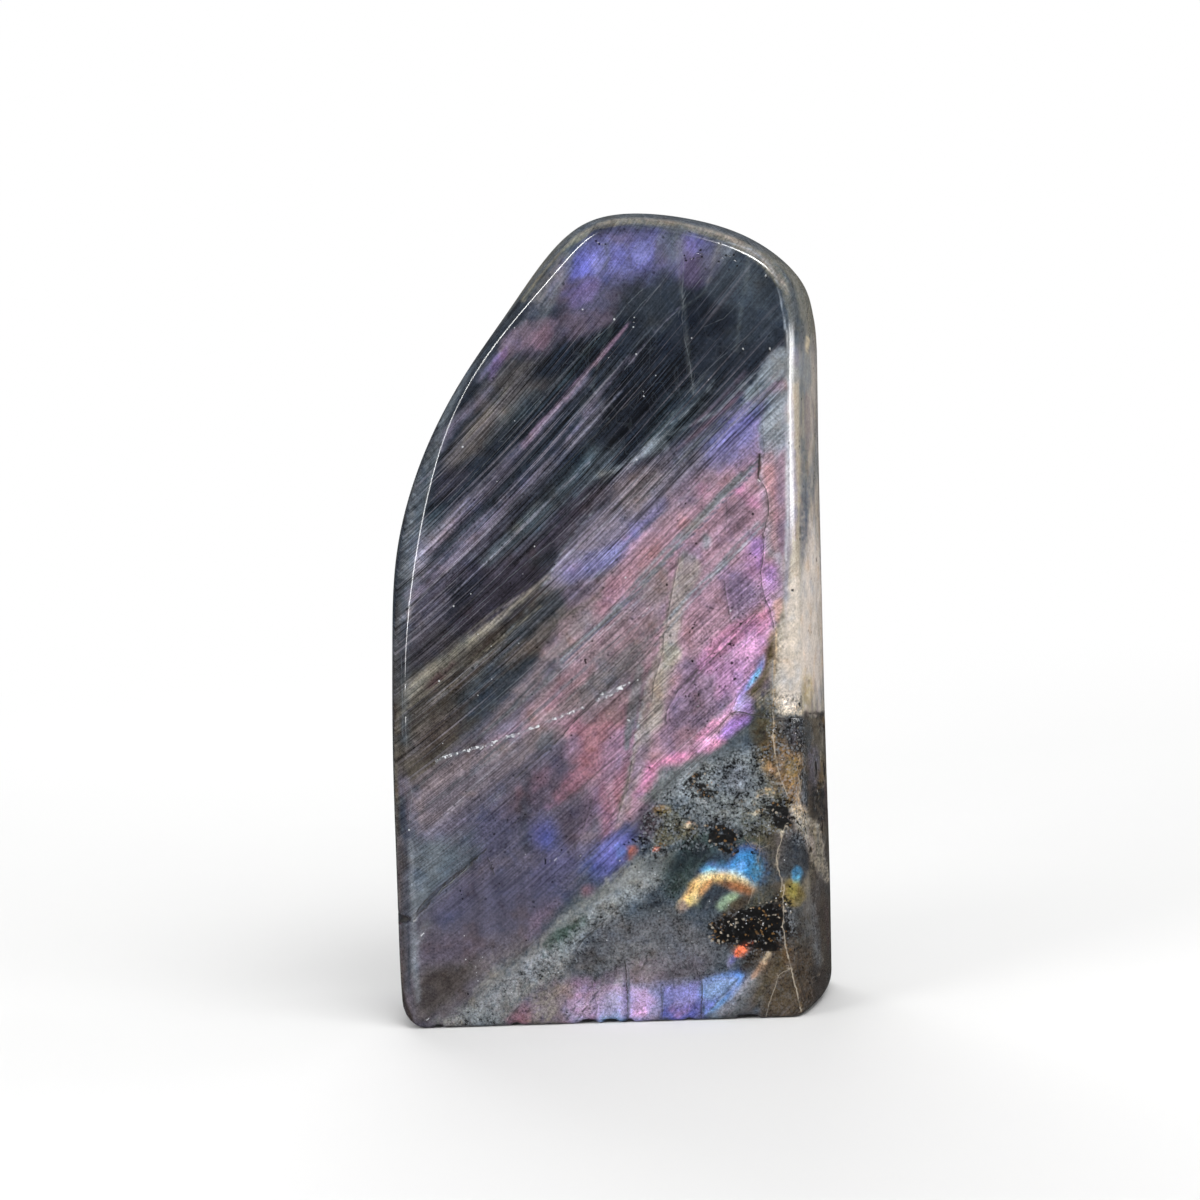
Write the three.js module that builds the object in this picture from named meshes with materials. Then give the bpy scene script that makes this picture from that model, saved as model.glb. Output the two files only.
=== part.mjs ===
// A polished labradorite freeform: one slab-like stone with a flat foot, a nearly flat face bounded by a
// polished bevel, flaring sides and a domed back. Millimetres, +Z up, the face looks along -Y.
// The origin is the middle of the stone's box, on the surface that it stands on.
import * as THREE from "three";
import { mergeVertices } from "three/addons/utils/BufferGeometryUtils.js";

// ---- driving dimensions (mm) ----
const FACE_Y = -17.63; // plane of the face's rim
const FACE_CROWN = 0.55; // how far the middle of the face stands proud of its rim
const FACE_CROWN_REACH = 22; // distance from the rim over which that crown builds up
const FOOT_THICKNESS = 35.6; // front to back, at the foot
const TOP_TAPER = 9.0; // how much thinner the stone is at its top
const BACK_CROWN = 2.0; // how far the back falls away at 40 mm from its middle
const BACK_EDGE_REACH = 11; // width of the rounded edge of the back
const BACK_EDGE_POWER = 2.3; // fullness of that rounded edge
// width of the rounded foot corners: face rim, bevel, middle, back rim
const LEFT_CORNER = [1.8, 4.4, 4.8, 4.8];
const RIGHT_CORNER = [1.6, 3.2, 3.2, 3.6];
const FOOT_Z = [0.7, 0, 0, 0]; // height of the lower edge of the same four outlines
const FOOT_DEPTH = [0, 0.8, 13, 30]; // their depth behind the face at the foot

// Four outlines of the stone, one behind the other, from the left end of the foot over the top to the right
// end. Each row is one control station: x and z of the face rim, of the bevel's outer edge, of the middle of
// the side and of the rim of the back, then the depth of the last three behind the face.
const OUTLINES = [
  [-38.19, 2.3, -40.5, 4.5, -41.99, 4.9, -42.31, 5.3, 2.4, 13.5, 26.5],
  [-37.86, 9.54, -40.64, 9.59, -42.02, 9.7, -42.19, 9.82, 2.66, 13.49, 26.11],
  [-37.25, 17.5, -40.53, 17.24, -41.84, 17.22, -41.94, 17.21, 2.9, 13.46, 25.67],
  [-36.79, 26.27, -40.31, 26.26, -41.6, 26.24, -41.65, 26.23, 3.11, 13.42, 25.19],
  [-36.64, 35.44, -40.12, 35.51, -41.38, 35.51, -41.36, 35.51, 3.28, 13.35, 24.63],
  [-36.67, 44.61, -39.93, 44.62, -41.14, 44.62, -41.02, 44.63, 3.4, 13.27, 23.99],
  [-36.7, 53.69, -39.64, 53.68, -40.78, 53.68, -40.55, 53.68, 3.5, 13.17, 23.37],
  [-36.51, 62.56, -39.2, 62.56, -40.28, 62.56, -39.97, 62.55, 3.58, 13.06, 22.84],
  [-35.89, 70.97, -38.68, 70.97, -39.76, 70.97, -39.4, 70.98, 3.65, 12.93, 22.39],
  [-34.8, 78.9, -38.19, 78.9, -39.26, 78.91, -38.84, 78.91, 3.71, 12.78, 21.98],
  [-33.33, 86.61, -37.41, 86.61, -38.39, 86.61, -37.85, 86.6, 3.77, 12.62, 21.58],
  [-31.57, 94.3, -35.79, 94.3, -36.67, 94.3, -36.02, 94.28, 3.85, 12.45, 21.21],
  [-29.54, 101.97, -33.25, 101.97, -34.02, 101.98, -33.26, 102.01, 3.78, 12.29, 20.89],
  [-27.05, 109.53, -29.94, 109.52, -30.56, 109.56, -29.7, 109.63, 3.4, 12.12, 20.6],
  [-23.65, 116.96, -25.73, 116.99, -26.35, 116.93, -25.65, 116.84, 2.84, 11.78, 20.33],
  [-19.11, 124.12, -20.76, 124.21, -21.59, 123.88, -21.4, 123.39, 2.4, 11.19, 20.07],
  [-13.77, 130.57, -15.48, 130.61, -16.71, 130.19, -16.89, 129.61, 2.19, 10.64, 19.81],
  [-8.24, 136.26, -10.23, 136.23, -12.26, 135.92, -12.4, 135.55, 2.06, 10.46, 19.6],
  [-3.24, 141.34, -5.25, 141.38, -8.1, 141.28, -7.92, 141.04, 1.98, 10.64, 19.48],
  [0.62, 145.33, -1.07, 145.62, -3.9, 145.9, -3.42, 145.47, 2.08, 10.94, 19.53],
  [3.99, 147.6, 2.75, 148.34, 0.67, 149.13, 1.18, 148.08, 2.35, 11.22, 19.73],
  [8.4, 148.27, 7.63, 149.39, 6.39, 150.41, 6.55, 148.7, 2.61, 11.43, 19.94],
  [14.15, 147.72, 13.95, 149.04, 13.4, 150.06, 12.89, 148.03, 2.76, 11.52, 20.03],
  [20.44, 146.32, 20.8, 147.66, 20.78, 148.68, 19.66, 146.74, 2.84, 11.51, 20.02],
  [26.52, 144.38, 27.25, 145.57, 27.6, 146.56, 26.12, 144.88, 2.93, 11.48, 19.96],
  [31.69, 142.03, 32.67, 142.79, 33.42, 143.44, 31.62, 142.22, 2.99, 11.48, 19.97],
  [35.23, 139.33, 36.58, 139.5, 38.02, 139.52, 36.05, 138.89, 3.01, 11.6, 20.2],
  [36.96, 135.99, 38.77, 135.86, 40.98, 135.51, 39.61, 135.21, 2.94, 11.83, 20.67],
  [37.53, 131.62, 39.57, 131.53, 41.82, 131.32, 41.87, 131.18, 2.8, 12.1, 21.17],
  [37.56, 125.66, 39.47, 125.67, 41.35, 125.68, 42.5, 125.67, 2.67, 12.33, 21.59],
  [37.32, 117.56, 39.07, 117.58, 40.93, 117.62, 42.26, 117.64, 2.6, 12.49, 21.96],
  [36.87, 107.56, 38.63, 107.56, 40.67, 107.57, 41.92, 107.57, 2.59, 12.58, 22.29],
  [36.29, 96.58, 38.17, 96.57, 40.36, 96.56, 41.67, 96.56, 2.6, 12.65, 22.59],
  [35.72, 85.47, 37.71, 85.47, 40.02, 85.47, 41.44, 85.47, 2.6, 12.72, 22.85],
  [35.27, 74.45, 37.33, 74.45, 39.72, 74.45, 41.22, 74.45, 2.6, 12.78, 23.12],
  [34.94, 63.36, 37.03, 63.36, 39.49, 63.36, 40.99, 63.36, 2.6, 12.84, 23.4],
  [34.74, 52.11, 36.85, 52.12, 39.34, 52.12, 40.79, 52.12, 2.61, 12.89, 23.7],
  [34.72, 41.03, 36.79, 41.06, 39.28, 41.05, 40.64, 41.06, 2.6, 12.93, 24.06],
  [34.83, 30.78, 36.82, 30.77, 39.31, 30.75, 40.53, 30.73, 2.56, 12.96, 24.48],
  [34.95, 21.74, 36.82, 21.63, 39.35, 21.67, 40.39, 21.63, 2.47, 12.98, 24.95],
  [34.92, 13.03, 36.67, 13.12, 39.33, 13.25, 40.19, 13.36, 2.34, 13, 25.46],
  [34.63, 2.3, 36.3, 3.4, 39.16, 3.4, 39.85, 4, 2.2, 13, 26],
];

// ---- mesh density ----
const OPEN_STEPS = 92; // steps along the outline from foot to foot
const CORNER_STEPS = 6;
const FOOT_STEPS = 18;
const SIDE_ROWS = [0, 0.16, 0.36, 0.58, 0.8, 1]; // bevel to back rim
const BACK_ROWS = [0.006, 0.02, 0.045, 0.085, 0.14, 0.21, 0.31, 0.45, 0.62, 0.8, 0.93];
const FACE_ROWS = [0.1, 0.24, 0.42, 0.62, 0.8, 0.93];

// A uniform cubic B-spline through the stations that ends exactly on the first and the last of them.
function station(u) {
  const last = OUTLINES.length - 1;
  const x = Math.min(Math.max(u, 0), last - 1e-9);
  const k = Math.floor(x);
  const f = x - k;
  const row = (i, c) =>
    i < 0
      ? 2 * OUTLINES[0][c] - OUTLINES[1][c]
      : i > last
        ? 2 * OUTLINES[last][c] - OUTLINES[last - 1][c]
        : OUTLINES[i][c];
  const w = [(1 - f) ** 3, 3 * f ** 3 - 6 * f * f + 4, -3 * f ** 3 + 3 * f * f + 3 * f + 1, f ** 3];
  return OUTLINES[0].map((_, c) => w.reduce((s, wj, j) => s + wj * row(k - 1 + j, c), 0) / 6);
}

// A point of outline n (0 to 3) as [x, depth, z]. t runs 0..1 over the top from foot to foot, 1..2 round the
// right corner, 2..3 along the foot to the left and 3..4 round the left corner.
function outline(n, t) {
  const depthOf = (s) => (n === 0 ? 0 : s[7 + n]);
  if (t < 1) {
    const s = station(t * (OUTLINES.length - 1));
    return [s[2 * n], depthOf(s), s[2 * n + 1]];
  }
  const left = OUTLINES[0];
  const right = OUTLINES[OUTLINES.length - 1];
  if (t >= 2 && t < 3) {
    const xr = right[2 * n] - RIGHT_CORNER[n];
    const xl = left[2 * n] + LEFT_CORNER[n];
    return [xr + (xl - xr) * (t - 2), FOOT_DEPTH[n], FOOT_Z[n]];
  }
  const isRight = t < 2;
  const end = isRight ? right : left;
  const f = isRight ? t - 1 : 4 - t;
  const a = (f * Math.PI) / 2;
  const sign = isRight ? 1 : -1;
  const ease = f * f * (3 - 2 * f);
  return [
    end[2 * n] - sign * (isRight ? RIGHT_CORNER : LEFT_CORNER)[n] * (1 - Math.cos(a)),
    depthOf(end) + (FOOT_DEPTH[n] - depthOf(end)) * ease,
    end[2 * n + 1] - (end[2 * n + 1] - FOOT_Z[n]) * Math.sin(a),
  ];
}

// The side of the stone: a parabola through the bevel's edge (v = 0), the middle and the rim of the back (v = 1).
function side(t, v) {
  const a = outline(1, t);
  const b = outline(2, t);
  const c = outline(3, t);
  const m = (b[1] - a[1]) / (c[1] - a[1]);
  const la = ((v - m) * (v - 1)) / m;
  const lb = (v * (v - 1)) / (m * (m - 1));
  const lc = (v * (v - m)) / (1 - m);
  return [la * a[0] + lb * b[0] + lc * c[0], a[1] + (c[1] - a[1]) * v, la * a[2] + lb * b[2] + lc * c[2]];
}

const steps = [];
for (let i = 0; i < OPEN_STEPS; i++) steps.push(i / OPEN_STEPS);
for (let i = 0; i < CORNER_STEPS; i++) steps.push(1 + i / CORNER_STEPS);
for (let i = 0; i < FOOT_STEPS; i++) steps.push(2 + i / FOOT_STEPS);
for (let i = 0; i < CORNER_STEPS; i++) steps.push(3 + i / CORNER_STEPS);
const N = steps.length;

const faceRim = steps.map((t) => outline(0, t));
const backRim = steps.map((t) => outline(3, t));

// Distance from (x, z) to a rim, and the depth of the rim at its nearest point.
function nearest(rim, x, z) {
  let best = Infinity;
  let depth = 0;
  for (let i = 0; i < N; i++) {
    const p = rim[i];
    const q = rim[(i + 1) % N];
    const ex = q[0] - p[0];
    const ez = q[2] - p[2];
    const f = Math.min(Math.max(((x - p[0]) * ex + (z - p[2]) * ez) / Math.max(ex * ex + ez * ez, 1e-12), 0), 1);
    const d = Math.hypot(x - p[0] - f * ex, z - p[2] - f * ez);
    if (d < best) {
      best = d;
      depth = p[1] + (q[1] - p[1]) * f;
    }
  }
  return [best, depth];
}

// Thickness of the stone away from its edges, with the shallow swells and hollows of a hand-ground back.
function thickness(x, z) {
  return (
    FOOT_THICKNESS -
    TOP_TAPER * Math.pow(Math.max(z, 0) / 150, 1.2) -
    BACK_CROWN * (x / 40) ** 2 +
    0.8 * Math.sin(x / 13 + 1) * Math.sin(z / 21 + 0.4) -
    1.5 * Math.exp(-(((x + 13) / 12) ** 2) - ((z - 90) / 19) ** 2) +
    0.9 * Math.exp(-(((x - 16) / 13) ** 2) - ((z - 52) / 18) ** 2)
  );
}

function backDepth(x, z) {
  const [d, rim] = nearest(backRim, x, z);
  const s = Math.min(d / BACK_EDGE_REACH, 1);
  const h = Math.pow(Math.max(1 - Math.pow(1 - s, BACK_EDGE_POWER), 0), 1 / BACK_EDGE_POWER);
  return rim + (thickness(x, z) - rim) * h;
}

function faceDepth(x, z) {
  const s = Math.min(nearest(faceRim, x, z)[0] / FACE_CROWN_REACH, 1);
  return -FACE_CROWN * (1 - (1 - s) ** 2);
}

// The line in the middle of the stone that the inner rows of the face and the back close in on.
function inward(p, k) {
  const s = Math.min(Math.max(p[2] / 150, 0), 1);
  const e = s ** 3 * (s * (6 * s - 15) + 10);
  return [p[0] + k * (-2.5 + 7.5 * e - p[0]), p[2] + k * (38 + 72 * e - p[2])];
}

// ---- rows of the mesh, from the innermost row of the face round to the innermost row of the back ----
const rows = [];
for (const k of [...FACE_ROWS].reverse())
  rows.push(
    faceRim.map((p) => {
      const [x, z] = inward(p, k);
      return [x, faceDepth(x, z), z];
    }),
  );
rows.push(faceRim);
for (const v of SIDE_ROWS) rows.push(steps.map((t) => side(t, v)));
for (const k of BACK_ROWS)
  rows.push(
    backRim.map((p) => {
      const [x, z] = inward(p, k);
      return [x, backDepth(x, z), z];
    }),
  );

const vertices = rows.flat().flatMap(([x, d, z]) => [x, FACE_Y + d, z]);
const faces = [];
for (let r = 0; r + 1 < rows.length; r++)
  for (let i = 0; i < N; i++) {
    const j = (i + 1) % N;
    const a = r * N + i;
    const b = r * N + j;
    const c = (r + 1) * N + i;
    const d = (r + 1) * N + j;
    // the shorter diagonal splits each quad
    const at = (n) => new THREE.Vector3(vertices[3 * n], vertices[3 * n + 1], vertices[3 * n + 2]);
    if (at(a).distanceTo(at(d)) < at(b).distanceTo(at(c))) faces.push(a, d, c, a, b, d);
    else faces.push(a, b, c, b, d, c);
  }

// The two narrow openings that are left, in the middle of the face and of the back.
function cap(row, flip) {
  const base = row * N;
  const loop = rows[row].map(([x, , z]) => new THREE.Vector2(x, z));
  for (const [a, b, c] of THREE.ShapeUtils.triangulateShape(loop, [])) {
    const p = loop[a];
    const q = loop[b];
    const r = loop[c];
    const turn = (q.x - p.x) * (r.y - p.y) - (q.y - p.y) * (r.x - p.x);
    if (turn > 0 !== flip) faces.push(base + a, base + b, base + c);
    else faces.push(base + a, base + c, base + b);
  }
}
cap(0, false); // the face looks along -Y
cap(rows.length - 1, true); // the back looks along +Y

const shell = new THREE.BufferGeometry();
shell.setAttribute("position", new THREE.BufferAttribute(new Float32Array(vertices), 3));
shell.setIndex(faces);
const geometry = mergeVertices(shell, 1e-4);
geometry.computeVertexNormals();

const stone = new THREE.Mesh(
  geometry,
  new THREE.MeshStandardMaterial({
    name: "labradorite",
    color: new THREE.Color().setRGB(0.36, 0.33, 0.38, THREE.SRGBColorSpace),
    roughness: 0.16,
    metalness: 0,
  }),
);
stone.name = "labradorite_freeform";

const group = new THREE.Group();
group.name = "labradorite_freeform_stone";
group.add(stone);
export default group;
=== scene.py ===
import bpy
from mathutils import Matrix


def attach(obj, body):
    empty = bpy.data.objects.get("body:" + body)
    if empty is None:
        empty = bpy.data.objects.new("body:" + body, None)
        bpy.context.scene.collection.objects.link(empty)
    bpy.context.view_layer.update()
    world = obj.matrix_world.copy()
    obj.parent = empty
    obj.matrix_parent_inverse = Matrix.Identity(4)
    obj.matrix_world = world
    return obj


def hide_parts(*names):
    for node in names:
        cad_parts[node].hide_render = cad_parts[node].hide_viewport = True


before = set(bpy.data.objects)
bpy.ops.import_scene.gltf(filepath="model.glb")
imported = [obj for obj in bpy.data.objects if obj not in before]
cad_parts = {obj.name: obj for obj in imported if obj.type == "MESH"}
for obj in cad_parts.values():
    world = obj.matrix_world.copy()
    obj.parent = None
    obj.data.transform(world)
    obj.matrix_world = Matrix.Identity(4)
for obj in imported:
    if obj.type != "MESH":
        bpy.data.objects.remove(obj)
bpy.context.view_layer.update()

import math

import bpy
import numpy as np
from mathutils import Matrix, Vector

MM = 0.001
NODE = "labradorite_freeform"

# ------------------------------------------------------------------ the stone's form
FACE_Y = -17.63
FACE_CROWN, FACE_CROWN_REACH = 0.55, 22.0
BACK_EDGE_REACH, BACK_EDGE_POWER = 11.0, 2.3
CORNERS = ((1.8, 4.4, 4.8, 4.8), (1.6, 3.2, 3.2, 3.6))
FOOT_Z = (0.7, 0.0, 0.0, 0.0)
FOOT_DEPTH = (0.0, 0.8, 13.0, 30.0)
# x and z of the face rim, the bevel's outer edge, the middle of the side and the rim of the back, then the
# depths of the last three behind the face: 42 stations from the left end of the foot over the top to the right end
OUTLINES = np.array([
    [-38.19, 2.3, -40.5, 4.5, -41.99, 4.9, -42.31, 5.3, 2.4, 13.5, 26.5],
    [-37.86, 9.54, -40.64, 9.59, -42.02, 9.7, -42.19, 9.82, 2.66, 13.49, 26.11],
    [-37.25, 17.5, -40.53, 17.24, -41.84, 17.22, -41.94, 17.21, 2.9, 13.46, 25.67],
    [-36.79, 26.27, -40.31, 26.26, -41.6, 26.24, -41.65, 26.23, 3.11, 13.42, 25.19],
    [-36.64, 35.44, -40.12, 35.51, -41.38, 35.51, -41.36, 35.51, 3.28, 13.35, 24.63],
    [-36.67, 44.61, -39.93, 44.62, -41.14, 44.62, -41.02, 44.63, 3.4, 13.27, 23.99],
    [-36.7, 53.69, -39.64, 53.68, -40.78, 53.68, -40.55, 53.68, 3.5, 13.17, 23.37],
    [-36.51, 62.56, -39.2, 62.56, -40.28, 62.56, -39.97, 62.55, 3.58, 13.06, 22.84],
    [-35.89, 70.97, -38.68, 70.97, -39.76, 70.97, -39.4, 70.98, 3.65, 12.93, 22.39],
    [-34.8, 78.9, -38.19, 78.9, -39.26, 78.91, -38.84, 78.91, 3.71, 12.78, 21.98],
    [-33.33, 86.61, -37.41, 86.61, -38.39, 86.61, -37.85, 86.6, 3.77, 12.62, 21.58],
    [-31.57, 94.3, -35.79, 94.3, -36.67, 94.3, -36.02, 94.28, 3.85, 12.45, 21.21],
    [-29.54, 101.97, -33.25, 101.97, -34.02, 101.98, -33.26, 102.01, 3.78, 12.29, 20.89],
    [-27.05, 109.53, -29.94, 109.52, -30.56, 109.56, -29.7, 109.63, 3.4, 12.12, 20.6],
    [-23.65, 116.96, -25.73, 116.99, -26.35, 116.93, -25.65, 116.84, 2.84, 11.78, 20.33],
    [-19.11, 124.12, -20.76, 124.21, -21.59, 123.88, -21.4, 123.39, 2.4, 11.19, 20.07],
    [-13.77, 130.57, -15.48, 130.61, -16.71, 130.19, -16.89, 129.61, 2.19, 10.64, 19.81],
    [-8.24, 136.26, -10.23, 136.23, -12.26, 135.92, -12.4, 135.55, 2.06, 10.46, 19.6],
    [-3.24, 141.34, -5.25, 141.38, -8.1, 141.28, -7.92, 141.04, 1.98, 10.64, 19.48],
    [0.62, 145.33, -1.07, 145.62, -3.9, 145.9, -3.42, 145.47, 2.08, 10.94, 19.53],
    [3.99, 147.6, 2.75, 148.34, 0.67, 149.13, 1.18, 148.08, 2.35, 11.22, 19.73],
    [8.4, 148.27, 7.63, 149.39, 6.39, 150.41, 6.55, 148.7, 2.61, 11.43, 19.94],
    [14.15, 147.72, 13.95, 149.04, 13.4, 150.06, 12.89, 148.03, 2.76, 11.52, 20.03],
    [20.44, 146.32, 20.8, 147.66, 20.78, 148.68, 19.66, 146.74, 2.84, 11.51, 20.02],
    [26.52, 144.38, 27.25, 145.57, 27.6, 146.56, 26.12, 144.88, 2.93, 11.48, 19.96],
    [31.69, 142.03, 32.67, 142.79, 33.42, 143.44, 31.62, 142.22, 2.99, 11.48, 19.97],
    [35.23, 139.33, 36.58, 139.5, 38.02, 139.52, 36.05, 138.89, 3.01, 11.6, 20.2],
    [36.96, 135.99, 38.77, 135.86, 40.98, 135.51, 39.61, 135.21, 2.94, 11.83, 20.67],
    [37.53, 131.62, 39.57, 131.53, 41.82, 131.32, 41.87, 131.18, 2.8, 12.1, 21.17],
    [37.56, 125.66, 39.47, 125.67, 41.35, 125.68, 42.5, 125.67, 2.67, 12.33, 21.59],
    [37.32, 117.56, 39.07, 117.58, 40.93, 117.62, 42.26, 117.64, 2.6, 12.49, 21.96],
    [36.87, 107.56, 38.63, 107.56, 40.67, 107.57, 41.92, 107.57, 2.59, 12.58, 22.29],
    [36.29, 96.58, 38.17, 96.57, 40.36, 96.56, 41.67, 96.56, 2.6, 12.65, 22.59],
    [35.72, 85.47, 37.71, 85.47, 40.02, 85.47, 41.44, 85.47, 2.6, 12.72, 22.85],
    [35.27, 74.45, 37.33, 74.45, 39.72, 74.45, 41.22, 74.45, 2.6, 12.78, 23.12],
    [34.94, 63.36, 37.03, 63.36, 39.49, 63.36, 40.99, 63.36, 2.6, 12.84, 23.4],
    [34.74, 52.11, 36.85, 52.12, 39.34, 52.12, 40.79, 52.12, 2.61, 12.89, 23.7],
    [34.72, 41.03, 36.79, 41.06, 39.28, 41.05, 40.64, 41.06, 2.6, 12.93, 24.06],
    [34.83, 30.78, 36.82, 30.77, 39.31, 30.75, 40.53, 30.73, 2.56, 12.96, 24.48],
    [34.95, 21.74, 36.82, 21.63, 39.35, 21.67, 40.39, 21.63, 2.47, 12.98, 24.95],
    [34.92, 13.03, 36.67, 13.12, 39.33, 13.25, 40.19, 13.36, 2.34, 13, 25.46],
    [34.63, 2.3, 36.3, 3.4, 39.16, 3.4, 39.85, 4, 2.2, 13, 26],
])
LAST = len(OUTLINES) - 1


def station(u):
    u = np.clip(u, 0, LAST - 1e-9)
    k = np.floor(u).astype(int)
    f = (u - k)[:, None]
    E = np.vstack([2 * OUTLINES[0] - OUTLINES[1], OUTLINES, 2 * OUTLINES[-1] - OUTLINES[-2]])
    w = ((1 - f) ** 3, 3 * f**3 - 6 * f * f + 4, -3 * f**3 + 3 * f * f + 3 * f + 1, f**3)
    return sum(w[j] * E[k + j] for j in range(4)) / 6


def outline(n, t):
    """Outline n at t: 0..1 over the top from foot to foot, 1..2 right corner, 2..3 along the foot, 3..4 left corner."""
    t = np.asarray(t, float) % 4
    P = np.zeros((len(t), 3))
    m = t < 1
    s = station(t[m] * LAST)
    P[m, 0], P[m, 2] = s[:, 2 * n], s[:, 2 * n + 1]
    if n:
        P[m, 1] = s[:, 7 + n]
    for side_no, lo, row, sg in ((1, 1, -1, 1), (0, 3, 0, -1)):
        m = (t >= lo) & (t < lo + 1)
        f = t[m] - lo
        if sg < 0:
            f = 1 - f
        a = f * math.pi / 2
        x0, z0 = OUTLINES[row, 2 * n], OUTLINES[row, 2 * n + 1]
        d0 = OUTLINES[row, 7 + n] if n else 0
        P[m, 0] = x0 - sg * CORNERS[side_no][n] * (1 - np.cos(a))
        P[m, 2] = z0 - (z0 - FOOT_Z[n]) * np.sin(a)
        P[m, 1] = d0 + (FOOT_DEPTH[n] - d0) * (f * f * (3 - 2 * f))
    m = (t >= 2) & (t < 3)
    xr, xl = OUTLINES[-1, 2 * n] - CORNERS[1][n], OUTLINES[0, 2 * n] + CORNERS[0][n]
    P[m, 0], P[m, 2], P[m, 1] = xr + (xl - xr) * (t[m] - 2), FOOT_Z[n], FOOT_DEPTH[n]
    return P


def side(t, v):
    """The side between the bevel's outer edge (v = 0) and the rim of the back (v = 1)."""
    a, b, c = outline(1, t), outline(2, t), outline(3, t)
    m = (b[:, 1] - a[:, 1]) / (c[:, 1] - a[:, 1])
    v = np.broadcast_to(np.asarray(v, float), m.shape)
    P = ((v - m) * (v - 1) / m)[:, None] * a + (v * (v - 1) / (m * (m - 1)))[:, None] * b
    P = P + (v * (v - m) / (1 - m))[:, None] * c
    P[:, 1] = a[:, 1] + (c[:, 1] - a[:, 1]) * v
    return P


RIM_T = np.concatenate([np.linspace(0, 1, 160, endpoint=False)] + [k + np.linspace(0, 1, 12, endpoint=False) for k in (1, 2, 3)])


def nearest(n, x, z):
    """Distance to outline n in the plane of the face, and the outline's depth at the nearest point."""
    rim = outline(n, RIM_T)
    A, B = rim, np.roll(rim, -1, 0)
    ex, ez = B[:, 0] - A[:, 0], B[:, 2] - A[:, 2]
    L = np.maximum(ex * ex + ez * ez, 1e-12)
    best, depth = np.empty(len(x)), np.empty(len(x))
    for s in range(0, len(x), 8000):
        px, pz = x[s : s + 8000, None], z[s : s + 8000, None]
        f = np.clip(((px - A[:, 0]) * ex + (pz - A[:, 2]) * ez) / L, 0, 1)
        d = (px - A[:, 0] - f * ex) ** 2 + (pz - A[:, 2] - f * ez) ** 2
        i = d.argmin(1)
        r = np.arange(len(i))
        best[s : s + 8000] = np.sqrt(d[r, i])
        depth[s : s + 8000] = A[i, 1] + (B[i, 1] - A[i, 1]) * f[r, i]
    return best, depth


def thickness(x, z):
    return (
        35.6 - 9.0 * np.power(np.clip(z, 0, None) / 150, 1.2) - 2.0 * (x / 40) ** 2
        + 0.8 * np.sin(x / 13 + 1) * np.sin(z / 21 + 0.4)
        - 1.5 * np.exp(-(((x + 13) / 12) ** 2) - ((z - 90) / 19) ** 2)
        + 0.9 * np.exp(-(((x - 16) / 13) ** 2) - ((z - 52) / 18) ** 2)
    )


def back_depth(x, z):
    d, rim = nearest(3, x, z)
    s = np.minimum(d / BACK_EDGE_REACH, 1)
    h = np.power(np.maximum(1 - np.power(1 - s, BACK_EDGE_POWER), 0), 1 / BACK_EDGE_POWER)
    return rim + (thickness(x, z) - rim) * h


def face_depth(x, z):
    s = np.minimum(nearest(0, x, z)[0] / FACE_CROWN_REACH, 1)
    return -FACE_CROWN * (1 - (1 - s) ** 2)


def inward(P, k):
    s = np.clip(P[:, 2] / 150, 0, 1)
    e = s**3 * (s * (6 * s - 15) + 10)
    return P[:, 0] + k * (-2.5 + 7.5 * e - P[:, 0]), P[:, 2] + k * (38 + 72 * e - P[:, 2])


# ------------------------------------------------------------------ noise, distances
def _hash(i, j, seed):
    n = (i * 374761393 + j * 668265263 + seed * 974634777) & 0xFFFFFFFF
    n = ((n ^ (n >> 13)) * 1274126177) & 0xFFFFFFFF
    return n ^ (n >> 16)


def noise(x, y, seed):
    i, j = np.floor(x).astype(np.int64), np.floor(y).astype(np.int64)
    fx, fy = x - i, y - j
    u, v = (f**3 * (f * (f * 6 - 15) + 10) for f in (fx, fy))

    def corner(a, b):
        w = _hash(i + a, j + b, seed) * (2 * math.pi / 4294967296.0)
        return np.cos(w) * (fx - a) + np.sin(w) * (fy - b)

    a, b, c, d = corner(0, 0), corner(1, 0), corner(0, 1), corner(1, 1)
    return ((a + (b - a) * u) * (1 - v) + (c + (d - c) * u) * v) * 1.5


def fbm(x, y, seed, octaves=3, gain=0.5):
    r, a, total = 0, 1.0, 0.0
    for o in range(octaves):
        r = r + a * noise(x * 2**o + 17.3 * o, y * 2**o - 9.1 * o, seed + 101 * o)
        total += a
        a *= gain
    return r / total * 1.25


def smooth(e0, e1, x):
    t = np.clip((x - e0) / (e1 - e0), 0, 1)
    return t * t * (3 - 2 * t)


def rounded(P):
    Q = np.roll(P, -1, 0)
    return np.stack([0.8 * P + 0.2 * Q, 0.2 * P + 0.8 * Q], 1).reshape(-1, 2)


def inside_distance(x, z, P):
    """Distance to a closed outline, negative inside."""
    best, within = np.full(x.shape, 1e18), np.zeros(x.shape, bool)
    for i in range(len(P)):
        (ax, az), (bx, bz) = P[i], P[(i + 1) % len(P)]
        ex, ez = bx - ax, bz - az
        wx, wz = x - ax, z - az
        f = np.clip((wx * ex + wz * ez) / (ex * ex + ez * ez + 1e-12), 0, 1)
        best = np.minimum(best, (wx - f * ex) ** 2 + (wz - f * ez) ** 2)
        if az != bz:
            within ^= ((az > z) != (bz > z)) & (x < ax + (z - az) * ex / ez)
    d = np.sqrt(best)
    return np.where(within, -d, d)


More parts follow.
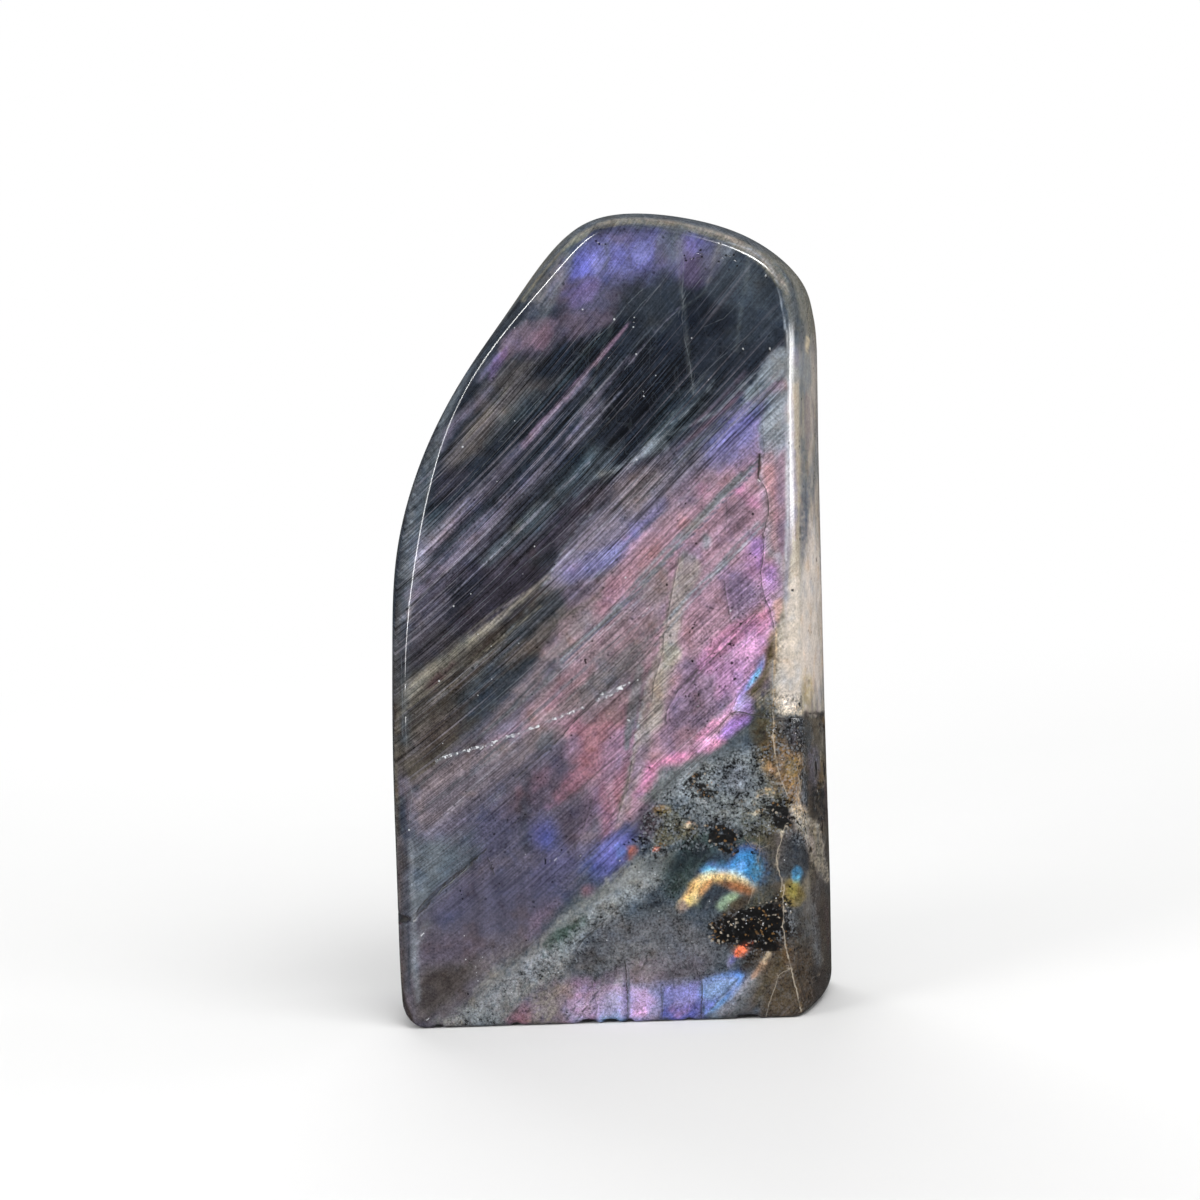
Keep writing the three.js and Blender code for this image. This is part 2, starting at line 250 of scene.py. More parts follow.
def stroke_distance(x, z, P, W):
    """Distance to a stroke's edge, negative inside; W is its half width at each point."""
    best = np.full(x.shape, 1e9)
    for i in range(len(P) - 1):
        (ax, az), (bx, bz) = P[i], P[i + 1]
        ex, ez = bx - ax, bz - az
        wx, wz = x - ax, z - az
        f = np.clip((wx * ex + wz * ez) / (ex * ex + ez * ez + 1e-12), 0, 1)
        best = np.minimum(best, np.hypot(wx - f * ex, wz - f * ez) - (W[i] + (W[i + 1] - W[i]) * f))
    return best


# ------------------------------------------------------------------ the crystal's grain
def lamella(x, z, q):
    """Distance across and along the twin lamellae at a point; q is its depth behind the face. The lamellae are
    gently curved planes that rise to the right on the face and lean back into the stone."""
    X, Z = x / 40, (z - 75) / 75
    s = (-78.1 * Z - 2.15 * Z * Z - 1.21 * Z**3 + 36.6 * X + 8.15 * X * Z + 13.39 * X * Z * Z
         - 1.29 * X * X - 8.36 * X * X * Z - 0.74 * X**3)
    return (s + 0.62 * q) / 1.41, (x + z + 0.5 * q) / 1.41


# ------------------------------------------------------------------ palette (sRGB) and drawn markings
PALETTE = dict(
    black=(12, 10, 11),
    ink=(22, 25, 32),
    night=(26, 31, 40),
    deep=(34, 40, 50),
    slate=(47, 54, 63),
    gunmetal=(66, 75, 84),
    steel=(84, 94, 103),
    ash=(106, 112, 118),
    fog=(128, 136, 144),
    mist=(154, 162, 170),
    white=(226, 230, 234),
    dusk=(76, 76, 98),
    indigo=(88, 90, 146),
    flash=(110, 114, 206),
    royal=(80, 88, 170),
    peri=(116, 115, 168),
    perilight=(132, 130, 210),
    sky=(112, 162, 228),
    azure=(60, 148, 210),
    cyan=(116, 212, 244),
    plum=(50, 47, 57),
    grape=(86, 77, 92),
    violetgrey=(92, 88, 101),
    lilac=(120, 114, 134),
    lilacpale=(152, 148, 160),
    lavender=(176, 168, 220),
    mauve=(140, 118, 142),
    orchid=(179, 135, 179),
    pink=(203, 135, 175),
    pinkpale=(226, 172, 212),
    violet=(156, 128, 201),
    rose=(161, 130, 146),
    rosedark=(144, 104, 120),
    salmon=(178, 130, 134),
    blush=(154, 132, 140),
    wine=(84, 52, 58),
    taupe=(128, 116, 120),
    khaki=(130, 126, 112),
    olive=(72, 67, 61),
    umber=(50, 43, 40),
    brown=(92, 86, 84),
    vein=(150, 143, 138),
    grainy=(136, 138, 134),
    bone=(174, 164, 148),
    beige=(190, 180, 170),
    honey=(136, 100, 54),
    gold=(244, 212, 142),
    ochre=(150, 126, 54),
    orange=(222, 106, 70),
    peach=(222, 172, 142),
    moss=(84, 78, 54),
    teal=(62, 78, 84),
    tealgrey=(100, 106, 106),
    green=(52, 70, 64),
    sage=(136, 154, 118),
    amber=(206, 150, 96),
    butter=(246, 228, 176),
    cream=(226, 208, 176),
    lime=(176, 170, 70),
    seafoam=(150, 176, 146),
    ice=(176, 214, 236),
    rust=(120, 64, 40),
    coral=(236, 118, 78),
    hotpink=(216, 140, 173),
    heather=(168, 128, 208),
    loam=(66, 55, 42),
    mocha=(84, 74, 62),
    haze=(112, 110, 150),
    lilacblue=(150, 152, 196),
    sand=(200, 170, 130),
    chalk=(228, 216, 206),
    petrol=(44, 56, 60),
    storm=(84, 92, 112),
)
# Patches and strokes in the order they are laid down: form, colour, opacity, softness, raggedness (mm), how far
# the lamellae comb the edge, grain, points as x,z and, for strokes, widths
MARKINGS = (
    ("patch", "deep", 1.00, 1.99, 0.48, 0.3, 0, "-2.4,155.3 12,152.7 30,148.2 40.4,136.8 45.6,133 44.7,111.2 34.1,119 20.6,103.1 5.2,90.8 -6.1,85.8 -17.8,76.9 -33.4,64.4 -41,62.9 -39.5,89 -35.3,96.3 -28.8,112.7 -20.7,123.3 -7,139.1"),
    ("patch", "plum", 1.00, 2.66, 0.72, 0.6, 0, "-40.6,70.4 -32.4,81.3 -20.7,92 -9.1,98.9 6.1,107.4 9.5,101.7 1.6,92.9 -6,87.6 -9.1,82.2 -17.8,76.9 -23.7,71.6 -31.6,64.4 -41.2,59.1"),
    ("patch", "olive", 1.00, 2.66, 0.72, 0.5, 0, "-41,62.9 -33.2,68.6 -23.6,73.4 -17.8,76.6 -10.1,80.3 -9.6,72.9 -18.5,63.9 -24.4,58.5 -32.3,51.2 -38.3,45.8 -42.1,44"),
    ("patch", "violetgrey", 1.00, 2.66, 0.72, 0.5, 0, "-41.9,47.8 -32.3,52.2 -22.7,55.6 -7.6,57.8 0,61.3 3.1,49.9 0.5,34.9 -9.4,23.8 -21.3,12.8 -33.6,-4.1 -45,-3.7"),
    ("patch", "rose", 1.00, 1.99, 0.72, 0.3, 0, "34.1,119 39.6,118.7 37.4,71 29.7,62 23.7,52.9 16,47.5 10.3,44 6.3,38.5 -1.3,36.8 -7.6,57.8 -22.8,52.7 -14.9,61.8 -10.7,69.2 -6.6,76.5 -0.5,87.4 9.1,94.4 20.6,103.1"),
    ("patch", "gunmetal", 1.00, 2.66, 0.96, 0.2, 0, "-9.4,23.8 -1.4,34.9 6.2,36.6 11.3,45.8 17.9,48.4 25.6,52.8 31.5,61.9 42.5,61.5 41.5,-4.5 -10.9,-4.8 -31.7,-4.2"),
    ("patch", "bone", 1.00, 1.33, 0.24, 0, 0, "38.4,133.3 47.4,132.9 44.1,56.2 31.3,56.7 33.7,78.5 37.1,96.8 36.5,111.5"),
    ("patch", "brown", 1.00, 1.99, 0.48, 0.1, 0, "31.3,56.7 44.1,56.2 41.5,-4.5 22.9,-3.9 27.9,22.6"),
    ("patch", "dusk", 0.95, 2.03, 0.66, 0.3, 0, "-0.8,145.6 6,147.8 14.4,147.8 24.7,145.2 29.2,143.3 24,139 18.9,136.7 11.3,136.3 7.8,133.1 3.5,131.6 -0.7,131.8 -4.4,133.7 -5.5,136.2 -3.1,141.6"),
    ("patch", "slate", 0.80, 2.03, 0.89, 0.4, 0, "8.9,138.9 15.7,140.6 19.7,136.7 18.7,132.6 13.4,127.8 8.4,128.9 5.2,131.5"),
    ("patch", "indigo", 0.81, 3.65, 1.24, 0.5, 0, "-2.7,141.5 1.7,145.9 8.5,146.8 15.2,146.9 15.4,141.9 13.2,139.5 8.1,138.5 3.9,139.1 0.4,137.2 -2.5,136.5"),
    ("patch", "steel", 0.50, 1.62, 0.66, 0.4, 0, "-18.9,123.4 -16.1,127.1 -13.4,129.9 -9.9,132.3 -5.5,137.1 -4.1,137.8 -6.1,132.9 -8.3,130.5 -12.2,129 -14.5,126.6 -17.2,122.9 -19,120.9"),
    ("patch", "brown", 0.95, 1.62, 0.66, 0.9, 0, "-19.2,118.4 -16.4,122.5 -12.5,124.8 -8.2,125 -4.4,126.1 -6.2,123.7 -10.6,119.7 -15.1,115.7 -19.5,111.6"),
    ("patch", "night", 1.00, 2.03, 0.66, 0.7, 0, "-9.2,122.6 -6.1,125.8 -1.7,127.7 2.5,128.3 5.1,129.9 8.6,132 11.9,131.2 7.5,127.2 0.1,121.7 -6.6,115.3 -13.3,109.2 -19.7,108.3 -17,112.4 -12.4,118.1"),
    ("patch", "deep", 1.00, 2.03, 0.66, 0.5, 0, "8.6,131.4 13.4,127.8 18.3,133 19.7,135.9 22.2,136.6 28.1,137.1 35.9,134.6 37.3,128.3 36.7,124.6 31.7,123.2 25.7,120.5 22.1,116.5 18.6,112.4 14.1,107.1 -11.2,108.2 -2.4,115.1 2.1,120.4"),
    ("stroke", "lilac", 0.95, 1.14, 0.44, 0.6, 0, "-17.2,119.8 -19.6,117.3 -22.8,114.8 -25.6,112.3 -26.9,109.4", "0.71 1 1.2 1.1 0.71"),
    ("patch", "brown", 0.85, 1.62, 0.66, 0.9, 0, "-21.3,114 -14.2,120.1 -8.9,121 -3.6,120.7 -11.5,114.3 -17,110.1 -22.5,106.6 -26,104.1 -26.2,107.5 -23.8,110.8"),
    ("patch", "deep", 1.00, 2.03, 0.66, 0.7, 0, "-17,110.1 -9,118 -3.6,120.7 0.5,120.5 -5.4,115.2 -11,109.8 -17.3,104.1 -22.1,100.5 -29.1,97.8 -30.1,99.3 -28,102.3 -26.1,103.7 -22.5,105.8"),
    ("stroke", "lilac", 0.92, 1.30, 0.66, 0.75, 0, "0.5,120.5 -4.6,115.9 -10.2,109.8 -15.8,105.1 -20.6,100.4 -26.5,95.4 -31.7,90.7 -33.9,85.8", "0.61 0.91 1.3 1.8 2.2 2.7 3.4 3"),
    ("stroke", "slate", 0.90, 0.97, 0.44, 0.7, 0, "3,118.2 -1.7,114.3 -6.8,110 -12,104.6 -17.6,99.2 -23.2,94.1 -28,89.4 -33.3,83.9", "0.51 0.71 0.81 0.91 1 1.1 1 0.71"),
    ("patch", "teal", 0.60, 2.03, 0.89, 0.5, 0, "-22.7,88.4 -18,91.6 -12.5,96.3 -8.5,99.9 -4.5,104.2 1.4,109.2 6.4,113.5 6.1,107.9 0.7,102.5 -4.8,98.2 -10.4,93.2 -15.1,89.2 -19.1,86"),
    ("patch", "plum", 1.00, 2.03, 0.89, 0.6, 0, "-34.8,77.5 -28.4,81.8 -23.6,86.2 -18.2,88.2 -12.9,88.7 -6.7,90.8 -1.1,96.2 2.8,99.4 5.8,102.3 5.6,98.5 -1.3,93.2 -5.3,88.4 -8.5,84.8 -13.3,80.4 -18.8,76.8 -25.2,72.5 -33,68.2 -35.5,71.8"),
    ("patch", "lilac", 1.00, 0.49, 0.22, 0.3, 0, "-7.3,86 -5.9,88.8 -3.6,91.4 -1.2,94.3 2.3,97.2 5.7,99.3 5,86.5 1.2,82.8 -3.5,80 -7.2,80.9 -9.8,83.3"),
    ("patch", "brown", 1.00, 1.62, 0.66, 0.7, 0, "-10.1,82.9 -5.6,82.7 1.3,84.4 5,86.8 4.9,84.2 -2.1,78.4 -7.6,74.1 -13.9,69 -19.5,64.6 -21.9,62.1 -24.6,62.2 -19.3,68.4 -13.7,74.3"),
    ("stroke", "khaki", 0.95, 0.97, 0.55, 0.75, 0, "-8.2,84.4 -13.3,80.8 -17.3,77.5 -22,74.3 -27.6,70.7 -31.5,67.8 -35.6,64.1", "0.3 0.51 0.81 1 1.4 1.7 1.9"),
    ("stroke", "steel", 0.60, 0.97, 0.55, 0.7, 0, "-13.6,74.7 -17.6,71.1 -21.6,67.4 -24.9,63.3", "1 1.3 1.3 1.1"),
    ("patch", "taupe", 1.00, 1.62, 0.66, 0.5, 0, "5,87.2 2,82.8 -2,79.2 -6.8,74 -11.7,68.9 -17.4,61.9 3.7,61.1"),
    ("patch", "lilacpale", 0.55, 2.44, 0.89, 0.5, 0, "-32.6,94.9 -29.2,95.5 -31.1,89.5 -32.9,84.3 -34.5,82 -34.2,88.1"),
    ("patch", "teal", 0.42, 2.03, 0.89, 0.4, 0, "-31.3,97.5 -28.3,98.1 -26,97.6 -27.8,93.9 -30.9,92.2 -32,93.3"),
    ("patch", "slate", 0.80, 2.03, 0.66, 0.5, 0, "-34.9,82.1 -32.1,83.9 -34,78.2 -35.3,69.1 -36.3,65.3 -36.6,73"),
    ("patch", "deep", 1.00, 2.03, 0.89, 0.6, 0, "3.1,120.4 18,119.7 24,119.4 29.2,119.2 21.4,112.8 14.9,109.4 9.1,105.5 2,100.2"),
    ("patch", "violetgrey", 1.00, 2.03, 0.89, 0.7, 0, "2,99.4 9,105.1 14.8,107.5 23.6,112 29,114.7 32.8,116.8 32.7,114.9 26.5,110.7 23.4,108.6 18.4,104.4 13.2,98.9 7.3,93.9 1.5,89.6"),
    ("stroke", "peri", 0.34, 4.38, 1.86, 0.7, 0, "34.6,116 31.1,112.8 26.8,109.2 22.5,105.3 17.8,101 12.7,96 7.2,90.9 1.3,86.6", "1 4.6 6.1 5.6 3.6 2 1.7 1.7"),
    ("patch", "rose", 1.00, 1.62, 0.89, 0.35, 0, "1.1,82.8 7.1,88.3 13,93.7 18.1,98 23.1,101.9 28.4,103.2 31.8,104.1 32,100.4 32.9,95.8 31.6,91 31.4,86.5 30.8,81.6 32.1,77 32.7,73.6 30.5,68 26.6,63.6 23.4,60.3 0,61.3"),
    ("patch", "vein", 0.85, 0.81, 0.33, 0.2, 0, "15.9,87.9 17.6,88.2 19.2,87.2 20.1,84.7 17.8,80.6 16.1,77.7 15.8,74.6 14.9,71.6 15.6,69.7 12.8,67.2 11.5,64.5 9.8,60.9 8.9,60.9 10,64.6 12.1,68.3 12.3,72.5 13.2,75.5 14.7,82.3"),
    ("patch", "orchid", 0.85, 1.62, 0.66, 0.5, 0, "19.1,65 24.6,69.7 28.6,73.7 32.3,74.4 31.3,69.1 28.2,65 24.2,60.3 15.1,60.7"),
    ("patch", "heather", 0.45, 2.03, 0.22, 0.2, 0, "31.4,86.1 33.6,85.6 34.9,81.8 34.3,76.5 32.7,73.6 31.7,77.4 30.7,82"),
    ("patch", "lilacpale", 0.95, 1.22, 0.44, 0.3, 0, "32,107.9 33.6,110 35.6,112.9 36.5,113.6 36.3,103.2 35.3,85.2 34.4,83 33.7,85.6 31.6,86.5 32.4,92.8 32.9,95.1 32,99.6 31.4,101.2 31.7,104.5"),
    ("patch", "khaki", 0.90, 1.01, 0.33, 0.1, 0, "32.7,73.4 34.3,76.5 35.3,79.9 35.1,59.9 32.1,60"),
    ("patch", "moss", 0.95, 0.81, 0.33, 0.1, 0.2, "30.4,65.7 32.3,73.2 32.7,71.7 32.4,66.4 30.3,62.7 27.9,60.2 26.4,60.2"),
    ("patch", "olive", 1.00, 1.62, 0.89, 0.6, 0, "-36.8,61.6 -29.5,64.2 -25,62.3 -22.9,58.7 -25.4,55.4 -29,51.5 -33.3,48.2 -36.2,46.2 -37.8,50.1 -37.4,55.8"),
    ("patch", "khaki", 0.95, 1.22, 0.55, 0.6, 0, "-36.6,62.4 -36.3,65.3 -32.7,68.3 -28.6,69.9 -26.8,69.8 -32.2,66 -35.3,63.2 -36.3,62.3"),
    ("stroke", "vein", 0.85, 0.71, 0.40, 0.5, 0, "-31.2,61.7 -30.1,63.6 -27.1,66.1 -22.9,69.1 -21.1,69.6", "0.53 0.61 0.53 0.46 0.38"),
    ("patch", "slate", 0.95, 1.62, 0.89, 0.6, 0.25, "-27.5,63.2 -23,66.2 -17.8,68.9 -13.7,69.3 -10.9,69.2 -15.1,65 -19.3,62 -22.9,58.7 -25.2,57.7 -27.7,60.4"),
    ("patch", "brown", 0.90, 1.62, 0.66, 0.6, 0, "-35.7,56.3 -31.7,59.7 -27.6,61.2 -25.1,60.5 -27.6,57.2 -31.8,53.9 -35.4,51.7 -36.5,52.3"),
    ("patch", "violetgrey", 0.95, 1.42, 0.55, 0.5, 0, "-27.3,52 -23,57 -18.2,61.4 -13.4,65.8 -9.5,69.1 -4.9,68.9 -9.5,64 -15.5,57.9 -16.7,56.5 -21.4,54.1 -25.6,51.9"),
    ("patch", "blush", 0.95, 1.62, 0.66, 0.5, 0, "-14.9,58.4 -9.5,63.7 -4.1,68.9 4.1,68.6 3.8,63.4 -4,59.4 -9.8,57.7 -13.3,56.6"),
    ("patch", "taupe", 0.85, 1.62, 0.89, 0.5, 0, "-36.2,46.2 -30.3,50.1 -25.6,51.9 -15.7,55 -9.8,57.1 -6.4,56.4 -10,53.1 -14.2,50.9 -21.9,46.6 -27.8,42.2 -35.1,36.6 -36.8,41.3"),
    ("patch", "rosedark", 0.95, 1.62, 0.89, 0.6, 0, "-6.2,56.4 -1.1,60.5 3.8,62.3 3.2,50.3 -1.8,47 -6.2,44.3 -9.2,41.5 -11.2,41.6 -8.1,46.6 -4.7,50.6 -6,54.1"),
    ("patch", "grape", 0.95, 2.03, 1.11, 0.5, 0, "-24,39.7 -16.2,44.6 -10.2,50.8 -7.2,53 -5.9,50.6 -8.1,46.1 -11.8,41.6 -14.7,40.5 -17.1,38.3 -22.6,33.8 -26.7,32.2 -26.5,36.3"),
    ("patch", "indigo", 0.64, 3.65, 1.55, 0.5, 0, "-14.9,38.2 -11.9,39.8 -9.4,39.2 -9,36 -9.7,32.8 -11.7,32 -13.4,33.8 -15,35"),
    ("patch", "dusk", 0.90, 2.44, 1.11, 0.5, 0, "-26.2,40.4 -20.4,41.9 -16.4,40.6 -16.8,34.8 -14,32.4 -15.4,28.4 -21.3,26.2 -25.7,29.3 -26.6,33.4"),
    ("patch", "steel", 0.80, 2.44, 1.11, 0.5, 0, "-37,38.4 -33.9,36.6 -28.8,36.1 -25.2,38 -24.3,33.9 -29.1,29.4 -33.5,24.7 -36.1,24.8 -37,32.6"),
    ("patch", "grape", 0.90, 2.44, 1.11, 0.5, 0, "-31.2,24.6 -26.9,28.8 -21,30.9 -15.2,31.8 -11.2,31.1 -9.1,28.1 -10.2,23.9"),
    ("patch", "mauve", 0.85, 1.62, 0.89, 0.6, 0, "-2.5,45.3 1.1,47.5 0.2,41.1 -2.2,38.9 -4.3,36.4 -5.3,34.4 -5.4,37.9"),
    ("patch", "grape", 0.85, 2.03, 0.89, 0.6, 0, "-8.4,40.9 -5.4,43.1 -2.9,43 -3.4,39 -5.6,33.8 -7.5,31 -9.1,33.4 -8.6,37.4"),
    ("patch", "lilac", 0.90, 1.22, 0.55, 0.4, 0, "-5.6,34.4 -4.3,36.4 0.6,38.2 1.1,36.5 -4.6,31.5 -7,29.2"),
    ("patch", "steel", 0.70, 1.22, 0.55, 0.6, 0, "-8.6,25.8 -6.7,29.2 -4.3,31.7 -3.2,31.4 -5.6,28 -7.8,24.6"),
    ("patch", "royal", 0.59, 2.44, 1.24, 0.7, 0, "-4.3,31.2 -1.4,33.4 2.4,35.6 2,28.3 -1.4,27.9 -3.4,27.9 -4.7,29.4"),
    ("patch", "taupe", 0.80, 1.62, 0.66, 0.5, 0, "0.4,68.7 6.9,68.5 3.6,65.2 0,61.9"),
    ("patch", "rosedark", 0.95, 1.42, 0.66, 0.6, 0, "-0,61 7.1,66.7 10,68.3 11.2,68.3 9.5,63.8 5.7,56.5 6.2,54.2 5.2,49 3.7,44.2 1.6,37 -1.4,34.8"),
    ("patch", "gunmetal", 0.55, 2.03, 0.89, 0.3, 0, "5.9,64.8 9.6,65.8 9.1,60.9 6.8,54.7 5.5,55.1 5.6,59.9"),
    ("patch", "vein", 0.95, 1.22, 0.44, 0.3, 0, "11.2,68.3 14.5,68.2 13.6,65.3 12.6,62.5 12.1,59.1 11.1,56.3 9.3,54.6 8,50.1 6,45 4.7,42.1 1.9,37.3 1.7,38.2 3.3,42.8 5,47 6.4,52.4 7.1,55.3 9,59.8 10.1,63.8 10.1,66.1"),
    ("patch", "mauve", 1.00, 1.62, 0.89, 0.4, 0, "14.5,68.2 30.3,67.5 30,65.8 27.3,63.1 26.1,60.6 24.3,58.3 21.4,56.7 17.8,53.7 15.4,50.9 12.8,50.5 11.5,52.2 11.7,56.3 12.7,59.7 15.1,63"),
    ("stroke", "pink", 0.95, 0.97, 0.55, 0.3, 0, "9.9,48.6 11.4,49.4 13.1,49.9 15.4,50.7 17.7,51.7 19.5,52.8", "0.84 1.1 1.3 1.3 1.3 1.1"),
    ("patch", "pink", 0.85, 1.22, 0.55, 0.3, 0, "8.2,49.5 9.9,48.6 9.7,46.6 8.3,45.5 6.8,43.8 5.6,42.1 5.3,43 6.9,45.5 7.6,47.8"),
    ("patch", "tealgrey", 1.00, 1.22, 0.66, 0.1, 0.25, "10,48.1 15.3,48.4 16.5,49.5 19.9,50.8 24.1,54.1 28.1,55.3 29.6,51.6 29.4,47.5 31.9,45.2 33.1,41.7 32.4,38.8 27.3,37.3 23.2,36.3 19.9,37 14.9,40.6 10.4,41.6 6.7,42.1 7.4,43.5 9.2,46"),
    ("patch", "moss", 0.95, 1.42, 0.89, 0.1, 0.3, "27.5,55.4 29.9,57.3 32.1,56.6 32.2,52.6 31.2,48.6 29.4,47.5 29.3,50.4"),
    ("patch", "honey", 0.95, 1.42, 0.89, 0.1, 0.3, "31.8,56.1 34.3,56 34.4,51.4 37.2,50.1 36.6,44.4 35.9,41.6 34.5,40.5 33.2,42.8 31.9,45.7 29.4,47 29.5,49 31.5,49.8"),
    ("patch", "bone", 1.00, 1.01, 0.44, 0, 0.075, "32.3,67.5 42.1,67.1 41.7,56.5 32.1,56.7 31.8,61.8"),
    ("patch", "gunmetal", 0.95, 1.42, 0.89, 0.1, 0.3, "32.1,56.6 40.8,56.2 41.4,51.1 41.6,47.1 37.4,48.4 37.2,50.1 36.4,51.3 33.6,52 32.3,53.7"),
    ("patch", "ash", 0.90, 1.62, 0.66, 0.1, 0.2, "37.2,50.1 40.5,48.9 41.6,48.8 41.2,39.9 39.6,40.6 38.2,42.1 36.6,43.5 37,46.1"),
    ("patch", "brown", 0.95, 1.22, 0.66, 0.1, 0.25, "32.4,37.7 35.7,37 35.7,35.2 33.6,33.6 32.3,30.7 31.9,27.3 31.1,27.3 30.7,32 30.9,35.4"),
    ("patch", "bone", 0.95, 0.73, 0.44, 0, 0.2, "34.3,39.9 36.7,40.4 37.2,38.1 39.1,36 41,33.9 40.7,26.4 39.3,27.3 38.2,29.7 37,32.9 35.4,36.1 34.4,38.7"),
    ("patch", "slate", 1.00, 1.22, 0.44, 0.1, 0.15, "33.3,33.9 35.4,35 37,32.9 37.4,30.3 36.2,27.7 33.8,26.4 31.9,27.3 32.1,30.8"),
    ("patch", "ochre", 0.80, 1.62, 0.89, 0.1, 0.4, "32.4,26.1 34.7,27.2 36.4,26 35.9,22.3 31.7,22.4"),
    ("patch", "brown", 0.90, 1.62, 0.66, 0.2, 0.15, "36.2,27.7 38.2,29.7 39.6,27 40.6,26.1 40.5,22.1 35.9,22.3"),
    ("patch", "moss", 0.85, 1.62, 0.89, 0.1, 0.3, "24.4,36.8 32.9,37.6 32.9,35.9 31.1,35.1 30.7,31.4 29.2,30.9 27.1,33.2 25.1,34.5"),
    ("patch", "grape", 0.90, 1.62, 0.66, 0.4, 0, "5.3,38.6 6.7,40.9 12.1,40.7 10.2,37.3 8.1,34.5 6.1,34.6 5.3,36.9"),
    ("patch", "indigo", 0.81, 2.44, 1.24, 0.7, 0, "-1.4,34.5 1.6,36.8 5,37.2 5.2,34.6 3.9,31.7 1.8,28.9 -1.8,25.6"),
    ("patch", "grainy", 0.95, 1.22, 0.77, 0.2, 0.45, "-1.8,25.9 3.6,30.3 7.1,31.9 10,32.7 11.1,30 8.6,27.5 6.2,25.3 3.8,23.4 -1.9,23.6"),
    ("patch", "green", 0.95, 1.62, 0.89, 0.2, 0.15, "11,30.9 15.8,34.8 19.2,36.1 20.2,32.3 16.7,29.6 15.4,27.9 13.6,26.5 10.5,27.2"),
    ("patch", "azure", 0.85, 1.62, 0.89, 0.2, 0, "22.6,28.5 23.5,30.8 25,32.2 27.3,31.8 29.5,29.7 29,26.2 27,25.7 24.8,26.7 22.8,27.3"),
    ("patch", "violetgrey", 0.85, 2.44, 1.11, 0.5, 0, "-37.5,18 -31.8,23.1 -27,26.7 -23.3,30.9 -16.8,33.6 -5.4,33.2 -5.7,27.4 -8.8,23.1 -13.4,17.2 -17.8,15 -23.7,14 -26.6,13.5 -31.8,12.5 -36.5,12.1"),
    ("patch", "steel", 0.75, 2.44, 0.89, 0.5, 0, "-36.9,34.3 -24.3,33.9 -26.8,30.8 -31,27.4 -35.9,22.6 -37.5,21.8"),
    ("stroke", "ash", 0.85, 1.62, 0.66, 0.3, 0, "-34.6,20.2 -36.2,17.9 -37.2,15 -37.8,11.5", "0.69 1.1 1.3 1.1"),
    ("patch", "indigo", 0.47, 3.65, 1.55, 0.6, 0, "-13.7,32.6 -8.8,33.3 -4.5,33.2 -5,28.5 -8,26.3 -11.6,24.7 -14,26.5"),
    ("patch", "mauve", 0.65, 2.03, 0.89, 0.5, 0, "-15.9,19 -14.6,21.3 -11.6,23.8 -8.8,23.4 -11.8,20.3 -13.4,17.2 -16.3,16.4"),
    ("patch", "brown", 0.85, 2.44, 1.11, 0.4, 0, "-37.4,10.9 -31.8,12.5 -27.8,13.3 -24.3,13.7 -25.3,11.1 -28.1,7.1 -32.4,3.1 -35.1,1.2 -38.3,1.8 -38,6.5"),
    ("patch", "grainy", 1.00, 1.22, 0.89, 0.2, 0.45, "-35.1,0.9 -31.8,2.5 -27,5.3 -25.8,7.6 -23.8,11.1 -19.7,12.7 -16.2,13.5 -14.6,15.5 -12.2,18.3 -8.9,21.4 -5,24.5 -0.6,25.8 2,27.7 1.8,24.2 1.5,22.2 -2.1,18.8 -5.1,16.3 -6.6,14.3 -8.8,11.2 -8.4,9.1 -12.4,8.1 -15.8,5.5 -19.1,3.3 -20.7,-0.2 -27.4,-0.1 -33.1,0.1"),
    ("patch", "green", 0.95, 1.22, 0.66, 0.2, 0, "-13.3,13.1 -12.4,14.8 -10.5,17.1 -8.1,19.3 -4.9,20.7 -4.8,19.2 -6.2,17.5 -8.6,15.6 -10.7,14.2"),
    ("patch", "gunmetal", 0.95, 1.01, 0.55, 0.2, 0, "-8.3,10.9 -6.6,14.6 -3.6,16.9 -1.1,16.2 1,13.2 -1.4,10.9 -2.6,9.8 -6.9,9.7"),
    ("patch", "brown", 0.90, 1.62, 0.66, 0.3, 0, "-2.5,16.8 -2.1,18.5 1.7,21.9 1.3,13.8 -0.5,15.9"),
    ("patch", "mauve", 0.90, 1.62, 0.89, 0.2, 0.25, "-21,0.1 -18.5,3.6 -15.5,5.5 -11.9,7.8 -8.4,8.8 -6.7,8.8 -6.5,7 -7.8,4.1 -9.9,1.8 -11.2,-0.2"),
    ("patch", "orchid", 0.70, 1.22, 0.66, 0.3, 0, "-8.1,8.5 -5.5,8.7 -2.6,8.3 1.2,10.9 0.8,3.8 -1.2,3.9 -3,1.6 -4.3,-0.4 -10.3,-0.2 -7.2,4.1"),
    ("patch", "sky", 0.75, 1.22, 0.66, 0.5, 0, "-3.2,3.1 -1.1,4.5 0.9,5 0.6,-0.3 -3.7,-0.3"),
    ("patch", "gunmetal", 1.00, 2.03, 1.11, 0.3, 0, "-2.2,18.8 3.7,22.7 10.8,26.8 14.4,30.8 16.8,32.4 32.7,31.8 31.9,14.5 23.1,10.1 17.4,9.2 11.6,7.6 8.7,7.1 6,10.1 1.8,12.6"),
    ("patch", "grainy", 0.95, 1.22, 0.89, 0.2, 0.45, "-1.8,26.1 4.1,30.5 9,30.9 12.2,32.6 13.4,32.5 11.5,28.8 9.6,26.3 6.7,24.6 2.3,22.5 -2.2,18.8"),
    ("patch", "green", 0.80, 2.03, 0.89, 0.3, 0, "10.8,26.2 13.8,29.9 16.2,32.4 20.2,32.3 18.4,29.8 16,28.1 14.2,25.6 12.4,23.3 10.7,23.9"),
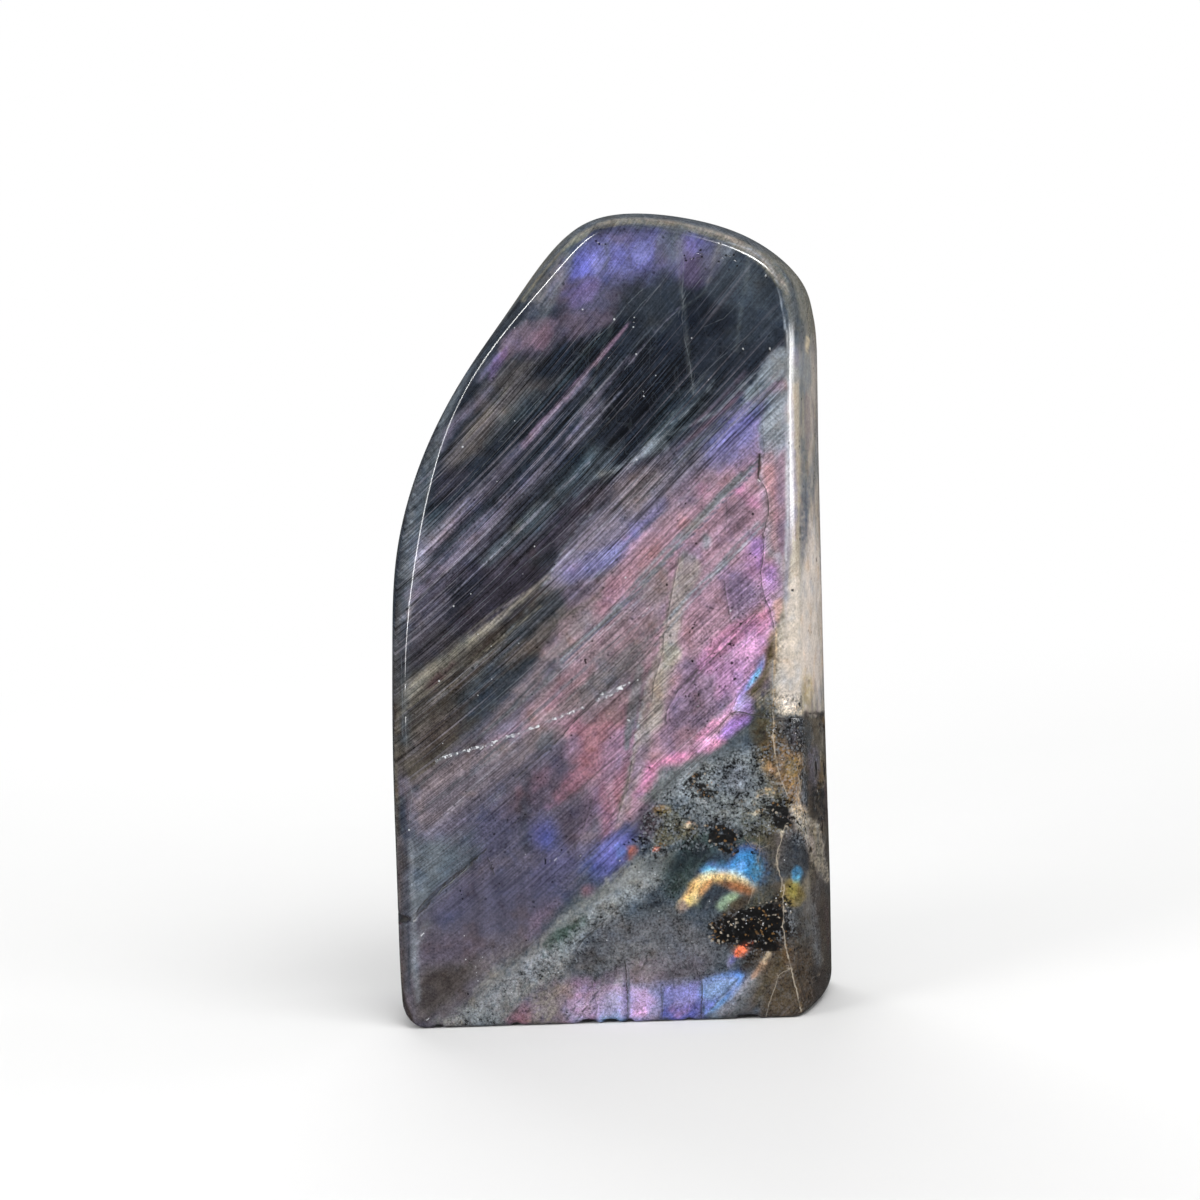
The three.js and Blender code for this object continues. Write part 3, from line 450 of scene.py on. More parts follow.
    ("patch", "azure", 0.95, 1.42, 0.66, 0.2, 0, "22.6,28.4 24.1,30.1 26.4,30.6 29.1,29.1 29.6,27 28.4,25.9 26.7,26.3 24.8,27.8"),
    ("patch", "black", 1.00, 1.01, 0.77, 0.1, 0.25, "19,18.4 20.6,17.2 23.5,18.3 26.4,19.3 28.2,20.4 29.9,21.2 31.9,20.6 32.1,18.6 32.3,14.5 29.9,13.7 27.9,14.6 25.1,15.2 22.8,14.8 21.1,15.9 18.9,16.7"),
    ("patch", "orange", 0.95, 0.73, 0.40, 0.1, 0, "22.4,12.9 23.8,14.4 26.2,15 26,13.9 24.5,12.2 23.1,12"),
    ("patch", "lavender", 0.80, 0.73, 0.33, 0.1, 0, "21.7,11.9 22.4,12.2 22.2,11 21.7,10.3 21.4,10.8"),
    ("patch", "bone", 0.95, 0.73, 0.33, 0.3, 0, "27.3,9.9 28.4,11.7 29.9,13.8 30.1,13.1 29,11.1 27.7,9.1"),
    ("patch", "peach", 0.80, 0.81, 0.44, 0.3, 0.1, "25.9,8.7 27.6,10.4 28.8,11.5 28.6,10 27,8"),
    ("patch", "flash", 0.64, 2.13, 0.93, 0.6, 0, "8.6,5.5 9.5,6.1 12.1,6.3 15.9,7.6 19.6,8.4 23.1,9 24.5,8.3 23,6.6 20,4.4 17,1.6 15.5,0 12.9,-0.1 9.5,0.1 8.5,2.4"),
    ("patch", "lavender", 0.90, 1.22, 0.55, 0.3, 0, "2.5,5.7 6.1,6.2 6.2,3.7 5.5,0.5 2.3,0.4"),
    ("patch", "sky", 0.70, 1.62, 0.66, 0.4, 0, "-2.9,5.1 0.1,6.8 1.9,6.6 1.8,0.3 -3.1,0.2"),
    ("patch", "mauve", 0.85, 2.03, 0.89, 0.4, 0, "1.4,11.1 3.8,12.2 6.1,12.4 9.8,11.7 8.7,6.5 5.8,6.5 2.3,6"),
    ("patch", "violetgrey", 0.75, 2.03, 0.89, 0.4, 0, "9,12.9 13.6,13.9 17.6,13.2 17.4,9.7 13.3,8.1 9.8,6.8 8.8,8.9"),
    ("patch", "fog", 0.80, 1.22, 0.55, 0.5, 0, "16.4,-0 22.9,5.8 25.4,8.6 27.7,9.7 27.2,7.4 22.8,3.7 19.5,-0.1"),
    ("patch", "brown", 0.90, 1.62, 0.66, 0.4, 0, "19.5,-0.1 25.8,6 27.6,7.7 25.7,4.2 22.1,0.2"),
    ("patch", "moss", 0.95, 1.62, 0.66, 0.2, 0.15, "26,4.2 28.8,9.4 31,13.1 32.1,13.3 34.2,8.6 34.7,1.9 28.1,0.8 27.9,2.7"),
    ("patch", "olive", 0.95, 1.62, 0.66, 0.2, 0.15, "34.3,11.5 37.5,13.2 40.3,11.6 40.5,5.5 38.5,2.4 35.3,1.4 34.3,5.7"),
    ("patch", "steel", 0.85, 1.62, 0.89, 0.2, 0.25, "32.5,21.2 35.9,22.5 37.8,20.4 37.8,13.1 34.7,13 32.5,15.6"),
    ("patch", "umber", 0.90, 1.22, 0.44, 0.1, 0.1, "39.5,26.7 40.9,24.6 40.6,5.5 38.7,8.2 38.4,20.1"),
    ("patch", "taupe", 0.90, 0.81, 0.44, 0.1, 0.2, "37.5,31.7 41.2,31.5 41,28.4 39.6,27.3 38.2,29.3"),
    ("stroke", "ash", 0.95, 0.81, 0.22, 0.2, 0, "3.5,149.5 8.2,149.5 15.5,148.6 22.7,146.9 28.9,144.6 34.2,141.7 38.6,137.3 41.3,133.2", "1 1.7 2.2 2.2 2.2 2.5 3 3"),
    ("stroke", "steel", 0.80, 0.97, 0.22, 0.2, 0, "2.7,148.8 -2.1,144.9 -6,140.9 -10.1,136 -13.8,132.2", "1 1.2 1.2 1.2 1.2"),
    ("patch", "ash", 0.90, 1.22, 0.44, 0.1, 0.15, "37.2,137.9 40.3,135.9 42.9,132.2 42.6,124.9 39.7,122.3 37.7,125.2 37.9,129.7"),
    ("stroke", "steel", 0.55, 0.81, 0.22, 0.2, 0, "-13.8,131.8 -20.8,123 -25.5,115.3 -29.2,105.3 -32.3,96.2 -33.9,88.8 -35.5,77.7 -36.3,66.4 -36.8,55.2", "1 1.2 1.5 1.7 1.7 2 2.2 2 1.7"),
    ("patch", "flash", 0.66, 1.33, 0.85, 0.55, 0, "2.1,144.6 5.3,145.1 5.2,142.8 3.1,140.4 1.2,138.6 -1.2,138.7 -1.7,140.6 0.3,143.1"),
    ("patch", "flash", 0.51, 1.33, 0.85, 0.55, 0, "6.5,144.4 9.3,145 9.6,142.6 7.4,141 5.9,141.1 5.8,142.8"),
    ("patch", "flash", 0.56, 1.33, 0.85, 0.55, 0, "9.7,144.7 14.3,145.1 14.8,142.8 13.2,140.8 11.1,140.2 9.5,141.4"),
    ("patch", "grape", 0.75, 0.89, 0.61, 0.6, 0, "-3.4,137 -1.2,138.5 3.1,139.6 3.8,137.5 2.1,136.3 -1.3,135.2 -3.5,134.9"),
    ("patch", "indigo", 0.47, 1.00, 0.57, 0.9, 0, "-3.4,136.6 -1.2,138.3 3.1,139 1.7,137.3 -2.6,135.7"),
    ("stroke", "gunmetal", 0.80, 0.44, 0.41, 0.2, 0, "5,140.7 5.6,142.6 5.4,145", "0.57 0.69 0.46"),
    ("stroke", "dusk", 0.60, 0.44, 0.41, 0.2, 0, "9.7,140.9 9.4,143 9.2,144.7", "0.46 0.46 0.46"),
    ("stroke", "gunmetal", 0.60, 0.44, 0.41, 0.2, 0, "14.3,141.5 14.6,143 15,144.8", "0.69 0.69 0.69"),
    ("patch", "steel", 0.70, 1.11, 0.61, 0.2, 0, "14.8,146.5 19.4,146.3 19.6,142.1 18.2,140.5 15.4,141.5"),
    ("patch", "indigo", 0.64, 1.33, 0.85, 0.5, 0, "19.8,146.3 24.3,144.6 24.6,142.3 21.7,142.8 19.6,142.9"),
    ("patch", "plum", 0.50, 0.89, 0.61, 0.2, 0, "19.6,142.1 23.8,142.5 24.1,139.4 22.7,137.4 19.3,136.3 19.1,140"),
    ("patch", "ash", 0.50, 0.89, 0.81, 0.2, 0.25, "25.1,143.9 27.6,144.1 29.7,143.1 26.6,140.1 24.5,140.6"),
    ("patch", "mist", 0.30, 0.66, 0.61, 0.2, 0.3, "25.1,143.9 27.6,144.1 29.2,143.2 26.7,141.3"),
    ("stroke", "khaki", 0.55, 0.53, 0.41, 0.2, 0, "26.1,143.9 25,141.4 23.7,137.3", "0.8 0.57 0.34"),
    ("stroke", "steel", 0.35, 0.53, 0.41, 0.2, 0, "31.3,143.2 31,141.1 30.8,138.2", "0.8 0.69 0.34"),
    ("patch", "dusk", 0.80, 1.11, 0.81, 0.5, 0, "-2.2,134.4 3.8,136.6 8.8,136.8 5.3,133.2 1.8,131.7 -3.2,131.5"),
    ("patch", "grape", 0.90, 1.11, 0.81, 0.6, 0, "-13.9,129.1 -10,130.2 -6.1,132.1 -0.6,133.5 5.3,133.2 6.9,131.5 5.1,129.9 -0.9,128.5 -4.7,127 -7.3,125.4 -10.3,124.7 -13.6,126.6"),
    ("patch", "mauve", 0.75, 0.89, 0.81, 0.5, 0, "-12.2,128.6 -8.4,129.7 -5.8,130.4 -5.9,128.7 -7.7,126.7 -10.2,126.8 -12.3,127.3"),
    ("patch", "rosedark", 0.55, 0.89, 0.81, 0.5, 0, "-9.3,128.9 -5.8,130.8 -4.6,129.5 -6,127 -8.1,126.3"),
    ("patch", "grape", 0.60, 0.89, 0.81, 0.6, 0, "-3.7,130.3 0.5,130.5 0.4,128.4 -3,128.2"),
    ("stroke", "lilac", 0.90, 0.62, 0.41, 0.5, 0, "-12.2,129.8 -14,127 -16.3,124.6 -18.1,122.6 -19,121.3", "1.3 1.5 1.4 1.1 0.91"),
    ("stroke", "peri", 0.51, 0.66, 0.57, 0.7, 0, "-13,129.5 -14.2,127 -16.5,124.6 -18.3,122.4", "0.57 0.57 0.57 0.57"),
    ("patch", "ash", 0.55, 0.66, 0.41, 0.3, 0, "-8.3,130.5 -6.2,134.6 -3.4,139.5 -0.9,142.7 -1,141 -2.9,137.8 -4.7,134.5 -6.6,131.3"),
    ("patch", "night", 0.80, 1.11, 0.81, 0.4, 0, "19.6,134.6 26,136.4 28.8,133.7 26.9,128.8 21.8,127.4 19.1,124.2 19,129.2"),
    ("patch", "night", 0.80, 1.11, 0.81, 0.5, 0, "8.3,125.5 19.3,127.5 19.9,122.5 17.9,116.7 14.4,112.6 7.3,107.4 0.6,107.7 4.3,114.8"),
    ("patch", "gunmetal", 0.60, 1.33, 1.01, 0.2, 0.2, "28.7,141.2 32.5,141.5 36.1,139.2 37.5,133.3 37.3,128.3 34.5,130.1 31.3,134 29,137.1"),
    ("patch", "gunmetal", 0.50, 1.33, 1.01, 0.2, 0.25, "28.9,136.2 34.7,133.9 36,126.7 30.9,125.3 25.9,126.4 28.6,130.4"),
    ("stroke", "mauve", 0.90, 0.39, 0.30, 0.5, 0, "9,130.7 6.7,128.1 3.2,124.5 -0.8,120.5 -4.9,116.3 -8.9,112.4 -11.6,109.2", "0.17 0.46 0.69 0.8 0.86 0.97 1"),
    ("stroke", "rosedark", 0.50, 0.35, 0.30, 0.5, 0, "8.5,130.1 4.9,126.5 2.3,123.3", "0.29 0.46 0.34"),
    ("stroke", "lilac", 0.85, 0.28, 0.24, 0.4, 0, "18.3,133 13.5,128.6 8.6,123.2 4.6,119.4 0.6,115 -4,108.8", "0.17 0.29 0.46 0.4 0.46 0.51"),
    ("stroke", "ash", 0.45, 0.35, 0.24, 0.5, 0, "17,132.6 10.9,127.5 6.5,123.1 1.9,117.4", "0.23 0.23 0.23 0.23"),
    ("stroke", "teal", 0.36, 0.71, 0.61, 0.5, 0, "5.1,129 1.1,125.9 -2,122.2 -6.5,117.8 -12.6,113.9", "1.1 1.3 1.5 1.7 1.7"),
    ("patch", "teal", 0.39, 1.11, 0.81, 0.5, 0, "15.4,117.6 21.3,117.4 22.8,113.9 18.4,109.9 13.2,107.1 9.9,107.3 12.7,112.7"),
    ("stroke", "tealgrey", 0.70, 0.35, 0.30, 0.5, 0, "23.2,121.1 20.1,118.3 17,114.6 14.3,111.4 10.8,108.2", "0.23 0.4 0.4 0.34 0.23"),
    ("patch", "fog", 0.80, 0.66, 0.81, 0.5, 0, "33.1,122.5 37.2,125 37.2,121.7 35.6,118.8 32.6,117.3 29.6,114.9 28.4,116.2 31.5,119.4"),
    ("stroke", "mist", 0.75, 0.32, 0.30, 0.4, 0, "36.6,120.4 33.1,118.1 30.5,116.1 27.9,114.1", "0.23 0.34 0.29 0.17"),
    ("patch", "peri", 0.64, 1.66, 1.14, 0.6, 0, "23.5,109.7 27.8,112.9 33.3,114.3 32.8,111.4 28.9,108.6 25,106.6 22.5,106.7"),
    ("stroke", "grape", 0.80, 0.53, 0.41, 0.7, 0, "29.9,120.7 26.4,117.5 22.9,114.4 19.3,111.1", "0.57 0.91 0.91 0.57"),
    ("stroke", "rosedark", 0.45, 0.27, 0.20, 0.7, 0, "26.8,117.5 23.3,114.3 19.8,111.5", "0.34 0.34 0.34"),
    ("patch", "fog", 0.85, 0.66, 0.81, 0.5, 0, "33.4,116 37.3,118.3 37,106.1 31.3,106.3 32,111.8"),
    ("patch", "lilacpale", 0.50, 0.89, 0.81, 0.3, 0, "34.6,113.4 37.1,115 37,106.1 32.6,106.3"),
    ("stroke", "khaki", 0.50, 0.44, 0.41, 0.8, 0, "-14.2,119.7 -16.6,116.8 -20.2,113.2 -23.8,109.3", "0.41 0.61 0.51 0.3"),
    ("patch", "night", 0.80, 0.89, 0.61, 0.6, 0, "-11.6,112.8 -5.6,118.6 -1.4,119.9 -6.2,115.2 -11.7,110.2"),
    ("patch", "teal", 0.36, 0.89, 0.61, 0.6, 0, "-14.4,116 -8.9,119.5 -7.5,118.7 -12.2,114 -17,110.1 -19.3,109"),
    ("patch", "plum", 0.60, 0.89, 0.81, 0.5, 0, "-28.7,103.1 -25.6,105.6 -21.8,105.4 -22.7,102 -26.7,99.6 -29,99.3"),
    ("stroke", "lilacpale", 0.55, 0.89, 0.61, 0.5, 0, "-17.4,103.3 -22.2,99 -27,94.3 -31,89.9 -33.2,85.8", "0.51 1 1.7 2.5 2.2"),
    ("stroke", "mauve", 0.35, 0.89, 0.61, 0.6, 0, "-14.3,104.7 -19.8,99.6 -25.4,94.6 -30.2,90.2", "1 1 1 1"),
    ("stroke", "lilac", 0.95, 0.39, 0.30, 0.6, 0, "6.7,119.5 0.1,113.4 -5,107.7 -10.6,102.6 -14.6,99 -19.4,94.3 -24.2,90 -30.2,84.9 -34.2,81.3", "0.2 0.36 0.56 1 1.2 1.4 1.5 1.4 1.1"),
    ("stroke", "lilacpale", 0.40, 0.44, 0.30, 0.6, 0, "3.7,117 -0.2,113.1 -5,107.7 -9.8,103.3", "0.1 0.25 0.36 0.3"),
    ("stroke", "ink", 0.90, 0.39, 0.30, 0.7, 0, "4.8,116.2 -0.3,111.6 -5.1,107.3 -8.2,104.4", "0.3 0.51 0.46 0.25"),
    ("stroke", "ink", 0.75, 0.44, 0.30, 0.7, 0, "-10.8,98.5 -14.8,94.9 -18.8,91.6", "0.3 0.61 0.41"),
    ("stroke", "night", 0.70, 0.44, 0.30, 0.7, 0, "-15.7,106.2 -18.9,103.4 -22.1,100.5", "0.2 0.46 0.3"),
    ("stroke", "night", 0.60, 0.35, 0.30, 0.7, 0, "-23.2,93 -27.3,88.6 -32.1,84.2", "0.3 0.51 0.3"),
    ("patch", "gunmetal", 0.80, 1.11, 0.81, 0.6, 0, "-15.8,91.1 -10.2,96.9 -4.6,102 1.7,107.4 6.2,110.5 5.9,104.5 0.7,101.8 -4.8,98.2 -10.3,93.9"),
    ("patch", "tealgrey", 0.60, 0.66, 0.61, 0.5, 0.2, "-14.8,94.1 -10,98.8 -8.9,98.4 -11.8,95.1 -14.1,93.3"),
    ("patch", "steel", 0.50, 0.89, 0.61, 0.5, 0.2, "-21.2,88.3 -18,91.2 -15,91.9 -16.6,88.9 -19.8,86.8"),
    ("stroke", "steel", 0.60, 0.28, 0.24, 0.6, 0, "6.2,109 0.8,104.8 -4.7,100.5 -10.3,95.1", "0.15 0.25 0.25 0.15"),
    ("stroke", "ash", 0.60, 0.28, 0.24, 0.6, 0, "6,106 1.5,102.9 -2.5,99.6 -7.1,96.8", "0.15 0.25 0.2 0.15"),
    ("patch", "night", 0.60, 1.11, 0.81, 0.5, 0, "-34,78.2 -28.4,82.2 -23.7,85.4 -20,83.7 -24,80.1 -30.3,76.5 -34.2,74.8"),
    ("patch", "slate", 0.60, 1.11, 0.81, 0.6, 0, "-12.9,87.2 -6.8,89.6 -1.2,95.1 3.6,99.4 5.7,100 0.7,94.2 -4.5,89.1 -9.3,85.6"),
    ("patch", "violetgrey", 0.60, 0.89, 0.61, 0.6, 0, "-6.7,90.8 -1.9,95.8 2.8,99.4 5.8,101.5 5.7,99.3 1.1,96.5 -2.8,92.9 -6,89.6"),
    ("patch", "taupe", 0.50, 1.11, 0.81, 0.5, 0, "-2.9,91.7 2.7,96.4 5.6,98.2 5.4,93.3 1.6,90.4 -2.3,89"),
    ("patch", "peri", 0.47, 1.33, 1.14, 0.5, 0, "-6.2,85.8 -3.1,88.3 0.7,88.2 5.2,91 5,87.2 2.1,85.5 -1.8,83.3 -5.6,83.1"),
    ("patch", "perilight", 0.42, 1.16, 0.85, 0.5, 0, "1.5,87.8 3.4,89.6 5.2,90.2 5.1,87.6 2.5,86.6"),
    ("patch", "violet", 0.30, 0.89, 0.81, 0.3, 0, "-6.2,86.2 -3.8,87.6 -1.6,86.7 -4,84.6"),
    ("patch", "slate", 0.75, 0.89, 0.61, 0.6, 0, "-11.1,79.9 -5.6,82.4 0.5,83.2 -1.9,80.7 -7.4,77.5 -11.4,74.2 -16.1,70.6 -19.3,68.4 -19.2,71.1 -15.1,75.1"),
    ("stroke", "vein", 0.70, 0.32, 0.30, 0.7, 0, "-16.5,77.9 -19.6,75.9 -22.4,73.9", "0.25 0.41 0.25"),
    ("stroke", "bone", 0.40, 0.53, 0.41, 0.7, 0, "-29.1,69.6 -33.1,67.1 -36,64.1", "0.51 0.81 0.91"),
    ("stroke", "umber", 0.90, 0.44, 0.41, 0.7, 0, "-13.8,78.1 -19,74.2 -23.8,69.4 -28.2,65.7", "0.46 0.76 0.76 0.61"),
    ("stroke", "umber", 0.75, 0.44, 0.41, 0.7, 0, "-17.6,72.2 -22.7,68.2 -26.4,64.9", "0.36 0.56 0.46"),
    ("stroke", "wine", 0.45, 0.44, 0.61, 0.5, 0, "-26.9,69.1 -28.5,67.7 -29.7,65.8", "0.61 0.61 0.61"),
    ("stroke", "ash", 0.80, 0.32, 0.30, 0.6, 0, "-8.3,82.7 -13.5,77.7 -19.1,71.9 -23.5,67.8 -29.5,63.1", "0.25 0.25 0.25 0.25 0.25"),
    ("patch", "rosedark", 0.45, 1.11, 0.81, 0.5, 0, "-0.5,79.1 4.9,84.6 4.7,81.2 0.9,77.5 -0.6,76.8"),
    ("patch", "rose", 0.40, 1.11, 0.81, 0.5, 0, "-6.2,71.7 0.1,76.8 4.7,79.7 4.3,72.8 -2.6,67.8 -8.1,64.2"),
    ("stroke", "ash", 0.60, 0.53, 0.41, 0.5, 0, "4.6,78.1 -2.4,72.7 -10.4,65", "0.71 0.71 0.71"),
    ("patch", "ink", 0.70, 1.11, 0.81, 0.5, 0, "2.9,118.2 9,119.4 14.2,118.4 12.5,114 7,109.7 2.4,106.9"),
    ("patch", "slate", 0.60, 1.11, 0.81, 0.4, 0.15, "15.3,117.6 22.5,119.5 29.2,119.2 23.7,114.2 18.4,112.2"),
    ("stroke", "fog", 0.75, 0.39, 0.41, 0.5, 0, "2.2,102.8 6,104.5 9.1,105.9 12.2,107.6 14.9,110.1 19.2,114.4 22.4,117.3 24,119.4", "0.2 0.36 0.41 0.46 0.46 0.41 0.3 0.2"),
    ("patch", "fog", 0.70, 0.66, 0.61, 0.4, 0, "10.5,108.5 13.4,109.3 15,109 14.7,106.8 11.7,106.2 9.8,105.3"),
    ("stroke", "grape", 0.75, 0.53, 0.41, 0.8, 0, "29.1,117 23.6,112.7 20.5,110.3 17.4,107.8", "0.61 0.81 0.81 0.51"),
    ("stroke", "rosedark", 0.40, 0.32, 0.30, 0.8, 0, "28.3,116.3 23.6,112.4 20.5,109.9 16.6,107.1", "0.3 0.3 0.3 0.3"),
    ("patch", "taupe", 0.60, 0.89, 0.81, 0.8, 0, "4.3,100.1 8.2,103.3 13.1,103.8 13.3,101.2 10.9,97.5 6.6,94.7 4,95.6"),
    ("patch", "slate", 0.60, 0.89, 0.61, 0.6, 0, "14.7,104.9 20.5,109.5 25.9,112.6 25,109.7 20.4,106.5 16.5,103.3"),
    ("patch", "indigo", 0.72, 1.66, 1.14, 0.55, 0, "25,110.8 28.9,112.9 32.7,114.9 31.8,111.6 28.7,108.8 26.4,107.7 24.6,108.6"),
    ("patch", "flash", 0.51, 1.66, 0.85, 0.55, 0, "25.8,110.4 28.1,111.2 28,109.2 26.4,108.5"),
    ("stroke", "perilight", 0.38, 1.33, 0.71, 0.6, 0, "13.1,96.7 10.8,94.5 8.4,92.7", "0.81 1.1 0.81"),
    ("stroke", "perilight", 0.42, 1.33, 0.71, 0.6, 0, "8,92.4 4.9,89.9 1.7,87", "0.71 1.2 1.3"),
    ("patch", "peri", 0.47, 1.99, 1.14, 0.5, 0, "23.4,107.5 28.7,109.5 32.1,110.1 31.6,106.8 28.5,104.3 24.7,102.9 22.5,103.4"),
    ("patch", "salmon", 0.20, 1.11, 1.01, 0.4, 0, "3.4,83.5 8.9,88.2 13.7,92.1 15.9,91.3 14.1,86.8 9.4,83.3 5.5,79.6 0.8,76.8 1,81.3"),
    ("patch", "pink", 0.60, 0.89, 0.61, 0.3, 0, "19.7,100.9 21.6,101.2 22.3,99.7 21.1,98.2 19.6,98.7"),
    ("patch", "pink", 0.65, 0.89, 0.61, 0.3, 0, "26,100.3 27.6,100.9 28.6,99.4 28.2,97.5 26.7,98"),
    ("patch", "pink", 0.50, 0.89, 0.61, 0.3, 0, "28.9,98.3 30.8,97.8 31.5,95.9 30.3,95.2 29,96"),
    ("patch", "rose", 0.40, 0.89, 0.81, 0.3, 0, "17.4,92 21.3,95.6 25.9,96.1 26,91.6 23.2,87.2 19.4,87 17.3,89.3"),
    ("patch", "grape", 0.35, 1.33, 1.01, 0.4, 0, "24.4,96.6 28.1,97.2 28.8,94.5 26.4,92.4 24.2,93.2"),
    ("patch", "fog", 0.75, 0.66, 0.41, 0.1, 0, "20.3,90.7 21.1,91.6 21.8,90.3 21.7,88.8 20.8,88.3 20.3,89.2"),
    ("patch", "taupe", 0.60, 1.11, 0.81, 0.5, 0, "3,75.9 7,79.6 10.9,82.4 13.7,85 14.3,82.3 12.5,75.5 8.1,71.2 3.3,66.8 0.1,63.9 0.6,73"),
    ("patch", "rosedark", 0.40, 1.11, 0.81, 0.5, 0, "2,71.4 6.8,75.8 10.7,77.9 9,74.2 5,69.8 1.4,66.5"),
    ("patch", "taupe", 0.75, 0.89, 0.81, 0.4, 0, "8,84.1 11.1,86.2 14.1,85.3 13.4,80.1 10.3,77.9 7.8,80.3"),
    ("stroke", "fog", 0.90, 0.35, 0.24, 0.2, 0, "28,102.1 22.9,97.4 18.2,93.1 12.7,88 7.5,82.6 0.8,75.6", "0.71 0.61 0.46 0.36 0.3 0.25"),
    ("stroke", "ash", 0.80, 0.28, 0.20, 0.2, 0, "28,101.3 22.9,96.8 18.2,92.5 12.7,87.5", "0.25 0.2 0.15 0.1"),
    ("stroke", "fog", 0.90, 0.39, 0.30, 0.3, 0, "30.8,92.9 27.4,90 23.9,86 19.9,82.4 15.6,78.1 13.2,75.5", "0.46 0.46 0.41 0.41 0.46 0.41"),
    ("patch", "taupe", 0.70, 0.66, 0.41, 0.3, 0, "16.1,87.5 17.6,87.8 19,87 18.2,84.4 17,84.1 15.7,84.9"),
    ("patch", "grainy", 0.85, 0.33, 0.20, 0.1, 0.15, "12.7,72.1 15.9,69.7 14,67.9 12,66.4 12.2,69.9"),
    ("patch", "bone", 0.40, 0.44, 0.30, 0.2, 0, "10.1,65.7 12.4,67.2 12,65.3 10.7,62.7 9.7,61.2"),
    ("patch", "mauve", 0.90, 1.11, 0.81, 0.5, 0, "23.4,83.4 24.5,84.1 27.5,83.6 30.4,81.6 31,78.2 27.9,76 24.9,75 23.2,78.9"),
    ("patch", "grape", 0.45, 1.11, 0.81, 0.6, 0.2, "24.4,82.2 28.2,82.8 29.6,79.4 26.5,77.2 24.7,78.8"),
    ("patch", "orchid", 0.65, 1.11, 0.81, 0.35, 0, "27.7,88.2 31.2,89.5 31.3,83.5 29,82.4 27.2,85.5"),
    ("patch", "violet", 0.30, 0.89, 0.61, 0.3, 0, "28.5,89.2 31.2,90.3 31.4,86.9 29.1,86.2"),
    ("patch", "rose", 0.80, 1.11, 0.81, 0.5, 0, "17.2,79.1 21.4,81.2 23.9,78.1 23.2,71.3 19.3,69.6 16.4,71.2 16.2,75.4"),
    ("patch", "pink", 0.60, 0.89, 0.61, 0.6, 0, "21.7,72.9 25.6,75 29.4,76.4 32.1,76.6 32.3,74.4 29.3,72.6 24.6,69.7 19.1,65.4 17.7,67"),
    ("patch", "pinkpale", 0.55, 0.66, 0.51, 0.5, 0, "23,67.1 26.9,71.2 30,72.9 29.5,69.2 26.7,65.1 23.5,61.4 21.2,60.4 21.4,64.5"),
    ("patch", "mauve", 0.50, 0.89, 0.61, 0.6, 0, "20,66.9 23.1,69 25.3,68.9 22.9,65.2 19.7,62.3 17.9,63.2"),
    ("patch", "blush", 0.70, 0.66, 0.41, 0.2, 0, "32.2,80 34.3,80.7 34.1,76.6 32.7,74.3 32.1,77"),
    ("patch", "violet", 0.35, 0.66, 0.41, 0.2, 0, "31.3,85.4 33.2,84.9 33.4,82.2 31.6,82"),
    ("patch", "salmon", 0.60, 0.77, 0.41, 0.2, 0, "32.2,103.4 34.1,104 34.5,96.5 34.5,89 33.7,87.1 32.6,88.3 33.2,94.7 32,100.4"),
    ("patch", "fog", 0.80, 0.89, 0.61, 0.4, 0, "31.7,110.1 34.5,114.5 36.7,116.6 36.4,107.7 34.9,107 33.1,107.8"),
    ("patch", "teal", 0.30, 0.89, 0.61, 0.4, 0, "29.1,117 32.9,119 36.2,118.9 35.7,115.5 32.5,111.6 30.3,112.4"),
    ("patch", "lavender", 0.80, 0.49, 0.30, 0.2, 0, "30.6,69.1 31.1,68.3 30,65.3 28,62.8 26.5,61.3 27.3,63.5 29.3,66.1"),
    ("patch", "sky", 0.80, 0.40, 0.24, 0.2, 0, "30.5,67.6 30.5,66.5 28.9,64.2 27.1,62 27.7,63.5 29.3,65.7"),
    ("patch", "cyan", 0.60, 0.33, 0.20, 0.1, 0, "29.5,65.7 28.9,64.6 27.9,63.5 28.4,64.8"),
    ("patch", "umber", 0.50, 0.89, 0.81, 0.7, 0, "-34,55.7 -29.2,59 -25.1,60.3 -25.8,57.7 -29.5,53.8 -33.1,51 -35.4,51.1"),
    ("patch", "grainy", 0.50, 0.55, 0.41, 0.5, 0, "-36.2,63.6 -35.1,65.3 -32.1,67.4 -32.2,66.6 -34.9,63.8"),
    ("patch", "wine", 0.60, 0.89, 1.01, 0.5, 0, "-32.3,64.6 -31.3,66.8 -29.2,68.2 -28.7,67 -30,65.3 -30.9,64.2"),
    ("patch", "gunmetal", 0.45, 0.89, 0.61, 0.5, 0.4, "-25.5,64 -20.7,67 -16.1,68.5 -17.3,66 -21.5,63.3 -25,61.7"),
    ("stroke", "umber", 0.70, 0.53, 0.51, 0.6, 0, "-26.6,64.1 -24.8,66.3 -22.4,68.2", "0.46 0.53 0.31"),
    ("patch", "taupe", 0.70, 0.66, 0.51, 0.6, 0, "-23,56.1 -18.2,60.6 -13.4,65 -10.4,67.7 -9.9,66.6 -13.5,62.7 -17.8,58.5 -21.4,55.5"),
    ("stroke", "gunmetal", 0.75, 0.35, 0.30, 0.4, 0, "-8,69.1 -13.5,63.5 -18.3,58.8 -22.5,55.3", "0.31 0.38 0.38 0.23"),
    ("patch", "lilac", 0.60, 0.66, 0.41, 0.3, 0, "-19.5,57.5 -16.6,57.9 -15.5,57.3 -16.7,56.2 -19.1,55.4"),
    ("patch", "rosedark", 0.50, 1.11, 0.81, 0.6, 0, "-10.1,62.3 -4.2,67.2 -0.1,68.7 -0.8,65.3 -5,61.5 -8.6,59.3 -10.8,59.7"),
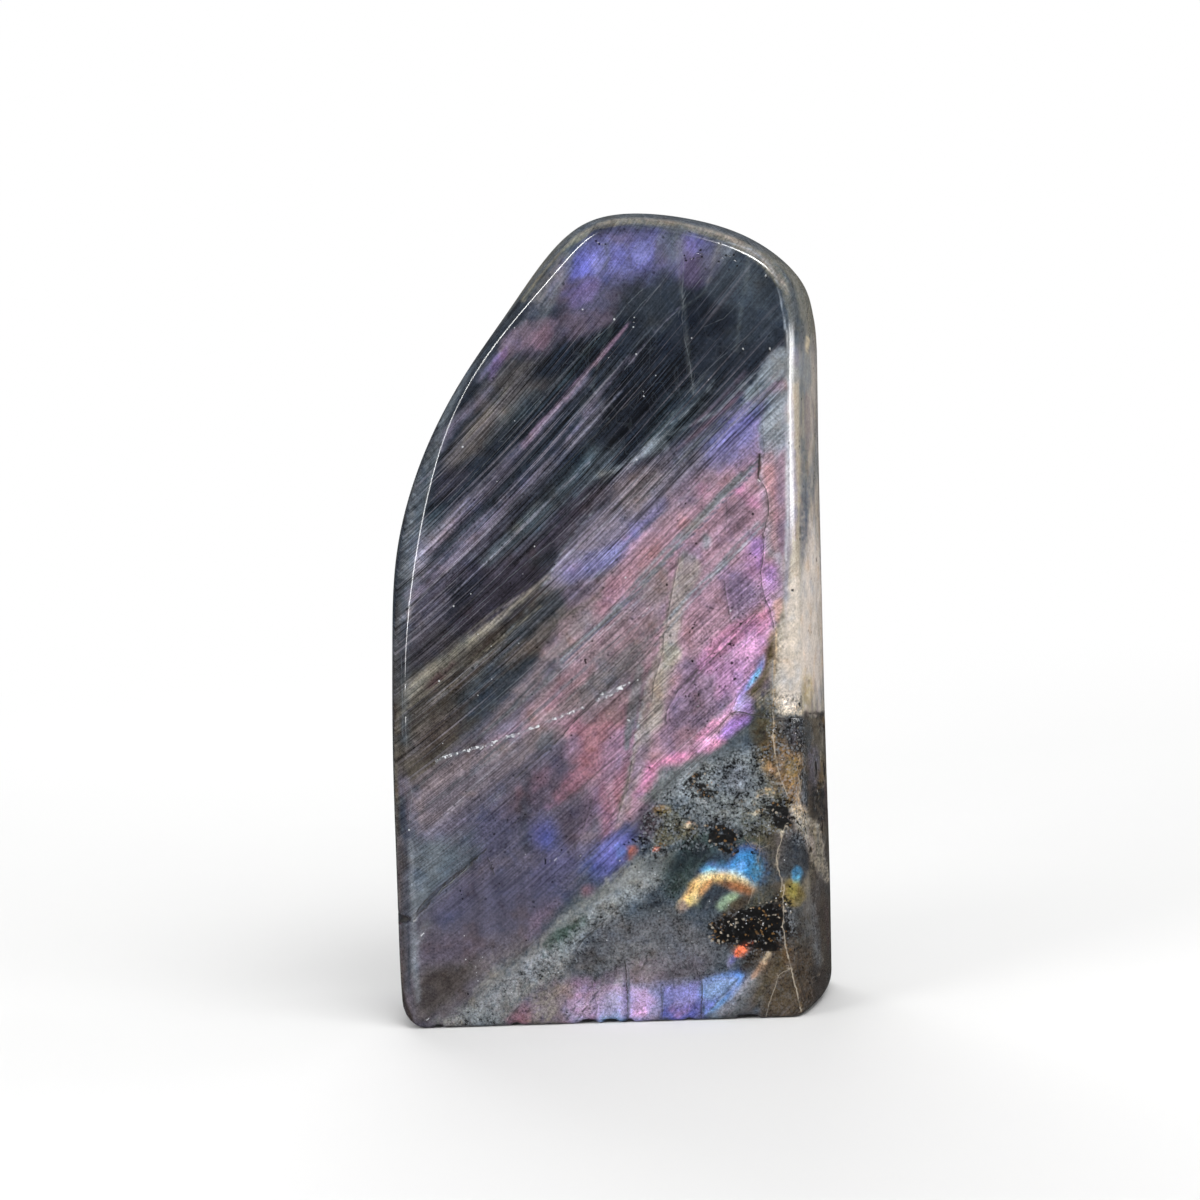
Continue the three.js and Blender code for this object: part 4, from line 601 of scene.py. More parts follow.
    ("patch", "taupe", 0.70, 0.89, 0.61, 0.4, 0, "-10.9,58 -5.6,62.4 0.1,66.2 4.1,68 4,66 -1.6,62.5 -6.3,59.5 -9.2,57.6"),
    ("patch", "violetgrey", 0.60, 1.11, 0.81, 0.6, 0, "-33.5,44.1 -28.1,47.7 -22.2,50.1 -17,52.2 -18.3,49.3 -23.6,46.1 -29,42.5 -33.8,39.5"),
    ("patch", "steel", 0.50, 0.89, 0.61, 0.3, 0, "-12.6,53.7 -10.5,55.7 -8.8,55.6 -9.4,53.6 -11.8,52"),
    ("stroke", "lilacpale", 0.75, 0.53, 0.41, 0.5, 0, "-16.4,52.4 -20.5,49.4 -24.8,45.5 -28.4,42.2 -31.5,39.4 -34.2,36", "0.19 0.34 0.42 0.46 0.42 0.31"),
    ("stroke", "lilacpale", 0.60, 0.53, 0.41, 0.5, 0, "-18.5,45 -23.9,40.6 -26.3,38.3 -29.1,35.5", "0.23 0.34 0.34 0.19"),
    ("patch", "salmon", 0.45, 0.89, 0.81, 0.7, 0, "-3,56.2 0.9,59.5 3.7,60.6 3.4,55.4 -0.4,52.7 -3.6,51.1"),
    ("patch", "mauve", 0.85, 0.89, 0.61, 0.4, 0, "-7.3,53 -5.9,55.2 -4.2,55.4 -4.1,52.8 -5.3,50.6 -7,50.6"),
    ("patch", "rosedark", 0.35, 1.11, 0.81, 0.6, 0, "-16.7,45.8 -13.2,48 -10.2,49.6 -11,46.2 -14,44 -16.3,43.5"),
    ("patch", "slate", 0.55, 1.11, 0.61, 0.3, 0, "-15.2,46.9 -13.5,47.4 -14.4,40.5 -14.9,37.1 -14.3,33.3 -15.7,33 -16.3,37.1 -16,41.7"),
    ("patch", "royal", 0.42, 1.99, 1.14, 0.5, 0, "-13.5,37.3 -11.4,38.4 -10,37.2 -10.2,34.9 -11.6,34 -13.3,35.3"),
    ("patch", "ash", 0.50, 1.33, 0.81, 0.5, 0, "-36.7,37.8 -34,35.7 -30.5,35.3 -31.3,31.8 -34.4,28.4 -36.3,26.2 -36.8,31.7"),
    ("patch", "lilac", 0.40, 1.33, 0.81, 0.5, 0, "-35,37.8 -30.3,39.9 -26.2,40.9 -27.5,38.1 -31.1,35.9 -34,36"),
    ("stroke", "rose", 0.70, 0.71, 0.61, 0.6, 0, "3.2,50.3 1.3,46.9 0.9,44 1.6,40.5 1.8,37.3", "0.99 1.1 0.99 0.84 0.76"),
    ("patch", "wine", 0.30, 0.89, 0.61, 0.6, 0, "-1.9,44.1 0.1,45.8 -0.6,42.9 -2.4,41.2"),
    ("patch", "perilight", 0.47, 1.33, 0.85, 0.8, 0, "-2.5,32.6 -0.2,34.2 2.4,35.6 2.3,33.3 -0.9,31 -2.6,30.5"),
    ("patch", "rosedark", 0.50, 0.77, 0.61, 0.3, 0, "-5.2,26 -4,26.5 -2.9,25.9 -3.5,24.5 -5,24.2"),
    ("patch", "mauve", 0.60, 0.89, 0.61, 0.6, 0, "0.3,55 5.5,56.5 5.9,53.6 4.8,49.6 2.1,46.8 -0.8,45.2"),
    ("patch", "lilacpale", 0.40, 0.89, 0.61, 0.3, 0, "7.7,55.3 9.4,55.8 8,51.2 6.1,46.7 4.2,43.3 5,46.7"),
    ("patch", "mauve", 0.70, 0.89, 0.61, 0.4, 0, "6,50.7 8.1,53.5 8.6,50.6 6.7,46.7 4.8,44.4 3.5,41 2.2,38.2 3.6,43.3"),
    ("patch", "orchid", 0.65, 0.89, 0.81, 0.5, 0, "18.5,68 29.8,67.6 26.8,64.2 25,61.2 22.1,60.4 21.7,64.5 19,65.7"),
    ("patch", "grape", 0.45, 1.33, 1.01, 0.4, 0.2, "13,59.6 17.6,61.2 20.9,59.3 19.6,56 15.5,53.2 12.7,53.3"),
    ("patch", "salmon", 0.40, 1.11, 0.81, 0.4, 0, "12.8,54.8 15.6,55.8 17.9,54.6 15.5,52.1 13.2,51.3"),
    ("patch", "pinkpale", 0.85, 0.66, 0.51, 0.4, 0, "16.6,52 20.2,55.6 22.5,57.8 24.4,60.3 25.6,63.2 27.4,65.1 28.9,66.4 28.5,64.5 26.4,61.1 24.8,58.3 22.5,56.1 19.5,53.9 17.1,51.5"),
    ("patch", "pinkpale", 0.90, 0.55, 0.41, 0.3, 0, "17.7,51.7 19.5,53.4 21.8,54.1 22.9,53.5 21.1,51.9 18.8,51.1 17.7,50.6"),
    ("patch", "violet", 0.90, 0.66, 0.41, 0.3, 0, "22.4,55.3 24.2,56.9 27.3,57.1 27.3,55.7 25.2,55.2 23.2,53.5 22.4,53.8"),
    ("patch", "lavender", 0.70, 0.55, 0.41, 0.3, 0, "24,58.4 25.5,60.3 27.2,61.1 28.3,60.2 27.9,58.5 25.9,57.9"),
    ("patch", "perilight", 0.64, 0.73, 0.43, 0.4, 0, "27.3,63.7 28.8,65.6 30.3,67.2 30.3,65.8 28.5,63.6 26.7,61.4 25.5,59.7 24.9,60.3"),
    ("patch", "cyan", 0.60, 0.40, 0.24, 0.2, 0, "28.5,64.5 30,66.4 30,65.3 28.2,63.1 27,62"),
    ("patch", "wine", 0.40, 0.44, 0.41, 0.1, 0, "8.5,48.6 9.3,48.3 9.1,47.6 8.4,47.8"),
    ("patch", "gunmetal", 0.70, 0.89, 0.81, 0.1, 0.3, "16.4,48 20.5,50.5 24,53.5 27.5,54.8 28.5,51.6 25,49.4 21,48.4"),
    ("patch", "fog", 0.45, 1.11, 0.81, 0.1, 0.35, "10.7,47.1 14.1,47.5 16.3,46.3 15.1,44.6 17.3,42.2 19.4,39.9 17.2,39.9 13.9,42.4 10.5,43.6"),
    ("patch", "steel", 0.70, 1.33, 0.81, 0.1, 0.25, "22.1,48.4 25.5,49.4 28.2,46.4 28.6,43 25.8,41.9 22.4,43.2"),
    ("patch", "violetgrey", 0.50, 1.11, 0.81, 0.1, 0.25, "23.5,47.8 25.8,48 26.2,45.4 24.7,44 23.4,45.2"),
    ("patch", "gunmetal", 0.65, 1.11, 0.81, 0.1, 0.3, "9.9,42.8 15,42.3 18.8,39.3 23.2,36.6 27.3,37.3 32.4,38.8 32.3,37.1 27.2,36.1 23.2,35.1 18.7,36.4 14.3,38.9 10.3,39.6"),
    ("patch", "umber", 0.50, 0.66, 0.81, 0.1, 0.35, "32.3,55.5 34.3,55.1 34.2,52.5 32.4,51.4 32,49.2 33.3,46.3 32.2,46.9 30.6,48.7 31.4,52.6"),
    ("patch", "ochre", 0.60, 0.66, 0.81, 0.1, 0.3, "33.5,49.1 36.3,49.6 36.4,46.1 35.1,42.7 33.8,44.5 33.4,46.8"),
    ("patch", "moss", 0.80, 0.89, 0.61, 0.1, 0.25, "31.1,46.3 32.6,43.4 34,41.6 34.7,39.9 32.5,40 30.9,42.3 29.9,45.2"),
    ("patch", "beige", 0.60, 1.33, 0.81, 0, 0.1, "34.8,67.4 41.6,67.1 41.1,62.5 36.9,62.1 34.7,63.9"),
    ("patch", "khaki", 0.50, 1.11, 0.81, 0, 0.2, "34.8,59.9 38.5,61.5 39.5,58.6 37.5,57.3 35,57.4"),
    ("patch", "vein", 0.60, 0.66, 0.61, 0, 0.2, "31.5,67.5 32.6,67.4 32.6,61.7 32.1,56.9 30.7,57 31.5,61.8"),
    ("patch", "olive", 0.80, 0.66, 0.61, 0.1, 0.3, "32.1,56.5 35.5,56.3 35.1,54.8 33.1,54 32,54.9"),
    ("patch", "ash", 0.60, 0.89, 0.81, 0.1, 0.15, "39.1,55.2 41.6,55.7 41.6,48.8 39.1,48.9 38.1,52.4"),
    ("patch", "lilacpale", 0.70, 0.66, 0.41, 0.1, 0, "40.2,48.9 41.9,48.8 41.6,40.5 40.8,42 40.4,45.4"),
    ("patch", "slate", 0.85, 0.66, 0.61, 0.1, 0.15, "37,45.3 38.9,45.2 38.8,41.5 37.9,40.1 36.8,40.7 36.3,42.7"),
    ("patch", "taupe", 0.60, 0.66, 0.61, 0, 0.25, "37.6,35.2 39.9,33.9 40.3,31 38.8,29.9 37.8,31.7"),
    ("patch", "ink", 0.60, 0.89, 0.41, 0.1, 0, "34.2,33.3 35.6,33.8 36.6,31.2 35.4,28.9 33.7,29.5"),
    ("patch", "khaki", 0.60, 0.89, 0.61, 0.3, 0.2, "36.7,27.1 38.5,28.5 39.8,25.9 39.4,23 36.8,23.1"),
    ("patch", "green", 0.60, 0.89, 0.81, 0.1, 0, "24.3,35.1 27.1,33.8 29.8,31.4 30.3,29.4 29.2,29.4 27,31.2 24.2,32.8"),
    ("patch", "umber", 0.40, 0.89, 0.61, 0.3, 0, "7.5,39.7 10.3,40.2 9.6,37.3 7.8,35.7 6.7,36.9"),
    ("patch", "ochre", 0.60, 0.66, 0.61, 0.3, 0, "9.5,40.5 12.1,41 12.3,39.8 10.8,39 9.7,39.3"),
    ("patch", "moss", 0.85, 0.66, 0.61, 0.1, 0.35, "10.2,37.9 12.6,40.1 14.8,38.3 17,37.1 16.3,34.2 12.3,34.3 9.4,33 8.3,33.9"),
    ("patch", "perilight", 0.59, 1.33, 0.85, 0.7, 0, "0.3,33.9 2.7,35.3 3.7,34.1 2.8,31.5 0.7,30.1 -0.4,31.3"),
    ("patch", "sky", 0.35, 0.89, 0.61, 0.5, 0, "1.2,33.6 2.9,34.4 2.8,32.4 1.3,31.3"),
    ("patch", "orange", 0.55, 0.55, 0.61, 0.2, 0.2, "3.4,33.2 5.2,34 5.5,32.3 4.2,30.9 3.5,31.5"),
    ("patch", "gunmetal", 0.50, 0.89, 0.81, 0.2, 0.35, "7,31.3 9.9,32.4 11,30 9.2,28.1 7.7,28.4 5.8,29.9"),
    ("patch", "ink", 0.60, 1.11, 0.81, 0.3, 0, "11.9,30.6 15.7,33.6 18.6,34.7 18.5,32.4 15.5,30.2 13.2,27.9 11.2,28"),
    ("patch", "cyan", 0.75, 0.66, 0.61, 0.2, 0, "22.6,28.5 23.5,30.2 24.6,30.1 25.4,28.7 24.5,27.5 23.1,27.6"),
    ("patch", "cyan", 0.70, 0.89, 0.61, 0.2, 0, "17.4,27.8 18.1,29.2 19.5,29.7 20.9,28.8 20.5,27.7 18.3,27.5"),
    ("patch", "royal", 0.34, 1.33, 0.85, 0.4, 0, "24.1,31.3 25.9,32.4 27.6,31.5 26.3,29.8 24.9,29.6"),
    ("patch", "dusk", 0.60, 1.33, 1.01, 0.5, 0, "-31.2,24.5 -27,27.3 -24.6,28.1 -25.4,24.3 -28.5,20.9 -32,20.1 -34,21.1"),
    ("patch", "grape", 0.50, 1.33, 1.01, 0.5, 0, "-36.3,16.2 -31.5,17.8 -25.2,17.6 -23.6,15.2 -26.6,12.9 -31.8,12.5 -36.1,13.2"),
    ("patch", "dusk", 0.55, 1.33, 1.01, 0.5, 0, "-21,30.3 -15.2,31.8 -14.3,27.7 -15.6,24 -19.8,21.5 -23.2,22.8 -23.5,26.9"),
    ("patch", "ash", 0.45, 1.33, 0.81, 0.5, 0, "-36.6,32.6 -33.3,33 -32,30.1 -34.5,26.7 -37,23.8"),
    ("patch", "fog", 0.50, 0.89, 0.61, 0.3, 0, "-37.3,29.1 -36.1,28.5 -34.5,27.5 -33.7,25.5 -35.9,22.9 -37.4,22.1"),
    ("stroke", "lilacpale", 0.50, 0.71, 0.51, 0.3, 0, "-35.2,19.7 -36.8,16.2 -37.5,12.7", "0.38 0.61 0.46"),
    ("patch", "dusk", 0.60, 1.33, 1.01, 0.4, 0, "-14.2,29.4 -9.5,30.4 -5.9,28.6 -7.3,24.5 -11,23.5 -14.1,24.8"),
    ("patch", "rosedark", 0.35, 0.89, 0.61, 0.4, 0, "-5.2,26.2 -3.4,26.7 -2.9,25.6 -4.4,24.4 -5.5,24.8"),
    ("patch", "umber", 0.50, 1.33, 1.01, 0.4, 0, "-36.1,9.7 -31.3,11.3 -27.2,12.1 -28,8.9 -31.7,5.5 -35.8,3.8 -37.5,5.6"),
    ("patch", "taupe", 0.40, 1.11, 1.01, 0.3, 0.2, "-24.3,13.7 -20.1,15.1 -16.1,16.1 -16.8,13.8 -20.3,12.7 -23.2,11.7 -25,10.5"),
    ("patch", "fog", 0.45, 0.89, 0.81, 0.2, 0.45, "-30.1,2.5 -25.3,5.8 -19.2,10.3 -15.1,12.6 -14,10.8 -18.8,7.4 -23.6,4.3 -27.3,1.5"),
    ("patch", "mist", 0.30, 0.66, 0.81, 0.2, 0.45, "-10.4,19.7 -7.1,22.2 -3,24.1 -1.9,23.2 -5.1,21.6 -8.4,19.6"),
    ("patch", "ash", 0.70, 1.11, 0.61, 0.2, 0.15, "-29.6,0.7 -25.4,2.9 -20.7,5.1 -18.4,5 -20.2,2.7 -21.6,-0.1 -28.5,-0.1"),
    ("patch", "teal", 0.24, 0.66, 0.61, 0.2, 0, "-10.3,16.8 -7.9,18.7 -6.1,19.3 -7.3,17.6 -9.7,15.6"),
    ("patch", "brown", 0.60, 0.89, 0.61, 0.2, 0, "-7.7,11.1 -5.2,14.6 -2.9,14.5 -3.6,11.6 -5.7,10.2"),
    ("patch", "rosedark", 0.55, 0.89, 0.81, 0.2, 0.25, "-20.1,1 -17.6,4.1 -15.8,4.4 -16,1.7 -17.8,0"),
    ("patch", "vein", 0.60, 0.89, 0.81, 0.2, 0.25, "-14.6,4.9 -11.6,7.2 -9,7.7 -9.8,4.2 -11.9,1.9 -14,1.4"),
    ("patch", "rosedark", 0.35, 0.66, 0.61, 0.5, 0, "-10.1,3 -7.4,5.3 -6.9,3.5 -9.1,0.3 -10.6,0.1"),
    ("patch", "lavender", 0.60, 0.66, 0.61, 0.6, 0, "-6.7,7 -3.3,7.5 -0.9,8 -2.3,4.5 -4.1,1.7 -7.1,0.6 -8.5,0.6 -6,4.1"),
    ("patch", "violetgrey", 0.60, 0.66, 0.61, 0.6, 0, "-2.7,8.1 1.1,10.6 0.9,6.8 -1.7,5.1"),
    ("patch", "lavender", 0.50, 0.66, 0.41, 0.5, 0, "-1.1,4.5 0.9,5.3 0.8,3 -1.2,2.1"),
    ("patch", "slate", 0.60, 1.33, 1.01, 0.3, 0, "3.6,20.4 9,24.6 11.2,23 11.6,20.4 8.1,18.2 4,15.4 1.1,16.7"),
    ("patch", "steel", 0.50, 1.33, 1.01, 0.3, 0.3, "12.1,18.9 16.2,20 18.3,16.7 17.6,13.2 13.6,13.9 11.4,15.8"),
    ("patch", "brown", 0.40, 1.33, 1.01, 0.4, 0, "-0.6,15.6 4.6,16.6 7.9,14.7 7,12.4 2.6,12"),
    ("patch", "fog", 0.40, 0.66, 0.81, 0.2, 0.45, "-1.8,25.5 2.9,28.6 5.8,29.6 8.7,29.8 9.2,28 5.6,26.1 0.9,24 -2,22"),
    ("patch", "cyan", 0.85, 0.62, 0.51, 0.2, 0, "22.9,28.7 23.8,29.7 25.2,29.8 25.7,28.9 24.8,28.1 23.4,28"),
    ("patch", "sky", 0.60, 0.89, 0.61, 0.2, 0, "25.2,29.8 27.2,30.3 28.3,28.8 26.8,28 25.4,28.6"),
    ("patch", "azure", 0.60, 1.11, 0.61, 0.2, 0, "17.1,28.1 18.4,29.8 20.4,30.5 22.7,30.5 22.9,29 20.6,28.2 18.3,27.7"),
    ("patch", "cyan", 0.75, 0.66, 0.51, 0.2, 0, "17.7,28.3 18.6,29.5 20.1,29.7 20.6,28.8 19.4,28 18.3,27.7"),
    ("stroke", "gold", 1.00, 0.71, 0.61, 0.3, 0, "12.6,21.5 13.9,23.4 15.6,25.4 17.4,26.7 19.4,27.5", "0.84 1.3 1.7 1.4 0.84"),
    ("stroke", "peach", 0.60, 0.71, 0.61, 0.3, 0, "12.8,21.2 14.9,23.2 17,24.9 18.8,26.1", "0.38 0.61 0.76 0.53"),
    ("stroke", "gold", 0.75, 0.53, 0.51, 0.3, 0, "19.1,27.6 21.1,27.6 23.1,27.5 24.8,26.9 26.4,25.9", "0.61 0.53 0.61 0.61 0.38"),
    ("stroke", "orange", 0.55, 0.71, 0.61, 0.3, 0, "18.2,26.1 19.3,26.4 20.5,26.6", "0.61 0.53 0.38"),
    ("stroke", "honey", 0.90, 0.89, 0.61, 0.3, 0, "21.1,26.6 22.7,26 24.7,25 26.1,24.4", "0.53 0.92 0.99 0.53"),
    ("stroke", "peach", 0.35, 0.71, 0.61, 0.3, 0, "23,26.3 24.7,25.8 26.1,25", "0.38 0.38 0.38"),
    ("patch", "sage", 0.75, 0.89, 0.61, 0.2, 0.15, "20,21.9 21.8,23.5 23.5,24.2 24.5,23.5 22.8,21.9 20.8,20.8"),
    ("patch", "sage", 0.40, 0.89, 0.61, 0.2, 0.15, "15.2,22.3 17,24 18,22.8 16.3,21.4"),
    ("patch", "slate", 0.75, 1.11, 0.61, 0.2, 0.15, "16.3,22.3 18.7,25.4 21.9,25.4 21.8,23.8 20,22.2 17.9,20.8"),
    ("patch", "olive", 0.90, 0.66, 0.41, 0.1, 0.05, "20.1,18.7 22.5,20.3 24.8,20.5 24.1,18.5 21.8,17.7"),
    ("patch", "black", 0.90, 0.55, 0.61, 0.1, 0.3, "30,22.4 31.4,23.2 32.2,21.5 31.9,20.3 30.2,20.4"),
    ("patch", "umber", 0.80, 0.66, 0.41, 0.1, 0, "21.1,15.4 22.8,15.7 22.5,13.7 21.3,13.7"),
    ("patch", "sky", 0.80, 0.66, 0.61, 0.45, 0, "15.6,7.2 19.6,8.1 23.9,8.8 23.9,7.8 21.8,6.1 18.9,4.4 16.8,3.6 15.4,4.5"),
    ("patch", "lavender", 0.55, 0.89, 0.61, 0.4, 0, "9.1,3 13.1,4 15.9,3.1 15.5,0.2 9.5,0.2"),
    ("patch", "royal", 0.34, 1.33, 0.85, 0.6, 0, "9.8,5.8 13.2,6.1 14.9,5.4 13.1,4 10.3,4.1"),
    ("patch", "pinkpale", 0.60, 0.77, 0.61, 0.2, 0, "2.8,3.5 5.1,3.7 5.3,1.4 2.9,1"),
    ("patch", "perilight", 0.42, 1.00, 0.57, 0.5, 0, "2.7,5.8 5.8,6.2 5.7,4.9 2.8,4.5"),
    ("patch", "lavender", 0.80, 0.66, 0.51, 0.3, 0, "-0,5 1.1,9.7 1.9,8.8 1.9,5 1.1,3.5"),
    ("patch", "lilacpale", 0.50, 0.89, 0.61, 0.4, 0, "2.5,8.5 6,10.7 8.9,10.6 7.5,7.1 2.9,6.4"),
    ("patch", "mist", 0.50, 0.55, 0.41, 0.6, 0, "22.3,4.6 24.7,6.9 26.8,8.8 26.4,7.4 23.4,4.3"),
    ("patch", "umber", 0.50, 0.89, 0.61, 0.2, 0.2, "28.7,5.9 30.8,8.7 32.5,8.1 33.1,4 30.7,1.7 28.8,1.8"),
    ("patch", "honey", 0.60, 0.77, 0.61, 0.2, 0.2, "31.2,12.5 32.5,12.7 32.8,10.4 31.7,9.3 31,10.7"),
    ("patch", "umber", 0.70, 0.89, 0.61, 0.2, 0.15, "35.3,7.7 37.8,7.3 38.3,3.8 36.2,2.4 34.6,3.9"),
    ("patch", "khaki", 0.50, 0.89, 0.81, 0.2, 0.2, "36.1,25.7 38.9,26.1 38.7,20.1 37,19.6 36.2,22.2"),
    ("patch", "ochre", 0.80, 0.89, 0.81, 0.1, 0.4, "31.8,24.9 33.8,26.3 35.5,24.8 35.1,22.2 33.3,21.1 31.7,22.3"),
    ("patch", "cyan", 0.65, 0.62, 0.41, 0.2, 0, "34.3,27.7 34.9,28.6 35.9,28.3 35.7,26.3 34.7,25.6 34.2,26.3"),
    ("patch", "azure", 0.40, 0.66, 0.41, 0.2, 0, "34.2,26.3 35.3,26.6 35.5,25.1 34.5,25"),
    ("patch", "black", 0.70, 0.66, 0.61, 0.1, 0.35, "33.4,16.5 34.9,17 35.9,16.1 35.3,14.7 33.6,15"),
    ("stroke", "khaki", 0.60, 0.35, 0.20, 0.2, 0, "3.2,150.5 10.1,150.5 17.3,149.4 24.5,147.4 31.6,144.5 36.9,140.6 40.3,135.9", "1.2 1.7 1.7 1.7 1.7 1.7 1.5"),
    ("stroke", "khaki", 0.70, 0.35, 0.20, 0.1, 0, "1.6,149.3 -3,145.1 -6.9,140.6 -10,137.1 -10.7,135.7", "1.2 1.5 1.5 1 0.75"),
    ("patch", "steel", 0.70, 0.66, 0.41, 0.2, 0, "35.1,140.4 37.8,139.1 40.3,135 41,129.6 39.8,125.1 38,125.2 37.4,131.5"),
    ("stroke", "ash", 0.60, 0.39, 0.20, 0.2, 0, "-27,110.8 -30.1,101.6 -32.4,94.3 -33.7,88.8 -34.7,77.6", "0.5 0.75 1 1.2 1"),
    ("stroke", "umber", 0.85, 0.25, 0.12, 0.1, 0, "-36.5,81.4 -37.6,70.2 -38.8,55.2 -39.1,43.9 -39.1,34.4 -39.4,21.1 -39.9,5.7 -38.6,1.5", "0.75 0.75 0.85 0.9 0.85 0.75 0.75 0.75"),
    ("stroke", "ink", 0.70, 0.25, 0.12, 0.1, 0, "-10.9,135.3 -16.7,129 -22.3,122 -26.8,114.8 -30.2,107.2 -32.9,99 -35.2,88.8 -36.5,81.4", "0.75 0.75 0.75 0.75 0.85 0.9 0.85 0.75"),
    ("stroke", "fog", 0.55, 0.44, 0.20, 0.2, 0, "-36.8,36.2 -36.9,30.5 -37.2,22.9 -37.5,13.3 -37.2,5.6", "0.75 1 1.2 1.2 1.2"),
    ("stroke", "slate", 0.75, 0.39, 0.20, 0.2, 0, "-38,43.9 -38.5,32.5 -38.9,19.1 -39.2,7.6", "1.2 1.5 1.5 1.2"),
    ("patch", "petrol", 0.55, 0.74, 0.55, 0.1, 0.5, "11.2,32.2 15.4,35.3 19.5,35 18.6,30.8 15.5,28.3 13.1,25.3 10.1,24.7 9.1,28.1"),
    ("patch", "slate", 0.50, 0.92, 0.55, 0.1, 0.4, "5.5,22.4 10.8,23.9 14.7,20.2 20.2,18.7 19.4,16.2 14.4,13.9 6.8,12.3 2.9,15.8"),
    ("patch", "ash", 0.50, 0.74, 0.55, 0.1, 0.6, "14.7,20.2 18.8,20.6 20.6,18.1 18.5,13.4 16.1,10.6 14,13.5 13.5,17.4"),
    ("patch", "night", 0.60, 0.74, 0.55, 0.1, 0.5, "17.3,34.3 20.1,31.2 22.7,31.1 23,29.9 19.2,29.3 17.1,30.1 15.2,29.4 16.1,32.4"),
    ("patch", "gunmetal", 0.50, 0.74, 0.37, 0.1, 0.3, "18.2,30.8 20.1,31.9 21.9,30.3 21.1,28.9 18.9,29.3"),
    ("patch", "royal", 0.45, 0.74, 0.37, 0.1, 0, "16.6,28.6 19.3,30.2 21.5,28.7 23.2,30.7 23.7,32.5 26.1,33.6 29.4,32 30,28.5 28.7,25.6 25.8,26.4 22.1,27.3 18.4,27.4"),
    ("patch", "azure", 0.78, 0.94, 0.37, 0.1, 0, "23.2,30.3 24.2,31.8 26.1,32.3 27.9,31.5 29.1,29.7 28.8,27.5 27.6,25.6 26.2,26 25.1,27.2 23.3,28 22.2,28.8"),
    ("patch", "sky", 0.69, 0.63, 0.28, 0.1, 0, "23.5,29.5 25.1,30.4 25.7,29.1 24.9,27.6 23.3,28.2"),
    ("patch", "azure", 0.83, 0.63, 0.28, 0.1, 0, "26.5,29.2 28,29.7 28.7,27.8 27.6,25.8 26.6,27"),
    ("patch", "ice", 0.78, 0.63, 0.28, 0.1, 0, "22.2,28.4 24,28.4 25.5,27 26.5,25.6 27.5,26 26.7,24.7 24.7,26.1 22.5,27.5"),
    ("patch", "cyan", 0.78, 0.63, 0.28, 0.1, 0, "17.3,28 18.3,29.3 19.6,28.9 20.1,27.8 18.4,27.2"),
    ("patch", "amber", 0.64, 0.77, 0.28, 0.1, 0, "12.4,21.6 13.8,23.8 15,25.3 16,27 17.1,27.7 19.2,28 21.4,27.9 23.3,27.8 24.7,27 26.2,25.8 27.4,24.5 26,23.6 24.2,24.2 22,25 20.2,25.9 18.9,25.7 17.7,24.2 16.3,22.8 14.8,21.5 13.1,20.8"),
    ("patch", "gold", 0.87, 0.50, 0.22, 0.1, 0, "13.7,22.5 15.1,24.9 16.1,26.6 17.5,27.5 18.8,26.9 17.4,25.2 16.4,23.5 14.8,22.1"),
    ("patch", "butter", 0.74, 0.46, 0.18, 0.1, 0, "16.9,27.5 18.1,28.2 19.2,28 19.1,27 17.6,26.5"),
    ("patch", "gold", 0.83, 0.46, 0.18, 0.1, 0, "19.2,27.4 21.8,27.7 24,27.1 23.6,26.3 21,26.6 19.3,26.5"),
    ("patch", "butter", 0.69, 0.46, 0.18, 0.1, 0, "23.1,27.8 24.9,27.2 26.3,25.6 25,25.9 23.6,26.7"),
    ("patch", "amber", 0.72, 0.57, 0.22, 0.1, 0, "16.3,25.1 18.2,26.7 18.9,25.9 17.7,24.4 16.6,23.5"),
    ("patch", "rust", 0.60, 0.68, 0.28, 0.1, 0, "21,26 23.6,25.9 25.7,24.9 26.4,23.8 24.6,24.2 22,24.9"),
    ("patch", "lime", 0.28, 0.63, 0.28, 0.1, 0, "14.1,23.2 15.6,23.9 16.5,22.8 14.8,21.7"),
    ("patch", "cream", 0.46, 0.63, 0.28, 0.1, 0, "14.9,23.6 16.2,24.3 16.9,23.1 15.4,22.2"),
    ("patch", "taupe", 0.60, 0.46, 0.28, 0.1, 0, "12.2,22.3 13.4,23.3 14.4,22.1 13.8,20.8 12.3,20.8"),
    ("patch", "slate", 0.90, 0.46, 0.28, 0.1, 0, "18.9,25 20.9,25.3 22.4,24.3 21.2,22.4 19.6,21 17.4,21.4 16.7,22.6 17.9,23.9"),
    ("patch", "ash", 0.70, 0.18, 0.15, 0.1, 0, "17.6,21.8 18.2,22.9 18.6,22.9 18.1,21.4 17.6,21"),
    ("patch", "seafoam", 0.83, 0.68, 0.28, 0.1, 0, "19.8,21.9 20.8,23.4 22.2,24.1 23.8,23.8 23.4,22.5 21.8,21.1 20.2,20.9"),
    ("patch", "sage", 0.55, 0.46, 0.18, 0.1, 0, "22,23.7 23.6,23.8 23.6,22.9 22.1,22.6"),
    ("patch", "loam", 0.85, 0.55, 0.37, 0.1, 0, "20.3,19.8 22.6,22.4 24.9,23.6 26,22.8 24.8,20.4 23.2,17.8 20.6,17.5"),
    ("patch", "moss", 0.70, 0.65, 0.55, 0.1, 0.5, "25,21.2 27,24.5 29.9,25.5 31.6,23.2 29.3,21.4 26.6,18.8 24.3,18.5"),
    ("patch", "umber", 0.60, 0.46, 0.37, 0.1, 0.5, "27,20.3 29.7,22.1 31.1,20.6 31,17.7 28,18.4"),
    ("patch", "umber", 0.75, 0.55, 0.46, 0.1, 0.3, "18.8,19.5 24,20.4 31.5,21.9 33.5,16.7 32.2,12.6 28.1,11.6 23.4,14 18.9,14.9"),
